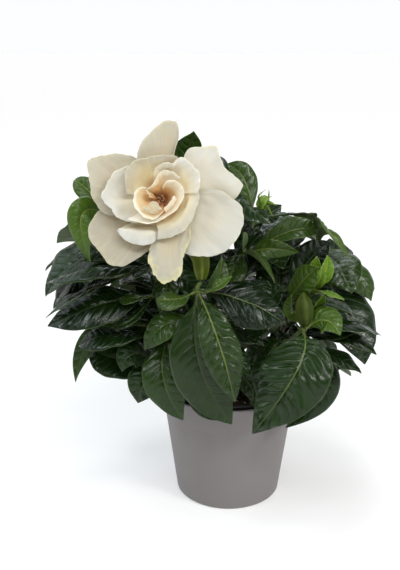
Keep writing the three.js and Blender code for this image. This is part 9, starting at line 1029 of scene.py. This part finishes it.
# ---- cover pot -------------------------------------------------------
def round_corner(points, r=0.5, n=4):
    """Rounds the inner corners of a profile."""
    p = [np.array(q, float) for q in points]
    out = [p[0]]
    for a, b, c in zip(p, p[1:], p[2:]):
        u, w = unit(a - b), unit(c - b)
        k = min(r, 0.45 * np.linalg.norm(a - b), 0.45 * np.linalg.norm(c - b))
        for t in np.linspace(0, 1, n + 1):
            out.append((1 - t)**2 * (b + u * k) + 2 * (1 - t) * t * b + t * t * (b + w * k))
    out.append(p[-1])
    return out


def pot_r(z):
    return POT_BASE_R + (POT_RIM_R - POT_BAND_OUT - POT_BASE_R) * z / POT_H


def build_pot():
    band = POT_H - POT_BAND_H
    wall = [(pot_r(z), z) for z in np.linspace(2.2, band - 1.2, 9)]
    upper = [(pot_r(band) + POT_BAND_OUT + (POT_RIM_R - 0.15 - pot_r(band) - POT_BAND_OUT) * t, band + (POT_H - 1.2 - band) * t)
             for t in np.linspace(0.03, 1, 4)]
    inside = [(POT_RIM_R - 3.0 - (POT_RIM_R - POT_BASE_R) * (1 - t), 5.4 + (POT_H - 1.4 - 5.4) * t) for t in np.linspace(1, 0, 5)]
    prof = ([(0, 0.9), (POT_BASE_R - 5.2, 0.9), (POT_BASE_R - 4.4, 0.0), (POT_BASE_R - 1.2, 0.0), (pot_r(1.2), 1.3)] + wall
            + [(pot_r(band - 0.4), band - 0.4)] + upper
            + [(POT_RIM_R - 0.2, POT_H - 0.5), (POT_RIM_R - 0.9, POT_H), (POT_RIM_R - 2.1, POT_H), (POT_RIM_R - 2.9, POT_H - 0.7)]
            + inside + [(POT_BASE_R - 4.2, 4.0), (0, 4.0)])
    p = Parts()
    p.add(*turned(round_corner(prof, 0.45, 3), 160))
    piece(p, "cover_pot_shell", ["cover_pot"], "pot", M_POT)


def build_nursery():
    def r(z):
        return INNER_BASE_R + (INNER_RIM_R - 1 - INNER_BASE_R) * (z - INNER_BOTTOM) / (INNER_TOP - INNER_BOTTOM)
    out = [(r(z), z) for z in np.linspace(INNER_BOTTOM + 1.0, INNER_TOP - 4.2, 8)]
    lip = [(r(INNER_TOP - 3.6), INNER_TOP - 3.6), (INNER_RIM_R - 0.1, INNER_TOP - 3.0), (INNER_RIM_R, INNER_TOP - 0.5),
           (INNER_RIM_R - 0.5, INNER_TOP), (r(INNER_TOP) - 0.8, INNER_TOP), (r(INNER_TOP) - 1.15, INNER_TOP - 0.6)]
    ins = [(r(z) - 1.2, z) for z in np.linspace(INNER_TOP - 1.6, INNER_BOTTOM + 2.0, 6)]
    prof = [(0, INNER_BOTTOM), (INNER_BASE_R - 0.8, INNER_BOTTOM)] + out + lip + ins + [(INNER_BASE_R - 2, INNER_BOTTOM + 1.2), (0, INNER_BOTTOM + 1.2)]
    p = Parts()
    p.add(*turned(round_corner(prof, 0.3, 2), 128))
    piece(p, "nursery_pot_shell", ["nursery_pot"], "nursery_pot", M_PLASTIC)


# ---- potting mix -----------------------------------------------------
def build_soil():
    rng = np.random.default_rng(11)
    p = Parts()
    rim = INNER_BASE_R + (INNER_RIM_R - 1 - INNER_BASE_R) * (SOIL_TOP - 1 - INNER_BOTTOM) / (INNER_TOP - INNER_BOTTOM) - 1.2 - 0.5
    bottom = INNER_BOTTOM + 1.7
    wall = [(0, bottom), (INNER_BASE_R - 2.2, bottom), (INNER_BASE_R - 1.6, bottom + 0.6)]
    side = [(INNER_BASE_R - 1.6 + (rim - INNER_BASE_R + 1.6) * t, bottom + 0.6 + (SOIL_TOP - 1 - bottom - 0.6) * t) for t in np.linspace(0.06, 1, 12)]
    radii = np.linspace(rim - 0.9, 0.8, 46)
    top = [(r, SOIL_TOP + SOIL_DOME * (1 - (r / rim)**2) - 0.2) for r in radii]
    v, q, t = turned(wall + side + top + [(0, SOIL_TOP + SOIL_DOME - 0.2)], 150)
    # crumbs: a sum of small random bumps on the upper surface
    up = v[:, 2] > SOIL_TOP - 0.5
    rr = np.hypot(v[:, 0], v[:, 1])
    b = np.zeros(len(v))
    for _ in range(900):
        a, r = rng.uniform(0, 2 * math.pi), rim * math.sqrt(rng.uniform(0, 1))
        s, h = rng.uniform(0.8, 2.6), rng.uniform(-0.35, 0.75)
        d2 = (v[:, 0] - r * math.cos(a))**2 + (v[:, 1] - r * math.sin(a))**2
        b += h * np.exp(-d2 / (s * s))
    b = np.clip(b, -1.6, 1.9)
    v[:, 2] += np.where(up, b * smooth(rim, rim - 2.5, rr), 0)
    crown = np.min([np.hypot(v[:, 0] - c[0], v[:, 1] - c[1]) for c in CROWNS], axis=0)
    v[:, 2] += np.where(up, 1.1 * np.exp(-(crown / 6.5)**2), 0)
    p.add(v, q, t, dict(soil_a=np.zeros((len(v), 3))))
    # bark chips and perlite
    cube = np.array([[x, y, z] for x in (-1, 1) for y in (-1, 1) for z in (-1, 1)], float)
    faces = np.array([[0, 1, 3, 2], [4, 6, 7, 5], [0, 4, 5, 1], [2, 3, 7, 6], [0, 2, 6, 4], [1, 5, 7, 3]])
    for k in range(620):
        a, r = rng.uniform(0, 2 * math.pi), (rim - 3.2) * math.sqrt(rng.uniform(0, 1))
        x, y = r * math.cos(a), r * math.sin(a)
        if min(math.hypot(x - c[0], y - c[1]) for c in CROWNS) < 5.2:
            continue
        white = rng.uniform() < 0.13
        size = rng.uniform(0.5, 1.0, 3) * (np.array([0.8, 0.8, 0.7]) if white else np.array([1.9, 1.0, 0.42])) * rng.uniform(0.6, 1.25)
        g = cube * (1 - 0.22 * rng.random((8, 3))) * size
        e = rng.uniform(0, 2 * math.pi, 3) * np.array([0.12, 0.12, 1.0])
        rot = (Matrix.Rotation(e[2], 3, "Z") @ Matrix.Rotation(e[0] - 0.35, 3, "X") @ Matrix.Rotation(e[1] - 0.35, 3, "Y"))
        g = g @ np.array(rot).T
        z = SOIL_TOP + SOIL_DOME * (1 - (r / rim)**2) + rng.uniform(-0.1, 0.9)
        p.add(g + np.array([x, y, z]), faces, (), dict(soil_a=np.tile([1.0 if white else 0.5, rng.random(), 0], (8, 1))))
    ob = piece(p, "potting_mix_bed", ["potting_mix"], "soil", M_SOIL)
    return ob


# ---- stems -----------------------------------------------------------
def build_stems():
    for c_i, (name, crown, branches) in enumerate(CUTTINGS):
        p = Parts()
        z = np.linspace(66, 90, 17)
        rough = np.array([hash01(c_i, 50, k) for k in range(17)])
        c = np.stack([crown[0] + 0.3 * np.sin(z * 0.4), crown[1] + 0.3 * np.cos(z * 0.5), z], 1)
        v, q, t = tube(c, 3.05 + 0.3 * rough - 0.9 * smooth(88.5, 90, z), 20,
                       lambda a, i: 1 + 0.05 * np.cos(5 * a + i * 0.7) + 0.03 * np.sin(9 * a - i))
        n = len(v)
        p.add(v, q, t, dict(stem_a=np.stack([np.zeros(n), np.arctan2(v[:, 1] - crown[1], v[:, 0] - crown[0]) / 6.283, np.zeros(n)], 1)))
        for b_i, (r0, r1, pts, knots) in enumerate(branches):
            c, par = spline(pts, 1.7)
            u = par / (len(pts) - 1)
            r = r0 + (r1 - r0) * u
            for k in knots:
                r = r + 0.32 * np.exp(-((par - k) * 11.0)**2)
            r = r * (0.93 + 0.05 * np.sin(np.arange(len(c)) * 0.9 + b_i))
            r[-1] *= 0.75
            v, q, t = tube(c, r, 14, lambda a, i: 1 + 0.035 * np.cos(3 * a + 0.12 * i) + 0.02 * np.sin(7 * a))
            n = len(v)
            a14 = np.tile(np.arange(14) / 14, len(c))
            at = np.stack([np.concatenate([np.repeat(u, 14), [u[0], u[-1]]]), np.concatenate([np.abs(a14 - 0.5) * 2, [0, 0]]), np.zeros(n)], 1)
            p.add(v, q, t, dict(stem_a=at))
        piece(p, name + "_wood", [name], "stem", M_STEM)


# ---- leaves ----------------------------------------------------------
def sheath(p, t, r, seed):
    """The stipule sheath round the stem at a whorl."""
    lo, hi = -1.5, 1.7
    inner = r + 0.25
    prof = [(inner, lo + 0.3), (inner + 0.55, lo), (inner + 1.05, lo + 0.5), (inner + 1.15, 0.0), (inner + 0.85, hi - 0.7), (inner + 0.45, hi), (inner, hi - 0.3)]
    n, m = 24, len(prof)
    a = np.linspace(0, 2 * math.pi, n, endpoint=False)
    q = np.array(prof)
    v = np.stack([q[None, :, 0] * np.cos(a)[:, None], q[None, :, 0] * np.sin(a)[:, None],
                  np.broadcast_to(q[None, :, 1], (n, m)) + 0.35 * np.cos(2 * a + seed)[:, None] * (q[None, :, 1] > 0)], -1).reshape(-1, 3)
    z = unit(np.array(t, float))
    x = unit(np.cross([0.3, 1, 0.1], z))
    y = np.cross(z, x)
    v = v[:, :1] * x + v[:, 1:2] * y + v[:, 2:] * z + np.array(p, float)
    k, i = np.meshgrid(np.arange(n), np.arange(m), indexing="ij")
    k, i = k.ravel(), i.ravel()
    k2, i2 = (k + 1) % n, (i + 1) % m
    return v, np.stack([k * m + i, k2 * m + i, k2 * m + i2, k * m + i2], 1)


def build_leaves():
    count = 0
    for w_i, (name, p, t, r, leaves) in enumerate(WHORLS):
        parts = Parts()
        v, q = sheath(p, t, r, w_i)
        n = len(v)
        parts.add(v, q, (), dict(leaf_a=np.tile([0.5, 0.3, 0.5], (n, 1)), leaf_b=np.tile([9.0, 1.0, 0.5], (n, 1)), leaf_c=np.tile([0.25, 0.5, 0.55], (n, 1))))
        for l in leaves:
            count += 1
            fine = l[-1]
            nt, ns, gap = ((46, 15, 8.2), (58, 21, 8.0), (98, 35, 8.6))[fine]
            v, q, at = leaf_shell(l[:-1], count, nt, ns, gap)
            parts.add(v, q, (), at)
        ob = piece(parts, name + "_blades", [name], "young_leaf" if name in YOUNG else "leaf", M_LEAF)


# ---- petals ----------------------------------------------------------
def build_petals():
    for k, (name, thick, warm, ruffle, ragged, shade, gold, blush, net) in enumerate(PETALS):
        G = np.array(net, float).reshape(len(net), -1, 3)
        nt, ns = (44, 84) if "inner" not in name else (36, 72)
        x, y = np.linspace(0, 1, nt), np.linspace(0, 1, ns)
        rn = [hash01(k, q, 3) for q in range(10)]
        # the margin is cut back unevenly
        cut = 0.5 + 0.30 * np.sin(2 * math.pi * (4.7 * y + rn[8])) + 0.22 * np.sin(2 * math.pi * (9.3 * y + rn[9])) + 0.14 * np.sin(2 * math.pi * (19.0 * y + rn[0]))
        cut = ragged * np.clip(cut, 0, 1)**1.5 * smooth(0, 0.08, y) * smooth(0, 0.08, 1 - y)
        B = cr_basis(y, G.shape[1])
        X = np.zeros((nt, ns, 3))
        for j in range(ns):
            X[:, j] = cr_basis(x * (1 - cut[j] * x**3), G.shape[0]) @ np.einsum("j,ijk->ik", B[j], G)
        n = grid_normals(X)
        t, s = x[:, None], y[None, :]
        sides = np.minimum(s, 1 - s)
        # shallow pleats that fan out from the foot, and a softly ruffled margin
        h = 0.05 * np.sin(2 * math.pi * (7.0 * s + rn[0])) * smooth(0.1, 0.6, t) * (1 - 0.5 * t)
        h = h + 0.035 * np.sin(2 * math.pi * (11.0 * s + 0.8 * t + rn[1])) * smooth(0.3, 0.9, t)
        wave = np.sin(2 * math.pi * (3.1 * s + rn[2])) + 0.6 * np.sin(2 * math.pi * (6.3 * s + rn[3])) + 0.35 * np.sin(2 * math.pi * (12.7 * s + rn[4]))
        h = h + ruffle * wave * smooth(0.70, 1.0, t)**2.2
        h = h + 0.16 * (np.sin(2 * math.pi * (2.3 * s + 1.7 * t + rn[5])) + np.sin(2 * math.pi * (1.1 * s - 2.9 * t + rn[6])))
        h = h * smooth(0.0, 0.12, t)
        X = X + n * h[..., None]
        half = 0.5 * thick * (0.78 - 0.42 * smooth(0.6, 1.0, t + 0 * s)) * (0.55 + 0.45 * smooth(0.0, 0.10, sides))
        up, down = X + n * half[..., None], X - n * half[..., None]
        v = np.concatenate([up.reshape(-1, 3), down.reshape(-1, 3)])
        edge = np.maximum(t + 0 * s, (1 - sides * 9.0) * smooth(0.35, 0.8, t))
        a = np.stack([t + 0 * s, s + 0 * t, np.full((nt, ns), rn[7])], -1).reshape(-1, 3)
        b = np.stack([edge, h, np.full((nt, ns), warm)], -1).reshape(-1, 3)
        p = Parts()
        # petal_c carries the painted shade, the gold (partly painted glow) and the tan blush
        p.add(v, sheet_faces(nt, ns), (), dict(petal_a=np.tile(a, (2, 1)), petal_b=np.tile(b, (2, 1)), petal_c=np.tile([shade, gold, blush], (len(v), 1))))
        piece(p, name + "_tissue", [name], "inner_petal" if "inner" in name else "petal", M_INNER if "inner" in name else M_PETAL)


# ---- calyx, corolla tube, buds ---------------------------------------
def green(v, along, rib):
    return dict(green_a=np.stack([along, rib, np.zeros(len(along))], 1))


def ribbed(p, pts, radii, sides, ribs, depth, step, sharp=2.0, tip=1.0, mat=0):
    c, par = spline(pts, step)
    u = par / (len(pts) - 1)
    r = np.interp(u, np.linspace(0, 1, len(radii)), radii)
    # soften the corners of the radius table
    for _ in range(3):
        r[1:-1] = (r[:-2] + 2 * r[1:-1] + r[2:]) / 4
    a = np.linspace(0, 2 * math.pi, sides, endpoint=False)
    rib = (0.5 + 0.5 * np.cos(ribs * a))**sharp
    v, q, t = tube(c, r, sides, lambda aa, i: 1 + depth * ((0.5 + 0.5 * np.cos(ribs * aa))**sharp - 0.3) + 0 * i)
    n = len(c)
    p.add(v, q, t, green(v, np.concatenate([np.repeat(u, sides), [0, 1]]), np.concatenate([np.tile(rib, n), [0, 0]])), mat)
    return c, r


def lobe(p, pts, width, thick, keel, nt=16, ns=9, mat=0):
    """A narrow pointed sepal along a line, keeled like a shallow V."""
    c, par = spline(pts, 0.8)
    idx = np.linspace(0, len(c) - 1, nt).round().astype(int)
    c = c[idx]
    t, s, o = frames(c)
    u = np.linspace(0, 1, nt)
    w = width * (0.35 + 0.65 * smooth(0, 0.25, u)) * (1 - smooth(0.35, 1.0, u))**0.8 + 0.08
    y = np.linspace(-1, 1, ns)
    X = c[:, None, :] + s[:, None, :] * (w[:, None] * y)[..., None] + o[:, None, :] * (keel * w[:, None] * np.abs(y))[..., None]
    n = grid_normals(X)
    half = (thick * (1 - 0.6 * u)[:, None] * (1 - 0.6 * y * y)[None, :])[..., None]
    v = np.concatenate([(X + n * half).reshape(-1, 3), (X - n * half).reshape(-1, 3)])
    al = np.tile(np.repeat(u, ns), 2)
    rb = np.tile(np.tile(np.exp(-(y / 0.22)**2), nt), 2)
    p.add(v, sheet_faces(nt, ns), (), green(v, al, rb), mat)


def build_calyx():
    p = Parts()
    pts = np.array(CALYX_LINE).reshape(-1, 3)
    ribbed(p, pts, CALYX_RADII, 60, CALYX_RIBS, 0.12, 0.7, 3.0)
    piece(p, "calyx_ribbed", ["calyx"], "calyx", M_CALYX)


def build_tube():
    p = Parts()
    pts = np.array(TUBE_LINE).reshape(-1, 3)
    c, par = spline(pts, 0.8)
    u = par / (len(pts) - 1)
    r = np.interp(u, np.linspace(0, 1, len(TUBE_RADII)), TUBE_RADII)
    for _ in range(3):
        r[1:-1] = (r[:-2] + 2 * r[1:-1] + r[2:]) / 4
    sides = 72
    end = smooth(0.90, 1.0, u)
    v, q, t = tube(c, r, sides, lambda a, i: 1 + end[np.clip(i, 0, len(u) - 1)] * (0.05 * np.cos(5 * a + 1.0) + 0.03 * np.cos(9 * a + 2.0)), cap1=False)
    n = len(c)
    # the mouth: folds that wind into the middle
    rim = v[(n - 1) * sides:n * sides]
    mid = rim.mean(0)
    out = unit(c[-1] - c[-3])
    rings = 16
    turn = 2 * math.pi * np.arange(sides) / sides
    extra, fold = [], []
    for k in range(1, rings):
        f = 1 - k / rings
        w = 0.5 + 0.5 * np.cos(3 * turn + 7.5 * (1 - f) + 0.6 * np.sin(2 * turn))
        w2 = 0.5 + 0.5 * np.cos(7 * turn - 5.0 * (1 - f))
        lift = (1.25 * w**1.5 + 0.35 * w2) * np.sin(math.pi * min(1.0, f * 1.15))**0.7 - 0.9 * (1 - f)**1.5
        extra.append(mid + (rim - mid) * f + out * lift[:, None])
        fold.append(0.75 * w + 0.25 * w2)
    base, m0, hub = len(v), (n - 1) * sides, n * sides + 1
    v = np.concatenate([v] + extra)
    v[hub] = mid - out * 0.9
    row = lambda k, j: (m0 if k == 0 else base + (k - 1) * sides) + j % sides
    q = [tuple(x) for x in q] + [(row(k, j), row(k, j + 1), row(k + 1, j + 1), row(k + 1, j)) for k in range(rings - 1) for j in range(sides)]
    t = [tuple(x) for x in t[:sides]] + [(row(rings - 1, j), row(rings - 1, j + 1), hub) for j in range(sides)]
    a = np.abs(np.arange(sides) / sides - 0.5) * 2
    at = np.zeros((len(v), 3))
    at[:n * sides, 0] = np.repeat(u, sides)
    at[:n * sides, 1] = np.tile(a, n)
    at[m0:m0 + sides, 2] = 0.6
    at[hub] = (1.0, 0.0, 0.0)
    at[base:, 0] = 1.0
    at[base:, 2] = np.concatenate(fold)
    p.add(v, q, t, dict(tube_a=at))
    piece(p, "corolla_tube_throat", ["corolla_tube"], "tube", M_TUBE)


def build_buds():
    p = Parts()
    ribbed(p, np.array(BUD_LINE).reshape(-1, 3), BUD_RADII, 48, 5, 0.09, 0.6, 1.4)
    piece(p, "bud_right_tight", ["bud_right"], "bud", M_BUD)
    p = Parts()
    ribbed(p, np.array(SEPAL_BUD_LINE).reshape(-1, 3), SEPAL_BUD_RADII, 40, 6, 0.10, 0.5, 2.0)
    for q in SEPALS:
        lobe(p, np.array(q).reshape(-1, 3), 1.5, 0.38, 0.45)
    piece(p, "bud_sepals_green", ["bud_sepals"], "calyx", M_SEPAL)


build_pot()
build_nursery()
build_soil()
build_stems()
build_leaves()
build_petals()
build_calyx()
build_tube()
build_buds()

# ======================================================================
# floor, light, camera
# ======================================================================
def stage():
    me = bpy.data.meshes.new("floor_plane")
    s = 30.0
    me.from_pydata([(-s, -s, 0), (s, -s, 0), (s, s, 0), (-s, s, 0)], [], [(0, 1, 2, 3)])
    ob = bpy.data.objects.new("floor_plane", me)
    bpy.context.scene.collection.objects.link(ob)
    m = Mat("floor_pale", Roughness=0.9, Specular_IOR_Level=0.1)
    m.s.inputs["Base Color"].default_value = (0.60, 0.60, 0.597, 1)
    m.s.inputs["Emission Color"].default_value = (1, 1, 1, 1)
    # evens out the fall-off of the lamps, so the floor stays pale to the horizon
    far = m.node("ShaderNodeVectorMath", operation="LENGTH")
    m.put(far.inputs[0], m.place())
    m.put(m.s.inputs["Emission Strength"], m.step(far.outputs["Value"], 0.35, 1.9, *FLOOR_GLOW))
    me.materials.append(m.m)

    w = bpy.data.worlds.new("studio")
    bpy.context.scene.world = w
    w.use_nodes = True
    t = w.node_tree
    bg = t.nodes["Background"]
    co = t.nodes.new("ShaderNodeTexCoord")
    z = t.nodes.new("ShaderNodeSeparateXYZ")
    t.links.new(co.outputs["Generated"], z.inputs[0])
    k = t.nodes.new("ShaderNodeMapRange")
    k.interpolation_type = "SMOOTHSTEP"
    for s, v in zip(k.inputs, (0.0, 0.10, 0.72, HORIZON, WORLD_STRENGTH)):
        s.default_value = v
    t.links.new(z.outputs[2], k.inputs[0])
    # the studio is white behind the plant and dim on the camera's side
    side = t.nodes.new("ShaderNodeMapRange")
    side.interpolation_type = "SMOOTHSTEP"
    for s, v in zip(side.inputs, (0.0, -0.80, -0.40, 0.0, 1.0)):
        s.default_value = v
    t.links.new(z.outputs[1], side.inputs[0])
    both = t.nodes.new("ShaderNodeMix")
    both.data_type = "FLOAT"
    t.links.new(side.outputs[0], both.inputs[0])
    low = t.nodes.new("ShaderNodeMapRange")
    low.interpolation_type = "SMOOTHSTEP"
    for s, v in zip(low.inputs, (0.0, 0.09, 0.17, HORIZON, WORLD_FRONT)):
        s.default_value = v
    t.links.new(z.outputs[2], low.inputs[0])
    t.links.new(low.outputs[0], both.inputs[2])
    t.links.new(k.outputs[0], both.inputs[3])
    bg.inputs[0].default_value = (*WORLD_COLOR, 1)
    t.links.new(both.outputs[0], bg.inputs[1])

    for name, kind, pos, aim, energy, size, colour in LIGHTS:
        l = bpy.data.lights.new(name, kind)
        l.energy = energy
        l.color = colour
        if kind == "SUN":
            l.angle = math.radians(size)
        else:
            l.shape = "RECTANGLE"
            l.size, l.size_y = size
        ob = bpy.data.objects.new(name, l)
        bpy.context.scene.collection.objects.link(ob)
        ob.location = pos
        ob.visible_camera = False
        ob.rotation_euler = (Vector(aim) - Vector(pos)).to_track_quat("-Z", "Y").to_euler()

    cam = bpy.data.cameras.new("camera")
    cam.lens = 50.0
    cam.sensor_width = 36.0
    cam.clip_start = 0.01
    cam.clip_end = 100.0
    ob = bpy.data.objects.new("camera", cam)
    bpy.context.scene.collection.objects.link(ob)
    e = math.radians(17.0)
    right, up, back = (1, 0, 0), (0, math.sin(e), math.cos(e)), (0, -math.cos(e), math.sin(e))
    pos = (-0.0238, -0.6075, 0.3643)
    ob.matrix_world = Matrix([[right[i], up[i], back[i], pos[i]] for i in range(3)] + [[0, 0, 0, 1]])
    bpy.context.scene.camera = ob
    bpy.context.scene.view_settings.view_transform = "Standard"
    bpy.context.scene.view_settings.look = "None"
    bpy.context.scene.view_settings.exposure = 0.0


stage()
